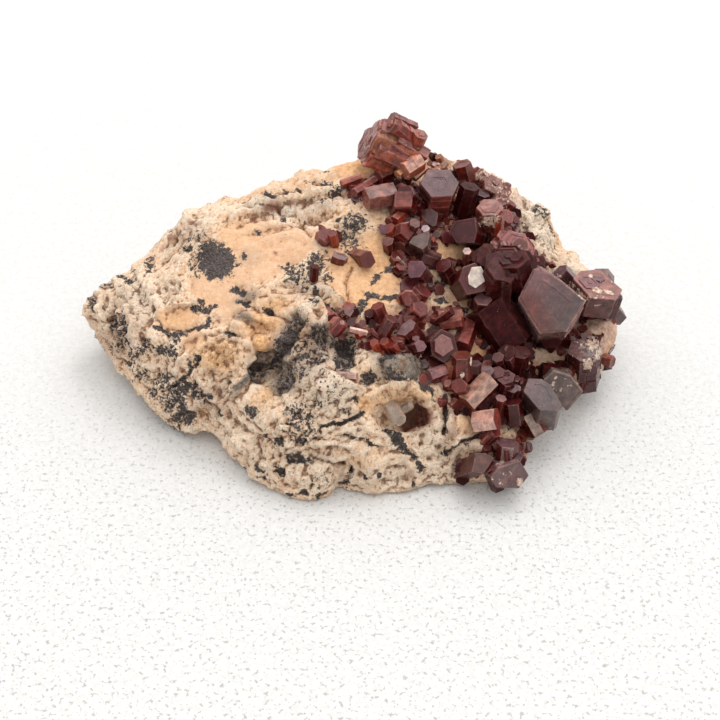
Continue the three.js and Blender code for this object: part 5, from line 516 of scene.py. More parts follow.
# zones of the display face, in the display view
SMOOTH = [(176, 317, 17, 10, -8), (194, 342, 10, 12, 0), (362, 268, 32, 30, 0), (356, 168, 16, 9, 0), (262, 248, 46, 26, -20), (214, 292, 26, 14, 10), (470, 330, 10, 34, -25),
          (450, 255, 22, 14, 0), (228, 300, 14, 14, 0), (466, 425, 12, 10, 0, 0.7)]
OCHRE = [(372, 262, 38, 34, 20, 0.8), (360, 300, 34, 16, 0, 0.8), (356, 168, 18, 10, 0, 1.0), (176, 317, 17, 10, -8, 0.5), (219, 356, 21, 17, 10, 1.1), (262, 320, 16, 9, 0, 1.0), (276, 305, 13, 6, -10, 1.0),
         (261.5, 342, 8, 6, 0, 1.3), (250, 331, 12, 6, 10, 0.9), (396, 396, 30, 8, 0, 0.9), (364, 404, 9, 9, 0, 1.1), (423, 411, 8, 7, 0, 0.9), (300, 334, 14, 14, 0, 0.8), (265, 396, 8, 12, 0, 0.9),
         (468, 424, 14, 11, 0, 0.5), (448, 250, 24, 10, 0, 0.6), (262, 402, 12, 8, 0, 0.7), (470, 340, 12, 50, -20, 0.45), (305, 345, 12, 8, 0, 0.7), (203, 415, 7, 5, 0, 1.0), (362, 462, 7, 6, 0, 0.7),
         (366, 378, 14, 10, 0, 0.5), (415, 396, 14, 8, 0, 0.8), (555, 262, 12, 10, 0, 0.5), (228, 236, 34, 14, -20, 0.3), (338, 214, 20, 8, 0, 0.4), (300, 190, 24, 8, -20, 0.35), (372, 244, 10, 10, 0, 0.7)]
PALE = [(400, 476, 60, 14, -4, 0.55), (250, 455, 14, 26, -30, 0.5), (538, 218, 20, 48, -28, 0.9), (562, 268, 22, 12, 20, 0.9), (600, 330, 12, 16, 0, 0.4), (334, 392, 28, 22, 0, 0.85), (300, 410, 16, 12, 0, 0.5), (316, 461, 24, 7, 0, 0.8), (318, 482, 18, 12, 0, 0.6), (436, 436, 16, 26, 0, 0.6), (140, 296, 24, 22, -20, 0.8), (104, 312, 8, 24, 10, 0.6),
        (256, 206, 46, 5, -8, 0.8), (355, 430, 18, 6, 0, 0.6), (548, 205, 14, 12, 0, 0.8), (262, 410, 12, 8, 0, 0.5), (244, 430, 14, 14, 30, 0.4), (600, 380, 14, 9, 0, 0.7), (200, 230, 26, 6, -40, 0.6),
        (172, 344, 4, 6, 0, 0.7), (333, 295, 12, 3, 30, 1.0), (250, 362, 4, 4, 0, 1.2), (340, 440, 14, 4, -10, 0.5), (530, 350, 14, 8, 0, 0.4), (455, 330, 10, 24, 0, 0.3), (300, 372, 10, 5, 0, 0.4), (222, 440, 8, 18, 20, 0.5)]
# deep hollows painted near-black: painted shade with some dark porous rock
HOLLOW_SHADE_SPOTS = [(345, 355, 10, 16, 10, 0.8), (334, 342, 6, 6, 0, 0.7), (281, 338, 9, 16, 20, 0.55), (296, 366, 16, 10, -10, 0.30), (312, 372, 12, 8, 0, 0.25), (322, 330, 12, 8, 0, 0.35), (272, 367, 15, 12, -30, 1.1), (285, 345, 6, 13, 15, 1.1), (276, 386, 8, 7, 0, 0.9), (368, 380, 8, 7, 0, 0.9), (417, 416, 11, 8, 0, 0.55), (540, 343, 9, 6, 0), (262, 357, 7, 6, 0, 1.2), (257, 367, 7, 7, 0, 1.2), (389.6, 359.5, 6, 3.5, 0, 0.8), (281, 376, 9, 10, 0, 0.9),
        (240, 318, 8, 3, 20, 0.7), (300, 316, 8, 5, 0, 0.5), (318, 326, 8, 4, 10, 0.8), (344, 485, 3.5, 8, 12, 1.0), (341, 303, 3, 6, -30, 0.8), (432, 326, 4, 4, 0, 0.7), (523, 346, 7, 5, 0, 1.0), (424, 366, 6, 4, 0, 0.6)]
TRENCH = [(7.0, [(296, 316), (288, 330), (284, 344), (279, 356)]), (9.5, [(279, 356), (269, 366), (259, 373)]), (7.5, [(278, 368), (284, 380), (279, 388)]), (3.5, [(300, 358), (288, 368)])]
GREY = [(398, 364, 24, 19, 0, 1.0), (408, 372, 15, 11, 0, 1.1), (300, 350, 26, 22, 0, 0.35), (310, 368, 18, 12, 0, 0.45), (300, 372, 14, 12, -20, 0.5), (246, 297, 14, 6, -20, 0.7), (250, 258, 12, 8, 0, 0.3), (243, 383, 4, 13, 40, 1.2), (286, 386, 10, 8, 0, 0.8), (300, 284, 20, 12, 0, 0.35),
        (247, 316, 12, 4, 25, 0.9), (316, 330, 18, 12, 0, 0.5), (320, 346, 16, 14, 0, 0.5), (352, 232, 16, 18, -30, 0.35), (442, 290, 14, 12, 0, 0.4), (508, 470, 8, 6, 0, 0.3), (92, 303, 4, 9, 10, 0.8), (505, 423, 7, 6, 0, 0.9)]
PINK = [(597, 334, 20, 18, 0, 0.9), (548, 358, 18, 9, 0, 0.45), (590, 372, 14, 8, 0, 0.5), (478, 432, 16, 10, 0, 0.35), (310, 206, 30, 5, -14, 0.4), (126, 336, 22, 30, 20, 0.35), (320, 345, 20, 16, 0, 0.4), (300, 320, 18, 12, 0, 0.4),
        (215, 400, 24, 12, 25, 0.3), (455, 462, 14, 12, 0, 0.3), (558, 270, 18, 10, 0, 0.3), (200, 236, 14, 9, 0, 0.3)]
DEND = [(389, 358, 7, 8, 0, 1.0), (397, 375, 12, 6, 10, 0.85), (412, 366, 8, 6, 0, 0.55), (404, 352, 9, 4, 0, 0.6), (345, 356, 12, 18, 10, 0.9), (326, 342, 12, 12, 0, 0.65), (283, 345, 12, 20, 15, 0.75), (300, 372, 18, 9, 0, 0.6), (318, 356, 12, 8, 0, 0.6), (216.5, 261.5, 17, 17, 0, 1.7), (197, 266, 7, 15, 0, 0.62), (202, 238, 9, 5, 0, 0.6), (190.5, 241, 3.5, 3.5, 0, 0.95), (189, 250, 4.5, 3, -30, 1.1), (183, 247, 2.2, 2.2, 0, 1.1), (244.5, 256.6, 3.8, 3.2, 0, 1.5),
        (238.5, 263.5, 4.2, 3.2, 0, 0.8), (259, 233.5, 5, 3, 0, 0.75), (234.7, 289.5, 3.8, 3.8, 0, 1.5), (241.5, 292, 4, 3.4, 0, 1.3), (239, 301.5, 4, 2.6, 20, 1.3), (245.5, 304, 5, 3.6, 20, 1.3), (252, 297, 12, 6, -30, 0.4),
        (196, 307, 6.5, 3.6, 10, 1.2), (202, 303, 3.5, 4, 0, 1.2), (207, 310, 5, 3.2, 20, 1.2), (213, 306, 5.5, 4, 0, 1.1), (207.4, 320.5, 3.4, 4.4, 0, 1.2), (159, 328, 4.5, 3.4, 30, 1.3), (166, 332, 6, 3, 20, 1.2),
        (177, 333.5, 9, 4.6, 0, 1.2), (188, 330, 5, 2.6, -8, 1.2), (198, 327.4, 6, 2.6, -8, 1.3), (206, 326, 4, 2.6, -8, 1.2), (178, 341, 3.6, 3.4, 0, 1.1), (172.4, 352, 7.5, 8, 0, 0.9), (160, 350.5, 8, 6, 0, 1.0),
        (147, 346, 9, 8, 0, 0.68), (141.6, 353, 6, 6, 0, 0.75), (113.6, 322, 4.5, 13, 12, 0.68), (125.5, 328, 5.5, 13, 12, 0.9), (123.4, 318, 4, 6, 0, 0.85), (128, 341, 4, 6, 0, 0.8), (131.8, 356, 5, 9, -10, 0.8), (126, 364, 4, 3, 30, 1.3),
        (110, 350, 5, 2.5, 30, 1.1), (119, 345, 7, 10, -20, 0.55), (122, 276, 4.5, 3, 30, 0.95), (127.6, 280.4, 5, 3.5, 20, 0.95), (109.4, 284, 3, 2.4, 0, 0.85), (147.3, 256.6, 6, 2.6, -40, 0.85), (149.3, 263.6, 5, 3.2, 0, 0.85),
        (148.6, 270.6, 3, 3, 0, 0.75), (118, 272, 5, 2.4, -35, 0.55), (134, 268, 6, 2.4, -35, 0.55), (90.5, 303, 3.4, 8, 10, 0.8), (104, 302, 4, 3, 0, 0.4), (199, 359.5, 4, 4, 0, 1.0), (192, 365, 5, 4, 0, 0.7),
        (164, 375.6, 9, 7, 0, 0.75), (156, 383, 8, 8, -35, 0.75), (169.6, 389.6, 9, 7, 0, 0.8), (181, 389, 9, 8, 0, 0.95), (190, 387, 6, 5, 0, 0.85), (198, 394, 7, 4, 0, 1.0), (209, 395, 6, 3, 0, 1.2), (164, 399, 9, 7, -30, 0.8),
        (178, 399, 9, 7, 0, 0.85), (170, 408, 7, 5, 0, 0.95), (184, 411, 9, 7, 0, 1.0), (177, 419, 7, 6, 0, 1.0), (188, 419, 7, 5, 0, 1.0), (221, 413, 3.4, 2.4, 20, 1.3), (214, 403.6, 4, 2.2, 30, 1.1), (205, 404, 8, 4, 0, 0.5),
        (140, 374, 9, 9, -35, 0.6), (150, 392, 7, 6, -35, 0.7), (253.6, 410.6, 7, 5.5, 20, 1.1), (231, 333.6, 6.5, 2.6, 25, 1.4), (267.6, 311, 6, 4.4, 20, 1.3), (286, 266, 8, 6, 0, 0.85), (298, 274, 14, 14, 0, 0.76),
        (318, 262, 14, 12, 0, 0.8), (328, 277, 6, 7, 0, 0.9), (289, 281, 7, 5, 0, 0.8), (305, 285, 14, 5, 0, 0.6), (354, 222, 14, 10, 0, 0.88), (352, 244, 12, 9, 0, 0.85), (344, 234, 10, 8, 0, 0.7), (376, 230, 8, 6, 0, 0.4),
        (377, 277, 4.5, 4, 0, 1.2), (389.6, 270, 6, 3.4, -30, 1.3), (395, 263, 5, 3, -30, 1.2), (370, 294, 6, 4, -20, 1.3), (376, 295, 5, 3, 0, 1.2), (363, 303.6, 3.6, 4, 0, 1.4), (360, 311, 3, 6, 0, 1.4), (390.5, 297.6, 8, 2.8, -14, 1.5),
        (406.6, 284.7, 4.4, 4.2, 0, 1.5), (402, 258, 3.5, 3, 0, 1.2), (396, 242, 4, 4, 0, 1.0), (437, 285, 8, 5, 0, 1.1), (446, 281, 6, 4, 0, 0.9), (441, 301.6, 6.5, 3.6, 0, 1.3), (432, 300, 3, 2, 0, 0.9), (459, 308.5, 4.5, 3.2, 0, 1.3),
        (466.5, 310.5, 3.5, 3, 0, 1.3), (433, 323, 3, 3, 0, 1.2), (464, 331, 3, 3, 0, 1.1), (430, 236, 3, 6, 0, 1.0), (443, 228, 4, 3, 0, 0.9), (395, 359, 8, 4, 0, 1.0), (384, 362, 4, 5, 0, 1.0), (399, 380, 16, 7, 0, 0.62), (390, 372, 8, 8, 0, 0.45),
        (423, 386.5, 5.5, 4.5, 20, 1.5), (430, 392, 4, 5, 0, 0.9), (397, 438, 6, 8, -40, 1.1), (405, 449, 7, 4.5, 35, 1.1), (415, 456, 5, 4, 40, 1.1), (422, 469.6, 3, 6, 0, 1.1), (387, 431, 5, 3, 0, 0.9), (379.2, 475.2, 2.6, 2.4, 0, 1.9),
        (364.3, 476, 2.2, 2.2, 0, 1.7), (414.7, 487.3, 2.6, 2.6, 0, 1.5), (349.3, 474, 3.4, 3.4, 0, 1.4), (345, 484, 4, 8, 20, 1.0), (297, 458, 9, 6, 0, 1.0), (305, 461, 7, 5, 0, 0.8), (290, 459, 5, 6, 0, 0.8), (279.3, 471.5, 5, 6, 0, 1.1),
        (260, 468.7, 7, 2.6, 10, 1.0), (265, 477, 6, 3, 0, 0.6), (302.7, 495.7, 6, 3.4, 0, 1.0), (319.5, 497.6, 7, 4, 0, 1.0), (287.7, 497.6, 5, 2.6, 0, 1.0), (316, 486.4, 6, 4, 0, 0.7), (322, 475, 10, 8, 0, 0.35), (280, 441.6, 6.5, 5, 20, 1.1),
        (264.4, 435, 3, 2.6, 0, 1.3), (300, 418, 13, 15, -30, 0.74), (290, 430, 10, 8, 0, 0.6), (308, 430, 10, 8, 0, 0.65), (302, 440, 7, 5, 0, 0.9), (316, 436, 12, 5, 0, 0.5), (330, 381, 18, 10, -20, 0.4), (318, 404, 6, 6, 0, 0.6),
        (355, 400, 6, 6, 0, 0.5), (336, 395, 8, 8, 0, 0.4), (345, 412, 6, 4, 0, 0.6), (314, 302, 6, 4, 0, 0.7), (325, 330, 5, 6, 0, 1.0), (314, 326, 6, 5, 0, 0.85), (300, 318, 10, 7, 0, 0.5), (316, 338, 12, 10, 0, 0.75), (300, 345, 8, 8, 0, 0.6),
        (308, 358, 14, 8, 0, 0.7), (295, 372, 12, 10, 0, 0.7), (318, 360, 10, 6, 0, 0.7), (345, 352, 12, 17, 0, 0.85), (368, 380, 9, 8, 0, 0.9), (539, 209, 8, 7, 0, 0.7), (545, 215, 5, 4, 0, 0.8), (555, 258, 3, 3, 0, 1.3), (523, 228, 6, 8, 0, 0.4),
        (345, 183, 5, 3, 0, 0.9), (327, 182, 8, 2.5, 20, 1.0), (335, 190, 9, 2.5, -25, 1.0), (322, 198, 7, 3, -10, 0.6), (295, 187, 4, 2, -20, 1.2), (312, 180, 8, 1.6, 5, 0.8), (284, 197.5, 4, 2, 0, 0.8), (271.5, 197, 7.5, 2.8, 22, 1.8),
        (282.5, 219.5, 3.2, 4, 0, 1.2), (290, 203, 3, 2, 0, 0.6), (355, 201, 4, 3, 0, 0.9), (338, 218, 2.4, 2.4, 0, 1.3), (324, 173, 5, 1.6, 0, 0.9), (220, 209, 3, 2, 0, 0.5), (365, 250, 6, 5, 0, 0.6), (345, 262, 5, 5, 0, 0.5),
        (466, 442, 5, 2.6, 0, 0.7), (445, 455, 4, 3, 0, 1.0), (500, 418, 5, 5, 0, 0.7), (508, 425, 6, 5, 0, 0.6), (452, 402, 6, 6, 0, 0.5), (436, 398, 5, 4, 0, 0.6), (585, 318, 5, 4, 0, 0.7), (572, 322, 4, 4, 0, 1.2)]
DEND_LINES = [(2.2, [(372, 283), (377, 278)]), (1.9, [(384, 272), (392, 267), (399, 261)]), (2.0, [(360, 312), (362, 304), (367, 297), (374, 294)]), (1.7, [(383, 300), (396, 295)]),
              (2.0, [(445, 396), (446.5, 412), (444.5, 433)]), (2.0, [(450, 450), (456, 442), (466, 440), (480, 434)]), (2.2, [(321, 425), (342, 423), (352, 418), (363, 413)]),
              (1.3, [(345, 436), (360, 439), (379, 447)]), (1.4, [(202, 358.5), (190, 371), (177, 382.6)]), (1.6, [(314, 291), (325, 299), (337, 310)]), (3.0, [(387, 431), (398, 440), (405, 449), (416, 457), (422, 469)]),
              (1.2, [(285, 333), (280, 352), (268, 366)]), (1.4, [(330, 192), (340, 187), (352, 186)]), (1.0, [(280, 189), (290, 188), (297, 186)])]
STAIN = [(417, 417, 15, 11, 0, 1.5), (402, 398, 6, 4, 0, 0.3), (275, 252.5, 1.5, 1), (272, 253, 5, 4, 0, 0.0), (342, 235, 3, 2), (346, 376, 12, 5, 20, 1.1), (255, 219.5, 3, 3.6, 0, 1.1), (273, 208, 9, 3.4, -28, 1.0), (291, 203, 5, 3, 0, 0.7), (197, 226, 6, 2, 10, 0.8), (580, 372, 14, 12, 0, 0.3),
         (172, 239, 10, 2.4, -40, 0.8), (164, 246, 6, 2.4, -40, 0.7), (476, 395, 3, 12, 0, 0.5), (452, 425, 3, 16, 10, 0.6), (520, 200, 10, 8, 0, 0.4), (412, 477, 4, 5, 0, 0.5), (300, 290, 4, 3, 0, 0.6), (606, 338, 12, 18, 0, 0.25)]
ROUGHZ = [(400, 478, 62, 16, -4, 1.0), (350, 470, 30, 20, 0, 1.0), (225, 425, 30, 12, 20, 1.0), (255, 460, 16, 30, -30, 1.0), (200, 390, 50, 40, 0), (300, 440, 60, 60, 0), (320, 330, 26, 40, 0), (395, 370, 30, 24, 0), (430, 440, 50, 40, 0), (540, 240, 40, 50, 40), (300, 210, 50, 18, -15), (190, 245, 30, 20, -40), (120, 320, 34, 50, 20, 0.9), (345, 345, 24, 30, 0),
          (219, 356, 22, 18, 0), (340, 230, 26, 20, 0, 0.6), (300, 275, 26, 18, 0, 0.6), (160, 365, 26, 30, 0, 0.8), (180, 290, 24, 16, 0, 0.7)]

# ridges (+) and clefts (-) of the display face: width px, height mm, line
RIDGES = [
    (2.2, 1.1, [(311, 289), (319, 287), (329, 290.5), (337, 297.5), (341.5, 306)]), (1.8, -1.0, [(313, 293), (323, 297), (331, 304), (337, 311)]),            # bright curled rim
    (2.2, 0.7, [(236, 207), (256, 203), (280, 199), (296, 193)]), (1.8, -0.7, [(238, 211), (262, 208), (276, 209), (284, 214)]), (2.2, 0.6, [(232, 220), (240, 214), (254, 211), (268, 211), (280, 214)]),
    (2.4, 0.7, [(284, 210), (292, 207), (300, 213), (318, 205), (330, 204)]), (1.6, -0.6, [(300, 220), (306, 230), (310, 234)]), (1.8, -0.6, [(312, 180), (330, 183), (340, 190)]), (1.8, -0.6, [(326, 196), (338, 190), (352, 186)]),
    (1.7, 0.8, [(170, 240), (180, 230), (194, 214)]), (1.6, -0.6, [(173, 244), (184, 234), (197, 220)]),
    (2.2, 0.7, [(146, 262), (142, 276), (127, 296), (121, 312)]), (2.0, 0.8, [(144, 290), (134, 302), (130, 314), (135, 328), (140, 345)]), (1.8, -0.7, [(138, 290), (127, 304), (124, 318), (128, 338)]),
    (2.0, 0.6, [(120, 300), (118, 316), (124, 334)]), (1.8, -0.6, [(112, 300), (110, 318), (116, 340), (128, 360)]), (2.4, -0.9, [(92, 295), (91, 304), (93, 312)]), (2.4, 0.6, [(196, 214), (190, 226), (182, 238)]),
    (1.8, 0.6, [(158, 318), (166, 309), (178, 305), (192, 303), (198, 299)]), (1.6, -0.5, [(157, 322), (162, 329), (176, 330), (192, 327)]), (2.0, 0.5, [(204, 332), (200, 345), (198, 356)]), (1.8, -0.7, [(202, 358), (190, 371), (177, 383), (160, 392)]),
    (2.2, 0.7, [(140, 350), (142, 362), (150, 370)]), (2.0, 0.6, [(172, 372), (180, 362), (186, 356)]), (2.2, 0.6, [(196, 378), (208, 388), (216, 398), (226, 410)]), (2.0, -0.5, [(188, 376), (200, 390), (208, 402)]),
    (2.6, 1.0, [(306, 386), (312, 378), (322, 373), (334, 378), (346, 384), (362, 390)]), (2.2, 0.6, [(196, 360), (206, 344), (222, 337), (240, 338), (252, 346)]), (1.8, -0.6, [(226, 331), (234, 335), (243, 338)]),
    (2.0, 0.6, [(238, 316), (250, 318), (256, 326)]), (2.2, 0.7, [(268, 322), (258, 318), (246, 314)]), (2.0, 0.6, [(288, 300), (276, 296), (262, 292), (250, 296)]), (2.0, -0.6, [(286, 318), (270, 314), (252, 308)]),
    (2.4, 0.9, [(366, 396), (378, 390), (396, 386), (412, 388), (424, 396)]), (2.0, 0.6, [(424, 396), (430, 408), (426, 418), (418, 424)]), (2.2, 0.7, [(440, 392), (450, 400), (452, 430)]), (1.6, -0.8, [(444.5, 395), (446.5, 412), (444.5, 434)]),
    (2.2, 0.8, [(288, 452), (300, 446), (316, 444), (332, 442), (350, 446)]), (1.8, -0.8, [(312, 456), (328, 462), (340, 466)]), (2.2, 0.7, [(225, 420), (240, 440), (252, 462)]), (2.0, 0.5, [(180, 340), (205, 335), (222, 330)]),
    (2.2, 0.6, [(350, 405), (372, 432), (392, 436)]), (2.0, 0.6, [(456, 436), (452, 460), (448, 480)]), (2.2, 0.6, [(316, 472), (330, 466), (338, 480)]), (2.6, -1.2, [(350, 472), (344, 482), (341, 496)]),
    (1.8, -0.7, [(321, 426), (342, 424), (363, 414)]), (1.8, -0.7, [(451, 452), (457, 443), (470, 440), (484, 435)]), (1.6, -0.5, [(330, 434), (346, 436), (360, 440), (380, 448)]), (2.0, -0.6, [(386, 430), (400, 444), (418, 458)]),
    (1.8, -0.6, [(110, 352), (128, 368), (146, 392)]), (1.8, -0.5, [(230, 395), (244, 415), (262, 430)]), (2.0, 0.6, [(234, 396), (242, 384), (254, 372)]), (1.6, -0.6, [(238, 398), (246, 388), (256, 378)]),
    (2.2, -0.6, [(352, 268), (346, 285), (350, 300)]), (1.8, -0.5, [(154, 268), (172, 252), (194, 232)]), (1.6, 0.4, [(320, 440), (336, 434), (350, 432), (362, 426), (372, 432)]),
]


def ridge_height(u, v):
    o = np.zeros(len(u))
    wu = 1.8 * vnoise(np.c_[u / 7.0, v / 7.0, np.zeros(len(u))], 5); wv = 1.8 * vnoise(np.c_[u / 7.0, v / 7.0, np.ones(len(u)) * 3], 6)
    uu = u + wu; vv = v + wv
    for (w, h, P) in RIDGES:
        d = np.full(len(u), 1e9)
        for a, b in zip(P[:-1], P[1:]):
            a = np.array(a, float); b = np.array(b, float); ab = b - a
            t = np.clip(((uu - a[0]) * ab[0] + (vv - a[1]) * ab[1]) / (ab @ ab), 0, 1)
            d = np.minimum(d, np.hypot(uu - a[0] - t * ab[0], vv - a[1] - t * ab[1]))
        o += h * np.exp(-(d / w) ** 2 * 0.7)
    return o


def steps(x, s, sharp=0.30):
    f = np.floor(x / s); t = x / s - f
    return (f + sstep(0.5 - sharp, 0.5 + sharp, t)) * s


u, v, d = proj(V)
face_out = (N * -(V - VIEW_FROM) / np.linalg.norm(V - VIEW_FROM, axis=1, keepdims=True)).sum(1)
vis = sstep(-0.05, 0.18, face_out)
under = sstep(-0.55, -0.85, N[:, 2]) * (V[:, 2] < 1.2)
uw = u + 3.4 * fbm(V / 1.1, 4, 40); vw = v + 3.4 * fbm(V / 1.1, 4, 50)          # ragged edges of the colour zones

roughz = np.maximum(spots(u, v, ROUGHZ, 0.6) * vis, 0.65 * (1 - vis))
smoothz = spots(uw, vw, SMOOTH, 0.5) * vis
rw = np.clip(0.50 + 0.70 * roughz - 0.85 * smoothz, 0.10, 1.25)

n1 = fbm(V / 7.5, 3, 1)
n2 = fbm(V / 3.0 + 9, 4, 11)
n2 = 0.40 * n2 + 0.60 * steps(n2, 0.24, 0.22)
rid = 1 - 2 * np.abs(fbm(V / 2.1 + 3, 3, 21))
rid2 = 1 - 2 * np.abs(fbm(V / 1.05 + 13, 3, 25))
wv3 = 0.40 * np.c_[fbm(V / 1.5, 2, 22), fbm(V / 1.5 + 7, 2, 23), fbm(V / 1.5 - 7, 2, 24)]
d1, d2, wh = worley(V / 2.1 + wv3, 31)
e1_, e2_, wh2 = worley(V / 1.10 + wv3, 33)
d3, d4, wh3 = worley(V / 0.66, 37)
crack = np.clip(1 - (d2 - d1) / 0.13, 0, 1)
crack2 = np.clip(1 - (e2_ - e1_) / 0.20, 0, 1)
pits = np.clip(vnoise(V / 1.05, 61) - 0.28, 0, 1) / 0.7
pock = np.clip(vnoise(V / 2.4 + 4, 71) - 0.42, 0, 1) / 0.6
patch = sstep(-0.15, 0.35, fbm(V / 4.2 + 31, 3, 29))          # crusty here, planed off there
hf = (0.98 * n2 + 0.30 * (rid - 0.45) + patch * (0.20 * (rid2 - 0.4) + 0.46 * (wh - 0.5) + 0.34 * (wh2 - 0.5) + 0.12 * (0.45 - e1_) - 0.24 * crack - 0.16 * crack2 * (wh > 0.3))
      - 0.8 * pits * roughz - 0.6 * pock * roughz + (0.10 + 0.12 * patch) * (0.5 - d3) + 0.10 * patch * (wh3 - 0.5))
disp = 0.8 * n1 + rw * hf + 0.07 * (0.5 - d3) + 0.10 * fbm(V / 0.75, 2, 77)
# shelly layers on the left end
shell = spot(u, v, 118, 320, 46, 60, 20, 0.5) * vis
lay = np.sin((u - 0.35 * (v - 300)) / 4.6 + 2.4 * vnoise(V / 4, 91))
disp += shell * 0.42 * np.sign(lay) * np.abs(lay) ** 0.30
# bedding steps on the top ledge and right rear
ledge = spot(u, v, 290, 208, 66, 26, -14, 0.5) * vis
lay2 = np.sin((v + 0.3 * (u - 290)) / 3.4 + 2.5 * vnoise(V / 5, 93))
disp += ledge * 0.34 * np.sign(lay2) * np.abs(lay2) ** 0.35
disp += ridge_height(u, v) * vis
HOLES = [(344.5, 353, 9, 16, 0, -0.3), (368, 380, 7, 7, 0, -0.5), (262, 358, 7, 6, 0, -0.5), (257, 368, 7, 7, 0, -0.5),
         (417, 415, 12, 8, 0, -1.6), (395, 420, 18, 8, 8, -0.8), (555, 258, 4, 4, 0, -0.9), (523, 226, 6, 8, 0, -0.7), (318, 340, 12, 6, 25, -0.7), (241, 291, 4, 4, 0, -0.5), (245, 303, 5, 4, 0, -0.6),
         (173, 284, 2.6, 2.6, 0, -0.7), (180, 285, 2.6, 2.6, 0, -0.7), (175, 293, 2.6, 2.6, 0, -0.6), (189, 250, 3.4, 2.6, 0, -0.5), (540, 343, 9, 6, 0, -1.0), (186, 420, 18, 6, -6, -0.7), (279, 472, 5, 5, 0, -0.6),
         (297, 460, 7, 4, 0, -0.6), (262, 440, 7, 8, 20, -0.4), (340, 402, 16, 3, -14, -0.5), (386, 452, 14, 5, 6, -0.4), (203, 415, 6, 4, 0, -0.7), (327, 400, 4, 3, 0, -0.5), (340, 392, 4, 3, 0, -0.4), (356, 399, 3, 5, -20, -0.5),
         (318, 394, 4, 4, 0, -0.4), (350, 410, 4, 3, 0, -0.4), (232, 346, 3, 3, 0, -0.3), (214, 352, 3, 3, 0, -0.3), (224, 362, 3, 3, 0, -0.3), (292, 330, 3, 3, 0, -0.4), (300, 336, 3, 3, 0, -0.4), (296, 325, 3, 3, 0, -0.4),
         (271.5, 198, 7, 2.4, 22, -0.6), (240, 228, 4, 4, 0, -0.3), (590, 388, 8, 3, -30, -0.4), (344, 486, 3, 9, 12, -0.9), (410, 330, 4, 3, 0, -0.4), (267.6, 311, 5, 4, 0, -0.6), (381, 475, 2, 2, 0, -0.3)]
HUMPS = [(372, 478, 12, 9, 0, 0.6), (402, 482, 9, 7, 0, 0.5), (430, 474, 12, 8, 0, 0.5), (392, 470, 6, 5, 0, 0.4), (420, 488, 7, 4, 0, 0.4), (248, 448, 9, 7, 0, 0.4), (262, 470, 9, 8, 0, 0.4), (261.5, 342, 7, 5, 10, 0.9), (245, 331, 8, 5, 0, 0.6), (316, 302, 9, 7, 0, 0.5), (400, 366, 19, 17, 0, 0.9), (458, 423, 13, 11, 0, 0.9), (461, 442, 9, 7, 0, 0.7), (480, 445, 7, 6, 0, 0.7), (489, 446, 5, 5, 0, 0.5),
         (316, 478, 20, 16, 0, 0.5), (372, 366, 9, 12, 0, 0.5), (219, 356, 20, 15, 0, 0.4), (334, 390, 24, 12, -8, 0.6), (238, 325, 4, 4, 0, 0.6), (383, 398, 14, 4, -5, 0.6), (425, 408, 6, 6, 0, 0.6), (500, 420, 8, 6, 0, 0.4),
         (600, 338, 14, 20, 0, 1.1), (588, 372, 16, 12, -20, 1.2), (404, 362, 14, 12, 0, 0.6), (86, 300, 5, 10, 10, 0.4), (276, 300, 12, 4, -10, 0.6), (194, 427, 8, 4, 0, 0.5), (300, 408, 8, 6, 0, 0.3), (556, 372, 18, 8, 10, 0.5)]
uh = u + 5.0 * fbm(V / 1.8, 4, 43); vh = v + 5.0 * fbm(V / 1.8, 4, 53)
for (a_, b_, ru_, rv_, rot_, h_) in HOLES + HUMPS:
    disp += h_ * spot(uh, vh, a_, b_, ru_, rv_, rot_, 0.45 if h_ < 0 else 0.8) * vis
trench = lines(uh, vh, TRENCH, 1.1) * vis
disp -= 1.15 * trench * (0.45 + 1.1 * vnoise(V / 0.9, 61))
# near-black deep hollows and the trench, partly painted shade
dark = np.maximum(0.72 * spots(uw, vw, HOLLOW_SHADE_SPOTS, 0.5) * vis, 0.97 * trench)
disp -= 0.35 * dark * (0.4 + vnoise(V / 1.1, 95))
# the far sides: layered broken rock
far = 1 - vis
lay3 = np.sin(V[:, 2] / 0.95 + 1.8 * vnoise(V / 6, 97) + 0.25 * V[:, 0])
disp += far * (1 - under) * 0.30 * np.sign(lay3) * np.abs(lay3) ** 0.5
disp *= 1 - 0.93 * under
# keep inside the block's own box and flat below
V2 = V + N * disp[:, None]
V2[:, 2] = np.maximum(V2[:, 2], 0.0)
flat = (V[:, 2] < 0.12)
V2[flat, 2] = 0.0
N2 = vert_normals(V2, Q)
if (N2 * N).sum() < 0:
    N2 = -N2


def spread(x, times):
    """Average each value with its neighbours on the mesh, a few times over."""
    for _ in range(times):
        s_ = x.copy(); c_ = np.ones(len(x))
        for a_ in range(4):
            i_, j_ = Q[:, a_], Q[:, (a_ + 1) % 4]
            s_ += np.bincount(i_, x[j_], len(x)) + np.bincount(j_, x[i_], len(x))
            c_ += np.bincount(i_, minlength=len(x)) + np.bincount(j_, minlength=len(x))
        x = s_ / c_
    return x


# hollows and peaks of the relief: the rock material paints shade into the hollows and highlight onto the peaks from
# these
hollow = spread(disp, 3) - disp
hollow2 = spread(disp, 14) - disp
cav = np.clip(0.7 * hollow / 0.09 + 0.45 * hollow2 / 0.26, -1, 1.3)

rock = mesh_from("host_rock_surface", (V2 + SHIFT) * MM, Q, True)
me = rock.data
dend = spots(uw, vw, DEND, 0.55)
dend = np.maximum(dend, 1.15 * lines(u + 2.4 * fbm(V / 0.8, 2, 41), v + 2.4 * fbm(V / 0.8, 2, 42), DEND_LINES, 1.2))
farpatch = np.clip(fbm(V / 6.5, 3, 101) * 1.6 + 0.25, 0, 1) * 0.9
dend = dend * vis + farpatch * (1 - vis) * (1 - 0.5 * under)
ochre = spots(uw, vw, OCHRE, 0.7) * vis + (1 - vis) * np.clip(fbm(V / 8, 3, 111) * 1.5, 0, 1) * 0.8
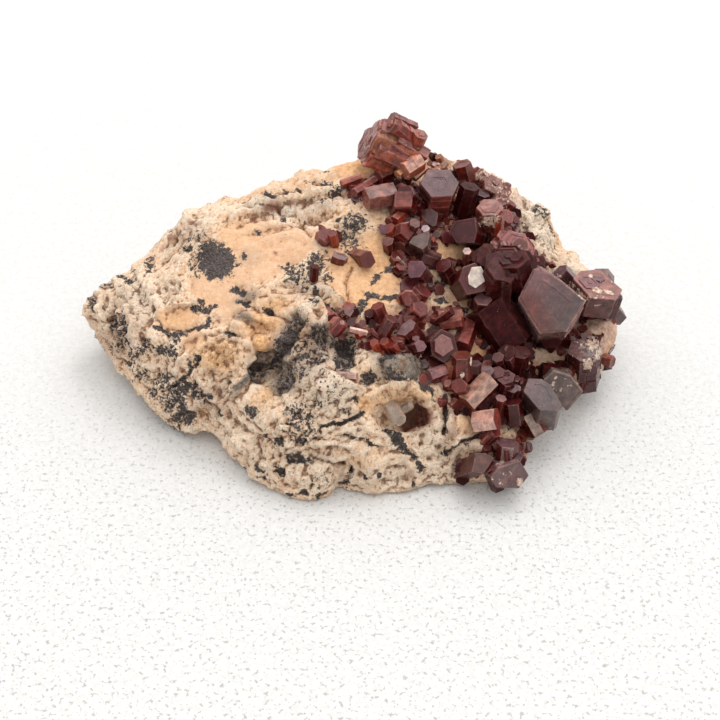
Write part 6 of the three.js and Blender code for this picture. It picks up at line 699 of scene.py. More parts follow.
# pale zones of the crust, and pale lines along the crests of the curled rim and the top ledge: paler crust with
# painted highlight on the crests
pale = np.maximum(spots(uw, vw, PALE, 0.8), 1.2 * lines(uw, vw, [(2.6, [(311, 288), (320, 286.5), (330, 290), (337, 296), (342, 306)]), (1.8, [(232, 219), (244, 212), (268, 210), (282, 213), (298, 208), (318, 204), (334, 205)])], 1.0)) * vis
pale = pale + (1 - vis) * np.clip(fbm(V / 7, 3, 141) * 1.4, 0, 1) * 0.7
grey = spots(uw, vw, GREY, 0.6) * vis + (1 - vis) * np.clip(fbm(V / 9, 2, 121) * 1.3 - 0.2, 0, 1)
pink = spots(uw, vw, PINK, 0.7) * vis + (1 - vis) * np.clip(fbm(V / 9, 2, 131) * 1.3 - 0.1, 0, 1) * 0.6
stain = spots(uw, vw, STAIN, 0.6) * vis
red_ = spots(uw, vw, DRUSE, 0.5) * vis
for (a_, b_, ru_, rv_, rot_) in CLEAR_OF:
    red_ *= 1 - spot(uw, vw, a_, b_, ru_, rv_, rot_, 0.5)
stain = np.maximum(stain, 0.80 * np.clip(red_, 0, 1))
for nm, a in (("dend", dend), ("ochre", ochre), ("grey", grey), ("pink", pink), ("stain", stain), ("dark", dark), ("cav", 0.5 + 0.5 * cav), ("rough", rw), ("pale", pale)):
    put_attr(me, nm, np.clip(a, 0, 1.8))


# ------------------------------------------------------------------ node helpers
class Tree:
    def __init__(self, name):
        self.mat = bpy.data.materials.new(name); self.mat.use_nodes = True
        self.nt = self.mat.node_tree; self.nt.nodes.clear()

    def n(self, kind, **kw):
        nd = self.nt.nodes.new(kind)
        for k, val in kw.items():
            if hasattr(nd, k) and not k.startswith("in_"):
                setattr(nd, k, val)
        return nd

    def link(self, a, b):
        self.nt.links.new(a, b)

    def attr(self, name):
        nd = self.n("ShaderNodeAttribute"); nd.attribute_name = name
        return nd

    def val(self, sock, x):
        if hasattr(x, "is_output"):
            self.link(x, sock)
        elif x is not None:
            sock.default_value = x

    def math(self, op, a, b=None, c=None, clamp=False):
        nd = self.n("ShaderNodeMath"); nd.operation = op; nd.use_clamp = clamp
        self.val(nd.inputs[0], a)
        if b is not None: self.val(nd.inputs[1], b)
        if c is not None: self.val(nd.inputs[2], c)
        return nd.outputs[0]

    def vmath(self, op, a, b=None):
        nd = self.n("ShaderNodeVectorMath"); nd.operation = op
        self.val(nd.inputs[0], a)
        if b is not None:
            if op == "SCALE": self.val(nd.inputs[3], b)
            else: self.val(nd.inputs[1], b)
        return nd.outputs[0]

    def mix(self, f, a, b, mode="MIX"):
        nd = self.n("ShaderNodeMix"); nd.data_type = "RGBA"; nd.blend_type = mode; nd.clamp_factor = True
        self.val(nd.inputs["Factor"], f)
        for s, x in ((nd.inputs[6], a), (nd.inputs[7], b)):
            if hasattr(x, "is_output"): self.link(x, s)
            else: s.default_value = (*x, 1)
        return nd.outputs[2]

    def noise(self, vec, scale, detail=4, rough=0.55, dist=0.0, out="Fac"):
        nd = self.n("ShaderNodeTexNoise"); nd.inputs["Scale"].default_value = scale
        nd.inputs["Detail"].default_value = detail; nd.inputs["Roughness"].default_value = rough
        nd.inputs["Distortion"].default_value = dist
        self.link(vec, nd.inputs["Vector"])
        return nd.outputs[out]

    def voro(self, vec, scale, feature="F1", out="Distance"):
        nd = self.n("ShaderNodeTexVoronoi"); nd.feature = feature; nd.inputs["Scale"].default_value = scale
        self.link(vec, nd.inputs["Vector"])
        return nd.outputs[out]

    def rng(self, x, a, b, c=0.0, d=1.0, smooth=True):
        nd = self.n("ShaderNodeMapRange"); nd.interpolation_type = "SMOOTHSTEP" if smooth else "LINEAR"
        self.val(nd.inputs[0], x)
        for k, y in zip((1, 2, 3, 4), (a, b, c, d)):
            self.val(nd.inputs[k], y)
        return nd.outputs[0]

    def bump(self, h, dist, strength=1.0, normal=None):
        nd = self.n("ShaderNodeBump"); nd.inputs["Strength"].default_value = strength
        nd.inputs["Distance"].default_value = dist
        self.link(h, nd.inputs["Height"])
        if normal is not None: self.link(normal, nd.inputs["Normal"])
        return nd.outputs[0]

    def finish(self, bsdf):
        o = self.n("ShaderNodeOutputMaterial"); self.link(bsdf.outputs[0], o.inputs[0])
        return self.mat


def rock_material():
    t = Tree("host_rock_stone")
    co = t.n("ShaderNodeTexCoord").outputs["Object"]
    p = t.vmath("SCALE", co, 1000.0)
    A = {k: t.attr(k).outputs["Fac"] for k in ("dend", "ochre", "grey", "pink", "stain", "dark", "cav", "rough", "pale")}
    wp = t.vmath("ADD", p, t.vmath("SCALE", t.n_color(p, 1.1), 0.9))
    big = t.noise(p, 0.16, 4, 0.6)
    mid = t.noise(p, 0.60, 5, 0.62)
    fin = t.noise(p, 1.9, 5, 0.66)
    vfin = t.noise(p, 4.6, 4, 0.65)
    # painted shade in the hollows and painted highlight on the peaks of the relief, both read from the cav attribute
    hollow_shade_base = t.rng(A["cav"], 0.66, 1.06); top = t.rng(A["cav"], 0.46, 0.12)
    rough = t.rng(A["rough"], 0.25, 0.80)
    hollow_shade = t.math("MULTIPLY", hollow_shade_base, t.rng(fin, 0.36, 0.58, 0.35, 1.0))
    pale_and_peak_highlight = t.math("MAXIMUM", A["pale"], t.math("MULTIPLY", top, t.math("ADD", 0.20, t.math("MULTIPLY", rough, 0.45))))
    plain = t.mix(t.rng(mid, 0.38, 0.64), (0.70, 0.405, 0.230), (0.79, 0.500, 0.310))
    crust = t.mix(t.rng(mid, 0.38, 0.64), (0.92, 0.570, 0.345), (1.0, 0.725, 0.490))
    cream = t.mix(rough, plain, crust)
    cream = t.mix(t.math("MULTIPLY", t.rng(big, 0.40, 0.60), 0.45), cream, t.mix(rough, (0.76, 0.465, 0.275), (0.92, 0.600, 0.375)))
    cream = t.mix(t.math("MULTIPLY", pale_and_peak_highlight, 0.90), cream, t.mix(t.rng(fin, 0.35, 0.62), (1.0, 0.780, 0.575), (1.0, 0.915, 0.770)))
    # crust grain, dark and light
    gd_ = t.math("MULTIPLY", t.rng(fin, 0.54, 0.68), t.math("ADD", 0.20, t.math("MULTIPLY", rough, 0.12)))
    cream = t.mix(gd_, cream, (0.58, 0.33, 0.175))
    gl_ = t.math("MULTIPLY", t.rng(vfin, 0.54, 0.66), t.math("ADD", 0.10, t.math("MULTIPLY", rough, 0.42)))
    cream = t.mix(gl_, cream, (0.98, 0.88, 0.73))
    # brown mottles on the crust
    mott = t.math("MULTIPLY", t.rng(t.noise(p, 0.95, 6, 0.70), 0.53, 0.66), t.math("ADD", 0.10, t.math("MULTIPLY", rough, 0.62)))
    cream = t.mix(mott, cream, t.mix(t.rng(fin, 0.4, 0.6), (0.24, 0.130, 0.080), (0.52, 0.315, 0.195)))
    # sugary grain a fraction of a millimetre across: its pits are painted darker (painted shade) and its tops lighter
    # (painted highlight), in step with the grain bump
    grn = t.noise(p, 3.1, 4, 0.72)
    grain_pit_shade = t.math("ADD", 0.08, t.math("MULTIPLY", rough, 0.36))
    cream = t.mix(t.math("MULTIPLY", t.rng(grn, 0.53, 0.66), grain_pit_shade), cream, t.mix(1.0, cream, (0.50, 0.35, 0.25), "MULTIPLY"))
    cream = t.mix(t.math("MULTIPLY", t.rng(grn, 0.51, 0.38), t.math("ADD", 0.10, t.math("MULTIPLY", rough, 0.80))), cream, (1.0, 0.880, 0.710))
    spk = t.math("MULTIPLY", t.rng(t.noise(p, 6.0, 3, 0.70), 0.575, 0.65), t.math("MULTIPLY", t.rng(mid, 0.45, 0.60), t.math("ADD", 0.05, t.math("MULTIPLY", rough, 0.50))))
    cream = t.mix(spk, cream, (0.20, 0.125, 0.090))
    # ochre stain
    of = t.math("MULTIPLY", t.math("ADD", A["ochre"], t.rng(big, 0.54, 0.74, 0.0, 0.30)), t.rng(fin, 0.25, 0.6, 0.60, 1.0))
    col = t.mix(t.math("MULTIPLY", of, 0.80), cream, t.mix(t.rng(fin, 0.36, 0.64), (0.92, 0.56, 0.28), (0.66, 0.315, 0.115)))
    # pinkish brown
    col = t.mix(t.math("MULTIPLY", A["pink"], t.rng(mid, 0.3, 0.6, 0.5, 1.0)), col, t.mix(t.rng(fin, 0.4, 0.6), (0.36, 0.20, 0.15), (0.66, 0.47, 0.37)))
    # grey crust
    col = t.mix(t.math("MULTIPLY", A["grey"], t.rng(fin, 0.3, 0.6, 0.55, 1.0)), col, t.mix(t.rng(fin, 0.42, 0.60), (0.060, 0.050, 0.044), (0.34, 0.285, 0.235)))
    # reddish stain
    col = t.mix(t.math("MULTIPLY", A["stain"], 0.85), col, t.mix(t.rng(fin, 0.4, 0.6), (0.20, 0.045, 0.022), (0.36, 0.11, 0.06)))
    # pores and crevice outlines darker, and painted shade in the hollows of the relief
    pin = t.math("MULTIPLY", t.rng(t.voro(wp, 1.35), 0.10, 0.22, 1.0, 0.0), t.math("MULTIPLY", t.rng(mid, 0.48, 0.60), t.math("ADD", 0.08, t.math("MULTIPLY", rough, 0.34))))
    col = t.mix(pin, col, (0.24, 0.135, 0.080))
    edg = t.math("MULTIPLY", t.rng(t.voro(wp, 0.85, "DISTANCE_TO_EDGE"), 0.012, 0.055, 1.0, 0.0), t.math("MULTIPLY", t.rng(t.noise(p, 0.75, 3, 0.5), 0.50, 0.62), t.math("MULTIPLY", rough, 0.40)))
    col = t.mix(edg, col, (0.27, 0.150, 0.092))
    col = t.mix(t.math("MULTIPLY", hollow_shade, 0.92), col, (0.26, 0.125, 0.070))
    # near-black in the deep hollows and trench: dark porous rock with painted shade
    deep_hollow_shade = t.math("MULTIPLY", A["dark"], t.rng(fin, 0.44, 0.60, 1.0, 0.55))
    col = t.mix(deep_hollow_shade, col, t.mix(t.rng(fin, 0.40, 0.60), (0.026, 0.022, 0.022), (0.19, 0.155, 0.14)))
    # manganese dendrites: small branching clots, as dense as the zone allows
    warp = t.vmath("ADD", p, t.vmath("SCALE", t.n_color(p, 2.0), 0.8))
    s2 = t.noise(warp, 1.9, 4, 0.60)
    s3 = t.noise(p, 4.2, 3, 0.60)
    mix = t.math("ADD", t.math("MULTIPLY", s2, 0.72), t.math("MULTIPLY", s3, 0.28))
    mix = t.math("ADD", mix, t.math("MULTIPLY", hollow_shade, 0.035))
    bare = t.math("ADD", 0.004, t.math("MULTIPLY", rough, 0.016))
    dd = t.math("ADD", t.math("MULTIPLY", A["dend"], 0.222), bare)
    dd = t.math("ADD", dd, t.math("MULTIPLY", t.math("MULTIPLY", t.rng(mid, 0.50, 0.64), rough), 0.024))
    lo_ = t.math("SUBTRACT", 0.665, dd)
    m = t.math("MULTIPLY", t.rng(t.math("SUBTRACT", mix, lo_), 0.0, 0.018), t.rng(t.noise(p, 5.2, 3, 0.70), 0.37, 0.47, 0.84, 1.0))
    brown = t.rng(A["dend"], 0.12, 0.40)
    ink = t.mix(brown, (0.115, 0.068, 0.048), t.mix(t.rng(vfin, 0.42, 0.62), (0.028, 0.022, 0.021), (0.115, 0.092, 0.086)))
    col = t.mix(m, col, ink)
    halo = t.math("MULTIPLY", t.math("MULTIPLY", t.rng(t.math("SUBTRACT", mix, lo_), -0.055, 0.01), t.rng(A["dend"], 0.1, 0.5)), t.math("SUBTRACT", 1.0, m))
    col = t.mix(t.math("MULTIPLY", halo, 0.45), col, (0.30, 0.235, 0.195))
    b = t.n("ShaderNodeBsdfPrincipled")
    t.link(col, b.inputs["Base Color"])
    t.link(t.rng(m, 0, 1, 0.88, 0.66), b.inputs["Roughness"])
    b.inputs["Specular IOR Level"].default_value = 0.30
    g1 = t.voro(wp, 1.9)
    g2 = t.noise(p, 1.5, 8, 0.70)
    g3 = t.noise(p, 7.0, 4, 0.65)
    h = t.math("ADD", t.math("MULTIPLY", g2, 0.9), t.math("MULTIPLY", g3, 0.25))
    h = t.math("ADD", h, t.math("MULTIPLY", t.math("SUBTRACT", 1.0, grn), 0.62))
    h = t.math("SUBTRACT", h, t.math("MULTIPLY", g1, 0.40))
    h = t.math("SUBTRACT", h, t.math("MULTIPLY", edg, 0.45))
    h = t.math("SUBTRACT", h, t.math("MULTIPLY", pin, 0.45))
    h = t.math("MULTIPLY", h, t.rng(A["rough"], 0.0, 1.2, 0.33, 0.80, False))
    h = t.math("ADD", h, t.math("MULTIPLY", m, 0.10))
    t.link(t.bump(h, 0.00062, 1.0), b.inputs["Normal"])
    return t.finish(b)


def _ncol(self, vec, scale):
    nd = self.n("ShaderNodeTexNoise"); nd.inputs["Scale"].default_value = scale; nd.inputs["Detail"].default_value = 3
    self.link(vec, nd.inputs["Vector"])
    s = self.vmath("SUBTRACT", nd.outputs["Color"], (0.5, 0.5, 0.5))
    return s


Tree.n_color = _ncol


def vanadinite_material(label, gloss):
    t = Tree(label)
    tint = t.attr("tint").outputs["Color"]; lc = t.attr("lc").outputs["Vector"]
    edge = t.attr("edge").outputs["Fac"]; dust = t.attr("dust").outputs["Fac"]; end = t.attr("endface").outputs["Fac"]
    cloud = t.noise(lc, 0.85, 6, 0.66, 0.0)
    fine = t.noise(lc, 3.0, 5, 0.62)
    # growth lines: across the axis on the sides, round the axis on the ends
    side = t.vmath("MULTIPLY", lc, (0.35, 0.35, 5.5))
    stri = t.noise(side, 1.0, 5, 0.6)
    down = t.vmath("MULTIPLY", lc, (3.5, 3.5, 0.25))
    stri2 = t.noise(down, 1.0, 4, 0.6)
    lo = t.mix(1.0, tint, (0.60, 0.52, 0.52), "MULTIPLY"); hi = t.mix(1.0, tint, (1.55, 1.42, 1.36), "MULTIPLY")
    amt = t.rng(cloud, 0.32, 0.68)
    soft = t.math("ADD", t.math("MULTIPLY", t.math("SUBTRACT", amt, 0.42), t.math("SUBTRACT", 1.0, t.math("MULTIPLY", end, 0.5))), 0.42)
    col = t.mix(soft, lo, hi)
    bands = t.math("MULTIPLY", t.rng(stri, 0.54, 0.70), t.math("SUBTRACT", 0.20, t.math("MULTIPLY", end, 0.18)))
    col = t.mix(bands, col, t.mix(1.0, tint, (1.9, 2.0, 1.9), "MULTIPLY"))
    # painted glints along inner flaws, where they would catch the light
    fl = t.voro(t.vmath("ADD", lc, t.vmath("SCALE", t.n_color(lc, 0.9), 1.1)), 0.85, "DISTANCE_TO_EDGE")
    flaw_glint = t.math("MULTIPLY", t.rng(fl, 0.0, 0.05, 1.0, 0.0), t.rng(cloud, 0.46, 0.62))
    col = t.mix(t.math("MULTIPLY", flaw_glint, 0.30), col, t.mix(1.0, tint, (2.3, 2.6, 2.2), "MULTIPLY"))
    # orange patches: tone variation with a painted glow of light shining through the crystal
    warm_glow = t.math("MULTIPLY", t.rng(t.noise(lc, 0.85, 3, 0.5), 0.56, 0.70), 0.30)
    col = t.mix(warm_glow, col, t.mix(1.0, tint, (2.3, 1.5, 1.0), "MULTIPLY"))
    # painted highlight along the crystal edges, in patches like wear
    edge_wear_highlight = t.rng(t.noise(lc, 1.3, 4, 0.6), 0.34, 0.66, 0.03, 0.50 if gloss > 0.1 else 0.26)
    frost = t.math("MULTIPLY", t.rng(t.noise(lc, 7.5, 3, 0.7), 0.55, 0.66), t.math("ADD", 0.16, t.math("MULTIPLY", end, 0.20)))
    col = t.mix(frost, col, t.mix(1.0, tint, (2.1, 2.2, 2.1), "MULTIPLY"))
    col = t.mix(t.math("MULTIPLY", t.math("POWER", edge, 3.0), edge_wear_highlight), col, t.mix(0.5, t.mix(1.0, tint, (2.7, 2.7, 2.5), "MULTIPLY"), (0.34, 0.185, 0.15)))
    speck = t.math("MULTIPLY", t.rng(t.voro(lc, 2.3), 0.035, 0.080, 1.0, 0.0), t.rng(t.noise(lc, 0.8, 3, 0.5), 0.47, 0.6))
    col = t.mix(t.math("MULTIPLY", speck, 0.7), col, (0.58, 0.46, 0.40))
    dm = t.rng(t.math("SUBTRACT", t.noise(lc, 1.9, 6, 0.70), t.math("SUBTRACT", 0.72, t.math("MULTIPLY", dust, 0.36))), 0.0, 0.05)
    col = t.mix(t.math("MULTIPLY", dm, 0.90), col, t.mix(t.rng(fine, 0.4, 0.62), (0.46, 0.31, 0.235), (0.82, 0.66, 0.52)))
    b = t.n("ShaderNodeBsdfPrincipled")
    t.link(col, b.inputs["Base Color"])
    r = t.math("ADD", t.rng(fine, 0.3, 0.75, 0.10, 0.26), t.math("MULTIPLY", dm, 0.45))
    t.link(r, b.inputs["Roughness"])
    b.inputs["IOR"].default_value = 1.56
    b.inputs["Specular IOR Level"].default_value = gloss
    b.inputs["Subsurface Weight"].default_value = 0.08
    b.inputs["Subsurface Radius"].default_value = (1.0, 0.12, 0.06)
    b.inputs["Subsurface Scale"].default_value = 0.0009
    h = t.math("ADD", t.math("MULTIPLY", t.noise(lc, 1.1, 5, 0.6), 0.55), t.math("MULTIPLY", fine, 0.25))
    h = t.math("ADD", h, t.math("MULTIPLY", stri, t.math("SUBTRACT", 0.30, t.math("MULTIPLY", end, 0.26))))
    h = t.math("ADD", h, t.math("MULTIPLY", stri2, t.math("SUBTRACT", 0.12, t.math("MULTIPLY", end, 0.1))))
    h = t.math("ADD", h, t.math("MULTIPLY", dm, 0.35))
    t.link(t.bump(h, 0.00012, 1.0), b.inputs["Normal"])
    return t.finish(b)


def clear_material():
    t = Tree("clear_crystal_glass")
    lc = t.attr("lc").outputs["Vector"]
    b = t.n("ShaderNodeBsdfPrincipled")
    c = t.mix(t.rng(t.noise(lc, 0.9, 4, 0.6), 0.35, 0.65), (0.62, 0.52, 0.43), (0.86, 0.80, 0.73))
    t.link(c, b.inputs["Base Color"])
    t.link(t.rng(t.noise(lc, 2.5, 4, 0.6), 0.3, 0.7, 0.05, 0.16), b.inputs["Roughness"])
    b.inputs["Transmission Weight"].default_value = 0.85
    b.inputs["IOR"].default_value = 1.52
    t.link(t.bump(t.noise(lc, 1.0, 3, 0.5), 0.00005, 1.0), b.inputs["Normal"])
    return t.finish(b)


ROCK = rock_material(); RED = vanadinite_material("vanadinite_crystal", 0.34); DEEP = vanadinite_material("vanadinite_dark_faces", 0.08); CLEARM = clear_material()
rock.data.materials.append(ROCK)
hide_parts("host_rock"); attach(rock, "root")

# ------------------------------------------------------------------ crystals
# kind: side colour, end colour (its mauve-grey partly a painted sheen; the whitecap end is a painted reflection),
# colour of faces turned up (a painted sheen of the light from above), dust, step height, roughness of form; the glow
# kind is a painted glow of light through the crystal
KIND = {
    "red": ((0.066, 0.006, 0.004), (0.105, 0.024, 0.020), (0.165, 0.058, 0.046), 0.10, 1.0, 0.0),
    "dark": ((0.034, 0.004, 0.004), (0.050, 0.014, 0.014), (0.085, 0.040, 0.037), 0.06, 1.0, 0.0),
    "deep": ((0.024, 0.002, 0.002), (0.030, 0.003, 0.003), (0.030, 0.003, 0.003), 0.04, 0.8, 0.0),
    "maroon": ((0.038, 0.003, 0.003), (0.062, 0.010, 0.011), (0.095, 0.026, 0.024), 0.05, 0.8, 0.0),
    "glow": ((0.190, 0.026, 0.012), (0.150, 0.026, 0.018), (0.23, 0.070, 0.048), 0.05, 1.0, 0.0),
    "rust": ((0.078, 0.009, 0.006), (0.115, 0.021, 0.015), (0.17, 0.058, 0.044), 0.08, 1.2, 0.15),
    "mauve": ((0.042, 0.006, 0.005), (0.092, 0.050, 0.051), (0.115, 0.063, 0.063), 0.06, 1.0, 0.0),
    "cool": ((0.044, 0.007, 0.006), (0.112, 0.060, 0.064), (0.13, 0.066, 0.066), 0.08, 1.0, 0.0),
    "lilac": ((0.065, 0.010, 0.008), (0.168, 0.092, 0.096), (0.19, 0.105, 0.102), 0.04, 0.8, 0.0),
    "pale": ((0.160, 0.040, 0.026), (0.42, 0.32, 0.28), (0.46, 0.36, 0.32), 0.20, 1.0, 0.1),
    "rose": ((0.120, 0.026, 0.018), (0.20, 0.072, 0.062), (0.24, 0.105, 0.090), 0.24, 2.0, 0.6),
    "tan": ((0.200, 0.062, 0.030), (0.26, 0.110, 0.062), (0.40, 0.225, 0.150), 0.22, 1.0, 0.1),
    "satin": ((0.078, 0.010, 0.007), (0.120, 0.026, 0.018), (0.275, 0.155, 0.120), 0.10, 0.9, 0.0),
    "tab": ((0.050, 0.020, 0.020), (0.155, 0.078, 0.074), (0.115, 0.062, 0.060), 0.16, 1.4, 0.3),
    "grey": ((0.046, 0.020, 0.019), (0.098, 0.065, 0.069), (0.110, 0.080, 0.078), 0.08, 0.8, 0.0),
    "twin": ((0.036, 0.018, 0.017), (0.100, 0.062, 0.062), (0.112, 0.075, 0.074), 0.10, 0.8, 0.0),
    "rough": ((0.130, 0.034, 0.024), (0.185, 0.072, 0.060), (0.24, 0.110, 0.092), 0.34, 2.2, 1.0),
    "crust": ((0.036, 0.006, 0.006), (0.115, 0.066, 0.060), (0.20, 0.105, 0.095), 0.20, 1.3, 0.25),
    "whitecap": ((0.085, 0.020, 0.018), (0.47, 0.385, 0.365), (0.40, 0.38, 0.36), 0.10, 0.5, 0.0),
    "amber": ((0.205, 0.050, 0.026), (0.21, 0.078, 0.064), (0.215, 0.078, 0.062), 0.14, 2.0, 0.85),
    "ambermauve": ((0.150, 0.036, 0.024), (0.195, 0.074, 0.064), (0.225, 0.098, 0.086), 0.16, 1.8, 0.60),
    "core": ((0.026, 0.004, 0.004), (0.046, 0.014, 0.015), (0.070, 0.022, 0.021), 0.08, 2.4, 0.35), "lilmar": ((0.042, 0.005, 0.004), (0.105, 0.042, 0.044), (0.12, 0.05, 0.05), 0.05, 0.8, 0.0), "bdark": ((0.022, 0.003, 0.003), (0.034, 0.008, 0.009), (0.026, 0.004, 0.005), 0.04, 1.4, 0.15), "boxk": ((0.125, 0.040, 0.030), (0.150, 0.056, 0.046), (0.135, 0.060, 0.052), 0.20, 1.2, 0.25),
    # bigface: the great crystal's sides are painted lighter to lift the shade they sit in, a painted light
    "bigface": ((0.150, 0.080, 0.074), (0.10, 0.055, 0.055), (0.095, 0.045, 0.042), 0.05, 0.9, 0.0), "clear": ((0.7, 0.6, 0.5), (0.7, 0.6, 0.5), (0.7, 0.6, 0.5), 0.0, 0.6, 0.1),
}
RETUNE = {"great": "bigface", "hex_one": "cool", "mauve_hex": "lilac", "mauve_slope": "mauve", "barrel_core": "core", "barrel_left": "core", "barrel_plate": "core", "barrel_edge": "rose", "barrel_top": "rose", "barrel_back": "rose",
          "barrel_facet": "rust", "twin_a": "twin", "twin_b": "grey", "twin_back": "deep", "dusted": "crust", "dusted_side": "deep", "tabular": "tab", "tip_red": "rust", "tab_mid": "tab", "tab_low": "mauve", "tab_grey": "grey", "tab_front": "grey",
          "summit_main": "amber", "summit_cap": "ambermauve", "summit_top": "ambermauve", "summit_block": "ambermauve", "summit_plate": "ambermauve", "summit_plate2": "ambermauve", "summit_right": "ambermauve", "summit_left": "ambermauve",
          "summit_low": "amber", "summit_band": "ambermauve", "big_dark": "bdark", "foot_main": "mauve", "foot_column": "mauve", "foot_left": "maroon", "foot_back": "maroon", "waist": "mauve", "knob_a": "dark", "knob_b": "dark", "knob_c": "maroon",
          "red_cluster_a": "maroon", "red_cluster_b": "maroon", "red_cluster_c": "maroon", "pink_hex": "lilac", "pink_hex_s": "rose", "dark_vertical": "maroon", "hex_two": "maroon", "dark_hex": "rust", "hex_four": "lilac", "hex_four_body": "maroon",
          "white_cap_body": "maroon", "leaning": "lilmar", "round_red": "rust", "round_red_b": "rust", "box_prism": "boxk", "right_of_box": "maroon", "long_lath": "satin", "low_prism_b": "satin", "low_prism_a": "maroon", "low_prism_b2": "rust",
          "prism_w": "lilac", "vert_prism": "satin", "vert_prism_r": "mauve", "pink_prism": "rose", "pink_low": "rose", "flat_red_1": "glow", "bevel_prism": "maroon", "rounded_xl": "rust", "facet_xl": "satin", "lath_dark_a": "rust", "lath_dark_b": "rust",
          "dark_tab_a": "maroon", "dark_tab_b": "maroon", "dark_block": "maroon", "block_west": "rust", "loose_a": "satin", "loose_b": "satin", "prism_59": "satin", "prism_60": "satin", "small_hex_a": "cool", "west_hex": "lilac", "red_right": "maroon",
          "brown_small": "rust", "under_dark": "dark", "under_strip": "deep", "dark_right": "deep", "step_a": "rough", "step_b": "rough", "back_top": "satin", "bar_bright": "pale", "plate_tri": "lilac", "flake": "pale"}
# single faces that differ from the rest of their crystal: (name, face) -> colour
# colour drifting across an end face, a painted reflection and highlight: places in the display view and their colours
GRAD_SHEEN = {"great": [(526, 312, (0.105, 0.030, 0.025)), (540, 270, (0.150, 0.078, 0.084)), (560, 300, (0.086, 0.052, 0.053)), (576, 326, (0.064, 0.050, 0.047)), (587, 298, (0.070, 0.052, 0.051)), (536, 332, (0.090, 0.032, 0.026))],
        "twin_a": [(526, 380, (0.110, 0.068, 0.069)), (548, 400, (0.078, 0.058, 0.057)), (530, 410, (0.072, 0.050, 0.050))],
        "hex_one": [(440, 155, (0.124, 0.064, 0.068)), (460, 170, (0.084, 0.042, 0.045))],
        "summit_main": [(364, 135, (0.21, 0.088, 0.072)), (378, 165, (0.28, 0.14, 0.118))],
        "barrel_core": [(480, 250, (0.034, 0.009, 0.009)), (515, 240, (0.105, 0.034, 0.030)), (505, 275, (0.050, 0.017, 0.018))]}
# colour of the one side face that looks most at the viewer, with the light and sheen it shows painted in
SHOW_SHEEN = {"low_prism_a": (0.185, 0.130, 0.134), "hex_one": (0.150, 0.034, 0.025), "great": (0.085, 0.040, 0.036), "box_prism": (0.125, 0.052, 0.044), "tan_prism": (0.30, 0.200, 0.138), "foot_column": (0.118, 0.078, 0.074), "leaning": (0.070, 0.012, 0.009), "long_lath": (0.275, 0.178, 0.145), "low_prism_b": (0.310, 0.205, 0.170)}
TRIM = {"summit_main": (0.84, (0.0, 0.28, 0.32)), "tan_prism": (1.0, (-0.2, -2.15, 1.75)), "tan_small": (1.0, (0.0, -1.5, 1.25)), "tan_sliver": (1.0, (0.0, -1.5, 1.25)),
        "low_prism_a": (1.0, (0.0, -0.98, 0.85)), "summit_plate": (0.82, (-0.1, -0.36, -0.42)), "summit_plate2": (0.82, (-0.1, -0.36, -0.42))}
RAISE = {"white_cap": 0.45, "grey_hex": 0.15, "tip_red": -1.0}
FACE = {("big_dark", 0): (0.030, 0.007, 0.008), ("big_dark", 1): (0.026, 0.006, 0.007), ("twin_a", 0): (0.058, 0.040, 0.038), ("twin_a", 1): (0.058, 0.040, 0.038)}
# where cream crust clings to the crystals, in the display view; the spots at (462, 375) and (471, 362) are painted
# glints on the upright prism
CLING_AND_GLINTS = [(574, 287, 17, 3.5, 36, 0.62), (582, 296, 7, 4, 40, 0.8), (592, 343, 8, 9, 10, 0.85), (584, 347, 7, 5, 20, 0.6), (588, 364, 6, 7, 0, 0.95), (598, 354, 4, 10, 20, 0.8), (576, 340, 6, 3, 0, 0.45),
         (590, 276, 3, 2.6, 0, 1.0), (597, 290, 6, 3, 20, 1.0), (608, 292, 7, 2.2, 20, 0.95), (613, 282, 3, 1.5, 10, 0.7), (594, 297, 12, 3, 0, 0.6), (606, 285, 8, 3, 25, 0.4), (600, 305, 8, 3, -10, 0.5), (559, 276, 4, 2, 30, 0.8),
         (554, 382, 4, 8, 20, 0.62), (560, 392, 6, 6, 0, 0.5), (574, 384, 8, 4, 0, 0.5), (564, 378, 5, 3, 0, 0.5), (500, 463, 6, 2, -30, 0.7), (508, 474, 9, 3, -20, 0.5), (500, 482, 12, 3, 12, 0.55), (520, 482, 4, 5, 0, 0.95),
         (512, 452, 4, 6, 0, 0.45), (508, 436, 9, 2, 0, 0.9), (500, 190, 18, 7, 20, 0.55), (490, 222, 13, 7, 0, 0.8), (497, 217, 9, 4, 30, 0.5), (510, 212, 9, 5, 30, 0.4), (500, 241, 18, 2, -8, 0.35), (520, 236, 8, 4, 30, 0.3), (402, 178, 12, 3, 0, 0.5),
         (392, 142, 9, 4, 20, 0.35), (385, 150, 6, 6, 0, 0.35), (430, 372, 4, 6, 0, 0.3), (415, 356, 10, 3, 0, 0.5), (340, 318, 9, 10, 0, 0.45), (560, 337, 6, 3, 0, 0.35), (462, 375, 2.5, 4, 0, 0.9), (471, 362, 1.3, 5, 0, 0.9), (366, 200, 3, 9, 0, 0.35),
         (361, 203, 3, 9, 0, 0.6), (545, 268, 4, 2, 20, 0.4), (570, 330, 5, 2, -30, 0.4), (468, 376, 10, 4, 0, 0.2)]


def frame_of(az, lean):
    a = math.radians(az); p = math.radians(lean)
    w = np.array([math.sin(p) * math.cos(a), math.sin(p) * math.sin(a), math.cos(p)])
    e1 = np.array([math.cos(p) * math.cos(a), math.cos(p) * math.sin(a), -math.sin(p)])
    e2 = np.array([-math.sin(a), math.cos(a), 0])
    return e1, e2, w


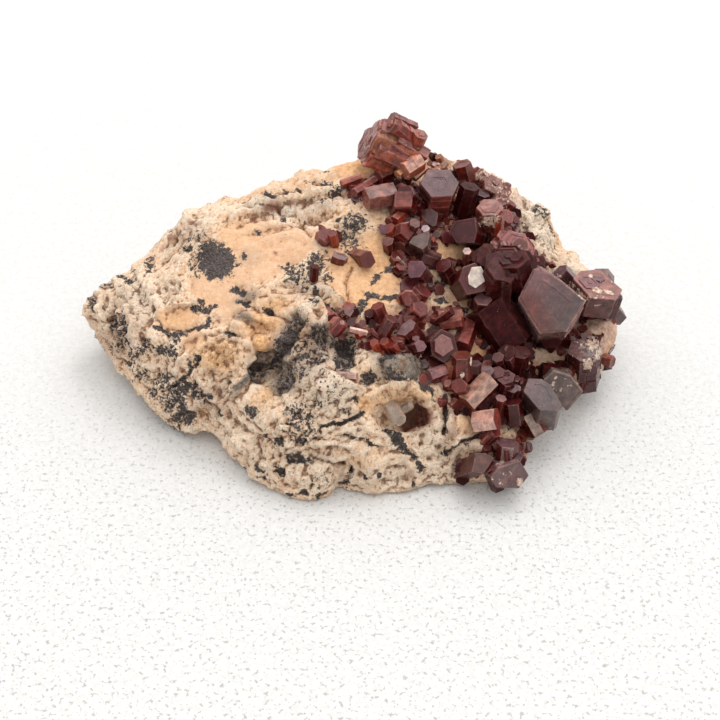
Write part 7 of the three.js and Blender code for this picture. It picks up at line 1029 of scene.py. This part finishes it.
def crystal(row, seed, coarse=1.0):
    """One grown crystal: stepped prism faces, chamfered edges, terraced end."""
    name, tip, az, lean, L, ring, bev, kind = row
    kind = RETUNE.get(name, kind)
    if name in TRIM:
        tip = np.array(tip) + np.array(TRIM[name][1]); ring = [(a_ * TRIM[name][0], b_ * TRIM[name][0]) for a_, b_ in ring]
    if name == "summit_main": L = 7.2
    if name == "twin_a": L = 6.4
    if name == "foot_left": L = 4.4
    if name in RAISE: tip = np.array(tip) + RAISE[name] * frame_of(az, lean)[2]; L = L + RAISE[name]
    tside, tend, tup_sheen, dust, stepk, roughk = KIND[kind]
    r = np.random.default_rng(seed)
    ring = np.array(ring, float)
    x, y = ring[:, 0], ring[:, 1]
    area = 0.5 * (x * np.roll(y, -1) - y * np.roll(x, -1)).sum()
    if area < 0:
        ring = ring[::-1]; area = -area
    size = math.sqrt(area); n = len(ring)
    cen = ring.mean(0)
    h = float(np.clip(size * 0.07, 0.13, 0.30)) * coarse
    c = float(np.clip(size * 0.022, 0.022, 0.10))
    pts, nrm, eid, cor = [], [], [], []
    for i in range(n):
        a = ring[i]; b = ring[(i + 1) % n]; e = b - a; l = float(np.hypot(*e)); tdir = e / l
        cc = min(c, l * 0.22); m = max(1, int(round((l - 2 * cc) / h)))
        for k, s in enumerate(np.linspace(cc, l - cc, m + 1)):
            pts.append(a + tdir * s); nrm.append((tdir[1], -tdir[0])); eid.append(i); cor.append(1.0 if k in (0, m) else 0.0)
    pts = np.array(pts); nrm = np.array(nrm); eid = np.array(eid); cor = np.array(cor); M = len(pts)
    amp = float(np.clip(size * 0.016, 0.010, 0.085)) * stepk
    b0 = max(bev, c)
    # rows: (z below the tip, inset, offset per edge, edge flag, scale, type)
    rows = []
    levels = []
    z = -b0 - abs(r.normal(0, 0.3)) * size * 0.15 - 0.1
    while z > -L + 0.15:
        levels.append(z); z -= float(np.clip(r.gamma(2.0, 0.22 * size / 2 * 0.55), 0.16, 2.2))
    off = np.zeros(n)
    rows.append((-b0, 0.0, off.copy(), 0.8))
    zc = -b0
    for zl in levels:
        gap = zc - zl
        k = int(gap / (h * 1.7))
        for q in range(1, k + 1):
            rows.append((zc - gap * q / (k + 1), 0.0, off.copy(), 0.0))
        rows.append((zl, 0.0, off.copy(), 0.35))
        pick = r.random(n) < 0.55
        off = np.where(pick, np.clip(off + r.normal(0, 1.0, n) * amp, -3.0 * amp, 0.8 * amp), off)
        rows.append((zl - 0.018, 0.0, off.copy(), 0.35))
        zc = zl - 0.018
    gap = zc + L
    k = max(1, int(gap / (h * 2.2)))
    for q in range(1, k + 1):
        rows.append((zc - gap * q / k, 0.0, off.copy(), 0.0))
    P2, Z, EDGE, ENDF = [], [], [], []
    # end face rows, centre outwards
    scales = [0.0]
    nt = int(r.integers(1, 4)) if size > 1.2 else int(r.integers(0, 2))
    ts = sorted(r.uniform(0.25, 0.93, nt))
    hs = r.normal(0, 1.0, nt) * amp * 0.9
    drift = r.normal(0, 0.10, 2) * size
    inner = np.linspace(0, 1, max(3, int(size * 0.55 / h) + 2))[1:]
    marks = [(s, None) for s in inner] + [(s, k) for k, s in enumerate(ts)]
    marks.sort(key=lambda q: q[0])
    zoff = float(hs.sum())
    toprows = []
    for s, kk in marks:
        if kk is None:
            toprows.append((s, zoff, 0.0 if s < 1 else 0.9))
        else:
            toprows.append((s, zoff, 0.4)); zoff -= float(hs[kk]); toprows.append((min(s + 0.012, 0.999), zoff, 0.4))
    toprows.sort(key=lambda q: q[0])
    ins = pts - nrm * b0
    zc0 = float(hs.sum())
    for s, zo, ed in toprows:
        P2.append(cen + drift * (1 - s) + (ins - cen) * s); Z.append(np.full(M, zo)); EDGE.append(np.maximum(ed, cor * 0.0) * np.ones(M)); ENDF.append(np.ones(M))
    for zr, inset, of, ed in rows:
        P2.append(pts + nrm * of[eid][:, None]); Z.append(np.full(M, zr)); EDGE.append(np.maximum(ed * (0.6 if bev > 0.1 else 1.0), cor)); ENDF.append(np.zeros(M))
    R = len(P2)
    X = np.concatenate(P2); Zc = np.concatenate(Z)
    X = np.r_[[cen + drift], X, [cen]]; Zc = np.r_[zc0, Zc, -L]
    E = np.r_[0, np.concatenate(EDGE), 0]; EF = np.r_[1, np.concatenate(ENDF), 0]
    i = np.arange(M); j = (i + 1) % M
    F = [np.stack([np.zeros(M, int), 1 + i, 1 + j], 1)]
    for q in range(R - 1):
        a0 = 1 + q * M; a1 = a0 + M
        F.append(np.stack([a0 + i, a1 + i, a1 + j], 1)); F.append(np.stack([a0 + i, a1 + j, a0 + j], 1))
    last = 1 + (R - 1) * M
    F.append(np.stack([np.full(M, len(X) - 1), last + j, last + i], 1))
    F = np.concatenate(F)
    lc = np.c_[X, Zc]
    e1, e2, w = frame_of(az, lean)
    Vw = np.array(tip) + X[:, :1] * e1 + X[:, 1:] * e2 + Zc[:, None] * w
    # uneven growth
    wob = 0.010 * size ** 0.5
    Vw = Vw + (wob * 0.5 + roughk * 0.085 * size ** 0.5) * np.c_[fbm(lc / (0.9 + 0.2 * size) + seed, 2, seed), fbm(lc / (0.9 + 0.2 * size) - seed, 2, seed + 9), fbm(lc / (0.9 + 0.2 * size) + 2 * seed, 2, seed + 5)]
    if roughk > 0:
        d1, _, _ = worley(lc / (0.35 * size + 0.25) + seed, seed)
        nn = Vw - (np.array(tip) - w * min(L, size) * 0.5); nn /= np.linalg.norm(nn, axis=1, keepdims=True) + 1e-9
        Vw = Vw + nn * ((0.42 - d1) * 0.16 * roughk * size ** 0.6)[:, None]
    var = np.exp(r.normal(0, 0.16)) * (1 + r.normal(0, 0.06, 3))
    # painted sheen: faces turned up are paler than faces turned down, as if lit from above; single faces may differ
    nz = nrm[:, 0] * e1[2] + nrm[:, 1] * e2[2]
    up_sheen = sstep(0.28, 0.72, nz)[:, None]
    TS = np.array(tside) * (1 - up_sheen) + np.array(tup_sheen) * up_sheen
    if name in SHOW_SHEEN:
        fd_ = [nrm[eid == k_][0] for k_ in range(n)]
        look = [float((f_[0] * e1 + f_[1] * e2) @ (VIEW_FROM - np.array(tip))) for f_ in fd_]
        TS[eid == int(np.argmax(look))] = SHOW_SHEEN[name]
    for (nm_, k_), c_ in FACE.items():
        if nm_ == name: TS[eid == k_] = c_
    TS = np.tile(TS, (R, 1)); TS = np.r_[[np.array(tend)], TS, [np.array(tside)]]
    T = np.where(EF[:, None] > 0.5, np.array(tend), TS * 1.14) * var
    D = np.full(len(X), dust * float(np.exp(r.normal(0, 0.3))))
    uu_, vv_, _ = proj(Vw)
    if name in GRAD_SHEEN:
        wt_ = [1.0 / (60.0 + (uu_ - ga) ** 2 + (vv_ - gb) ** 2) ** 1.7 for ga, gb, _ in GRAD_SHEEN[name]]
        mixc = sum(w_[:, None] * np.array(g_[2]) for w_, g_ in zip(wt_, GRAD_SHEEN[name])) / sum(wt_)[:, None]
        f_ = (EF[:, None] > 0.5)
        T = np.where(f_, mixc, T)
    D = np.maximum(D, spots(uu_, vv_, CLING_AND_GLINTS, 0.5) * (Vw[:, 2] > 1))
    lcs = lc + np.array([seed * 3.7 % 50, seed * 7.1 % 50, 0])
    return Vw, F, lcs, T, E, D, EF


LOW_GLOSS = ("deep", "bdark", "core", "dark")


def build_group(name, members, slot, mat, seed0, own=99):
    VV, FF, A = [], [], [[], [], [], [], []]
    o = 0
    parts = []
    low = []
    for k_, (row, sd) in enumerate(members):
        Vw, F, lc, T, E, D, EF = crystal(row, sd, 1.12 if k_ < own else 1.8)
        parts.append((Vw, F, lc, T, E, D, EF)); low.append(RETUNE.get(row[0], row[7]) in LOW_GLOSS)
    obs = []
    for k, (Vw, F, lc, T, E, D, EF) in enumerate(parts):
        Vw[:, 2] = np.maximum(Vw[:, 2], 0.03)
        ob = mesh_from("%s_c%d" % (name, k), (Vw + SHIFT) * MM, F, False)
        m = ob.data
        put_attr(m, "lc", lc, "FLOAT_VECTOR"); put_attr(m, "tint", T, "FLOAT_COLOR"); put_attr(m, "edge", E); put_attr(m, "dust", D); put_attr(m, "endface", EF)
        if low[k] and mat is RED: m.polygons.foreach_set("material_index", np.ones(len(m.polygons), np.int32))
        obs.append(ob)
    base = obs[0]
    base.name = name
    if len(obs) > 1:
        bm = bmesh.new()
        for ob in obs:
            bm.from_mesh(ob.data)
        bm.to_mesh(base.data); bm.free()
        for ob in obs[1:]:
            bpy.data.objects.remove(ob, do_unlink=True)
    mi = np.zeros(len(base.data.polygons), np.int32)
    base.data.polygons.foreach_get("material_index", mi)
    base.data.materials.clear(); base.data.materials.append(mat)
    if mat is RED and any(low):
        base.data.materials.append(DEEP); base.data.polygons.foreach_set("material_index", mi)
    return base


BYNAME = {r[0]: (r, 100 + k) for k, r in enumerate(CRYSTALS)}
# smaller crystals grown sub-parallel into a host: name -> (count, size share, tilt in degrees, kinds)
SISTERS = {"barrel_core": (6, 0.66, 13, ("core", "core", "core", "rust")), "barrel_left": (5, 0.6, 10, ("core", "dark")), "barrel_top": (6, 0.55, 12, ("rose", "rough", "core")), "barrel_back": (3, 0.5, 16, ("rose", "rough")),
           "summit_main": (14, 0.42, 5, ("amber", "ambermauve", "amber")), "summit_top": (3, 0.5, 9, ("ambermauve",)), "summit_block": (3, 0.5, 9, ("ambermauve",)), "summit_cap": (4, 0.5, 9, ("ambermauve",)), "step_a": (4, 0.5, 14, ("rough", "rose")), "step_b": (3, 0.5, 14, ("rough",)), "step_c": (3, 0.5, 14, ("rough",)),
           "pink_prism": (4, 0.45, 10, ("rose", "glow")), "tab_front": (4, 0.45, 12, ("grey", "mauve")), "tabular": (4, 0.35, 8, ("tab", "mauve")), "dusted": (3, 0.4, 10, ("crust",)), "foot_main": (3, 0.4, 10, ("mauve",)),
           "foot_column": (3, 0.45, 8, ("mauve",)), "knob_a": (3, 0.5, 16, ("dark", "maroon")), "knob_b": (3, 0.5, 16, ("dark", "maroon")), "red_cluster_a": (4, 0.5, 18, ("maroon", "rust")), "red_cluster_b": (3, 0.5, 18, ("rust",)),
           "round_red": (2, 0.5, 14, ("rust",)), "west_lower": (3, 0.5, 16, ("rose", "rust")), "west_hex": (3, 0.6, 18, ("rose", "satin")), "low_prism_b2": (2, 0.5, 12, ("rust",)), "under_dark": (3, 0.5, 12, ("dark", "maroon")),
           "plates_56": (3, 0.5, 20, ("rust", "satin")), "red_56c": (3, 0.5, 20, ("rust", "glow")), "dark_tab_a": (2, 0.5, 14, ("maroon",)), "bevel_prism": (2, 0.5, 10, ("maroon",)), "tan_small": (3, 0.6, 20, ("tan",)), "hex_two": (2, 0.3, 8, ("maroon",))}


def sisters(row, seed):
    name, tip, az, lean, L, ring, bev, kind = row
    if name not in SISTERS: return []
    cnt, share, tilt, kinds = SISTERS[name]
    r = np.random.default_rng(seed * 13 + 5); e1, e2, w = frame_of(az, lean)
    R0 = np.array(ring, float); out = []
    for k in range(cnt):
        i = int(r.integers(len(R0))); f = r.uniform(0.35, 0.95)
        if name == "summit_main": f = 0.30 + (f - 0.35) * 0.80
        elif name.startswith("summit"): f = 0.25 + (f - 0.35) * 0.5
        q = R0[i] * (1 - r.uniform(0.0, 0.5)) + R0[(i + 1) % len(R0)] * r.uniform(0.0, 0.5); q = q * f
        sc = share * r.uniform(0.65, 1.25)
        drop = r.uniform(0.02, 0.35) if f < 0.72 else r.uniform(0.3, 0.45 * L)
        t2 = np.array(tip) + e1 * q[0] + e2 * q[1] - w * drop + w * (0.25 if f < 0.6 else 0.0)
        rg = [(float(x * sc), float(y * sc)) for x, y in R0 - R0.mean(0)]
        rib = name == "summit_main"
        if rib: t2 = t2 + w * (drop * 0.75)
        out.append(((name + "_s%d" % k, tuple(t2), az + r.normal(0, tilt) / max(0.35, math.sin(math.radians(max(lean, 8)))), float(np.clip(lean + r.normal(0, tilt * 0.6), 1, 100)), ((0.50 + 0.22 * ((k * 0.37) % 1.0)) * L if rib else min(L, 3.0 + 2 * sc)), rg, 0.0, str(r.choice(kinds))), seed * 7 + k))
    return out


for node, members in GROUPS.items():
    mem = [BYNAME[m] for m in members.split()]
    own = len(mem)
    for rw_, sd_ in list(mem): mem += sisters(rw_, sd_)
    clear = node.startswith("pocket_clear")
    ob = build_group(node + "_grown", mem, None, CLEARM if clear else RED, 0, own)
    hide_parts(node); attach(ob, "root")

# small crystals crowding the gaps between the big ones
EDGE_U = [(100, 414), (125, 416), (140, 427), (155, 448), (170, 484), (185, 507), (200, 520), (215, 526), (230, 536), (245, 545), (260, 556), (275, 596), (290, 616), (700, 660)]
gd = np.zeros(len(V2))
for (a_, b_, ru_, rv_, rot_, k_) in DRUSE:
    gd = np.maximum(gd, k_ * spot(u, v, a_, b_, ru_, rv_, rot_, 0.4))
for (a_, b_, ru_, rv_, rot_) in CLEAR_OF:
    gd *= 1 - spot(u, v, a_, b_, ru_, rv_, rot_, 0.3)
back_side = spots(V[:, 0], V[:, 1], [(26, 38, 9, 7), (18, 45, 10, 6), (34, 28, 6, 10), (33, 16, 5, 8)], 0.6) * (V[:, 2] > 5) * (1 - vis)
gd = gd * vis + 0.35 * back_side
pr = gd / gd.sum()
pick = rng.choice(len(V2), 2600, replace=False, p=pr)
sight = (VIEW_FROM - V2); sight /= np.linalg.norm(sight, axis=1, keepdims=True)
taken = np.zeros((0, 3)); tr_ = np.zeros(0)
small = []
for k, q in enumerate(pick):
    P0 = V2[q]; nq = N[q] / np.linalg.norm(N[q])
    if P0[2] < 1.2 or (vis[q] > 0.5 and float(nq @ sight[q]) < 0.30): continue
    rad = float(np.clip(rng.lognormal(-0.36, 0.40), 0.30, 1.55))
    if len(taken) and np.min(np.linalg.norm(taken - P0, axis=1) - 0.52 * (tr_ + rad)) < 0: continue
    taken = np.vstack([taken, P0]); tr_ = np.r_[tr_, rad]
    dirn = nq + rng.normal(0, 0.52, 3) + np.array([0, -0.20, 0.30]); dirn /= np.linalg.norm(dirn)
    ln = rad * rng.uniform(1.4, 2.8) + 0.7
    lift = rng.uniform(0.30, 0.90) * rad + 0.1
    tu_, tv_, _ = proj((P0 + dirn * (lift + 0.3))[None])
    if tu_[0] + 5.5 * rad > np.interp(tv_[0], [e_[0] for e_ in EDGE_U], [e_[1] for e_ in EDGE_U]): continue
    az_ = math.degrees(math.atan2(dirn[1], dirn[0])); le_ = math.degrees(math.acos(np.clip(dirn[2], -1, 1)))
    ph = rng.uniform(0, 60); sq = rng.uniform(0.75, 1.25)
    rg = [(rad * rng.uniform(0.88, 1.1) * math.cos(math.radians(ph + 60 * i)) * sq, rad * rng.uniform(0.88, 1.1) * math.sin(math.radians(ph + 60 * i))) for i in range(6)]
    crumb = abs(u[q] - 440) < 12 and abs(v[q] - 160) < 10
    if crumb: rg = [(a_ * 0.6, b_ * 0.6) for a_, b_ in rg]
    kd = rng.choice(["red", "dark", "deep", "rust", "maroon", "mauve", "red", "maroon", "glow"])
    if abs(u[q] - 506) < 46 and abs(v[q] - 368) < 46: kd = rng.choice(["dark", "deep", "maroon", "deep", "red"])
    if crumb: kd = rng.choice(["tan", "tan", "pale", "amber"])
    small.append((("druse", tuple(P0 + dirn * lift), az_, le_, ln, rg, 0.0, str(kd)), 1000 + k))
parts = [crystal(r_, s_, 3.0) for r_, s_ in small]
lows = [r_[7] in LOW_GLOSS for r_, s_ in small]
LIMIT = 150000
banks, cur, cnt_ = [], [], 0
for p_, lw_ in zip(parts, lows):
    if cnt_ + len(p_[1]) > LIMIT: banks.append(cur); cur, cnt_ = [], 0
    cur.append((p_, lw_)); cnt_ += len(p_[1])
banks.append(cur)
for bk, P_ in enumerate(banks):
    off_, VV, FF, AA, MI = 0, [], [], [[] for _ in range(5)], []
    for (Vw, F, lc, T, E, D, EF), lw_ in P_:
        MI.append(np.full(len(F), int(lw_), np.int32))
        Vw[:, 2] = np.maximum(Vw[:, 2], 0.03)
        VV.append(Vw); FF.append(F + off_); off_ += len(Vw)
        for a_, b_ in zip(AA, (lc, T, E, D, EF)): a_.append(b_)
    dr = mesh_from("small_crystal_druse_%d" % bk, (np.concatenate(VV) + SHIFT) * MM, np.concatenate(FF), False)
    lc, T, E, D, EF = [np.concatenate(a_) for a_ in AA]
    put_attr(dr.data, "lc", lc, "FLOAT_VECTOR"); put_attr(dr.data, "tint", T, "FLOAT_COLOR"); put_attr(dr.data, "edge", E); put_attr(dr.data, "dust", D); put_attr(dr.data, "endface", EF)
    dr.data.materials.append(RED); dr.data.materials.append(DEEP)
    dr.data.polygons.foreach_set("material_index", np.concatenate(MI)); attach(dr, "root")
    print("druse", bk, len(P_), "tris", len(dr.data.polygons))

# ------------------------------------------------------------------ floor, light, camera
fl = bpy.data.meshes.new("floor")
S = 1.6
fl.from_pydata([(-S, -S, -0.00002), (S, -S, -0.00002), (S, S, -0.00002), (-S, S, -0.00002)], [], [(0, 1, 2, 3)])
floor = bpy.data.objects.new("floor", fl); bpy.context.scene.collection.objects.link(floor)
t = Tree("floor_paper")
co = t.n("ShaderNodeTexCoord").outputs["Object"]
p = t.vmath("SCALE", co, 1000.0)
gr = t.noise(p, 1.1, 6, 0.75)
b = t.n("ShaderNodeBsdfPrincipled")
sep = t.n("ShaderNodeSeparateXYZ"); t.link(p, sep.inputs[0])
near = t.rng(sep.outputs[1], 20.0, -28.0)
fl_ = t.math("MULTIPLY", t.math("MULTIPLY", t.rng(t.noise(p, 1.7, 4, 0.60), 0.575, 0.625), near), 0.55)
t.link(t.mix(fl_, t.mix(t.rng(gr, 0.35, 0.65), (0.650, 0.640, 0.620), (0.715, 0.707, 0.695)), (0.26, 0.245, 0.23)), b.inputs["Base Color"])
b.inputs["Roughness"].default_value = 0.85
b.inputs["Specular IOR Level"].default_value = 0.2
t.link(t.bump(gr, 0.00022, 0.8), b.inputs["Normal"])
floor.data.materials.append(t.finish(b))

world = bpy.data.worlds.new("studio"); bpy.context.scene.world = world
world.use_nodes = True
wt = world.node_tree; wt.nodes.clear()
bg = wt.nodes.new("ShaderNodeBackground"); wo = wt.nodes.new("ShaderNodeOutputWorld")
tc = wt.nodes.new("ShaderNodeTexCoord")


def lobe(direction, a, b):
    dp = wt.nodes.new("ShaderNodeVectorMath"); dp.operation = "DOT_PRODUCT"
    wt.links.new(tc.outputs["Generated"], dp.inputs[0]); dp.inputs[1].default_value = tuple(Vector(direction).normalized())
    mr = wt.nodes.new("ShaderNodeMapRange"); mr.interpolation_type = "SMOOTHSTEP"
    wt.links.new(dp.outputs["Value"], mr.inputs[0])
    for k_, y_ in zip((1, 2, 3, 4), (a, b, 0.0, 1.0)): mr.inputs[k_].default_value = y_
    return mr.outputs[0]


def wmath(op, a, b):
    nd = wt.nodes.new("ShaderNodeMath"); nd.operation = op
    for k_, x in enumerate((a, b)):
        if hasattr(x, "is_output"): wt.links.new(x, nd.inputs[k_])
        else: nd.inputs[k_].default_value = x
    return nd.outputs[0]


lev = wmath("ADD", 1.03, wmath("MULTIPLY", lobe((0.22, 0.26, 0.94), 0.62, 0.98), 1.10))
lev = wmath("MULTIPLY", lev, wmath("SUBTRACT", 1.0, wmath("MULTIPLY", lobe((0.0, -0.755, 0.656), 0.84, 0.97), 0.55)))
bg.inputs[0].default_value = (1.0, 1.0, 1.0, 1)
wt.links.new(lev, bg.inputs[1])
wt.links.new(bg.outputs[0], wo.inputs[0])


def area(name, loc, target, size, power, col=(1, 1, 1)):
    L = bpy.data.lights.new(name, "AREA"); L.shape = "RECTANGLE"; L.size, L.size_y = size; L.energy = power; L.color = col
    o = bpy.data.objects.new(name, L); bpy.context.scene.collection.objects.link(o)
    o.location = loc
    o.rotation_euler = (Vector(target) - Vector(loc)).to_track_quat("-Z", "Y").to_euler()
    return o


area("softbox_back", (0.20, 0.36, 0.76), (0, 0, 0.01), (0.40, 0.30), 1.6, (1, 1, 1))
area("softbox_front", (0.10, -0.50, 0.60), (0, 0, 0.01), (0.30, 0.30), 0.6, (1, 1, 1))

cam = bpy.data.cameras.new("camera"); cam.sensor_fit = "HORIZONTAL"; cam.angle = math.radians(26.0)
cam.clip_start = 0.005; cam.clip_end = 20
co_ = bpy.data.objects.new("camera", cam); bpy.context.scene.collection.objects.link(co_)
co_.location = (VIEW_FROM + SHIFT) * MM
co_.rotation_euler = (math.radians(90.0 - 41.0), 0, 0)
bpy.context.scene.camera = co_
bpy.context.scene.view_settings.view_transform = "Standard"
bpy.context.scene.view_settings.look = "None"
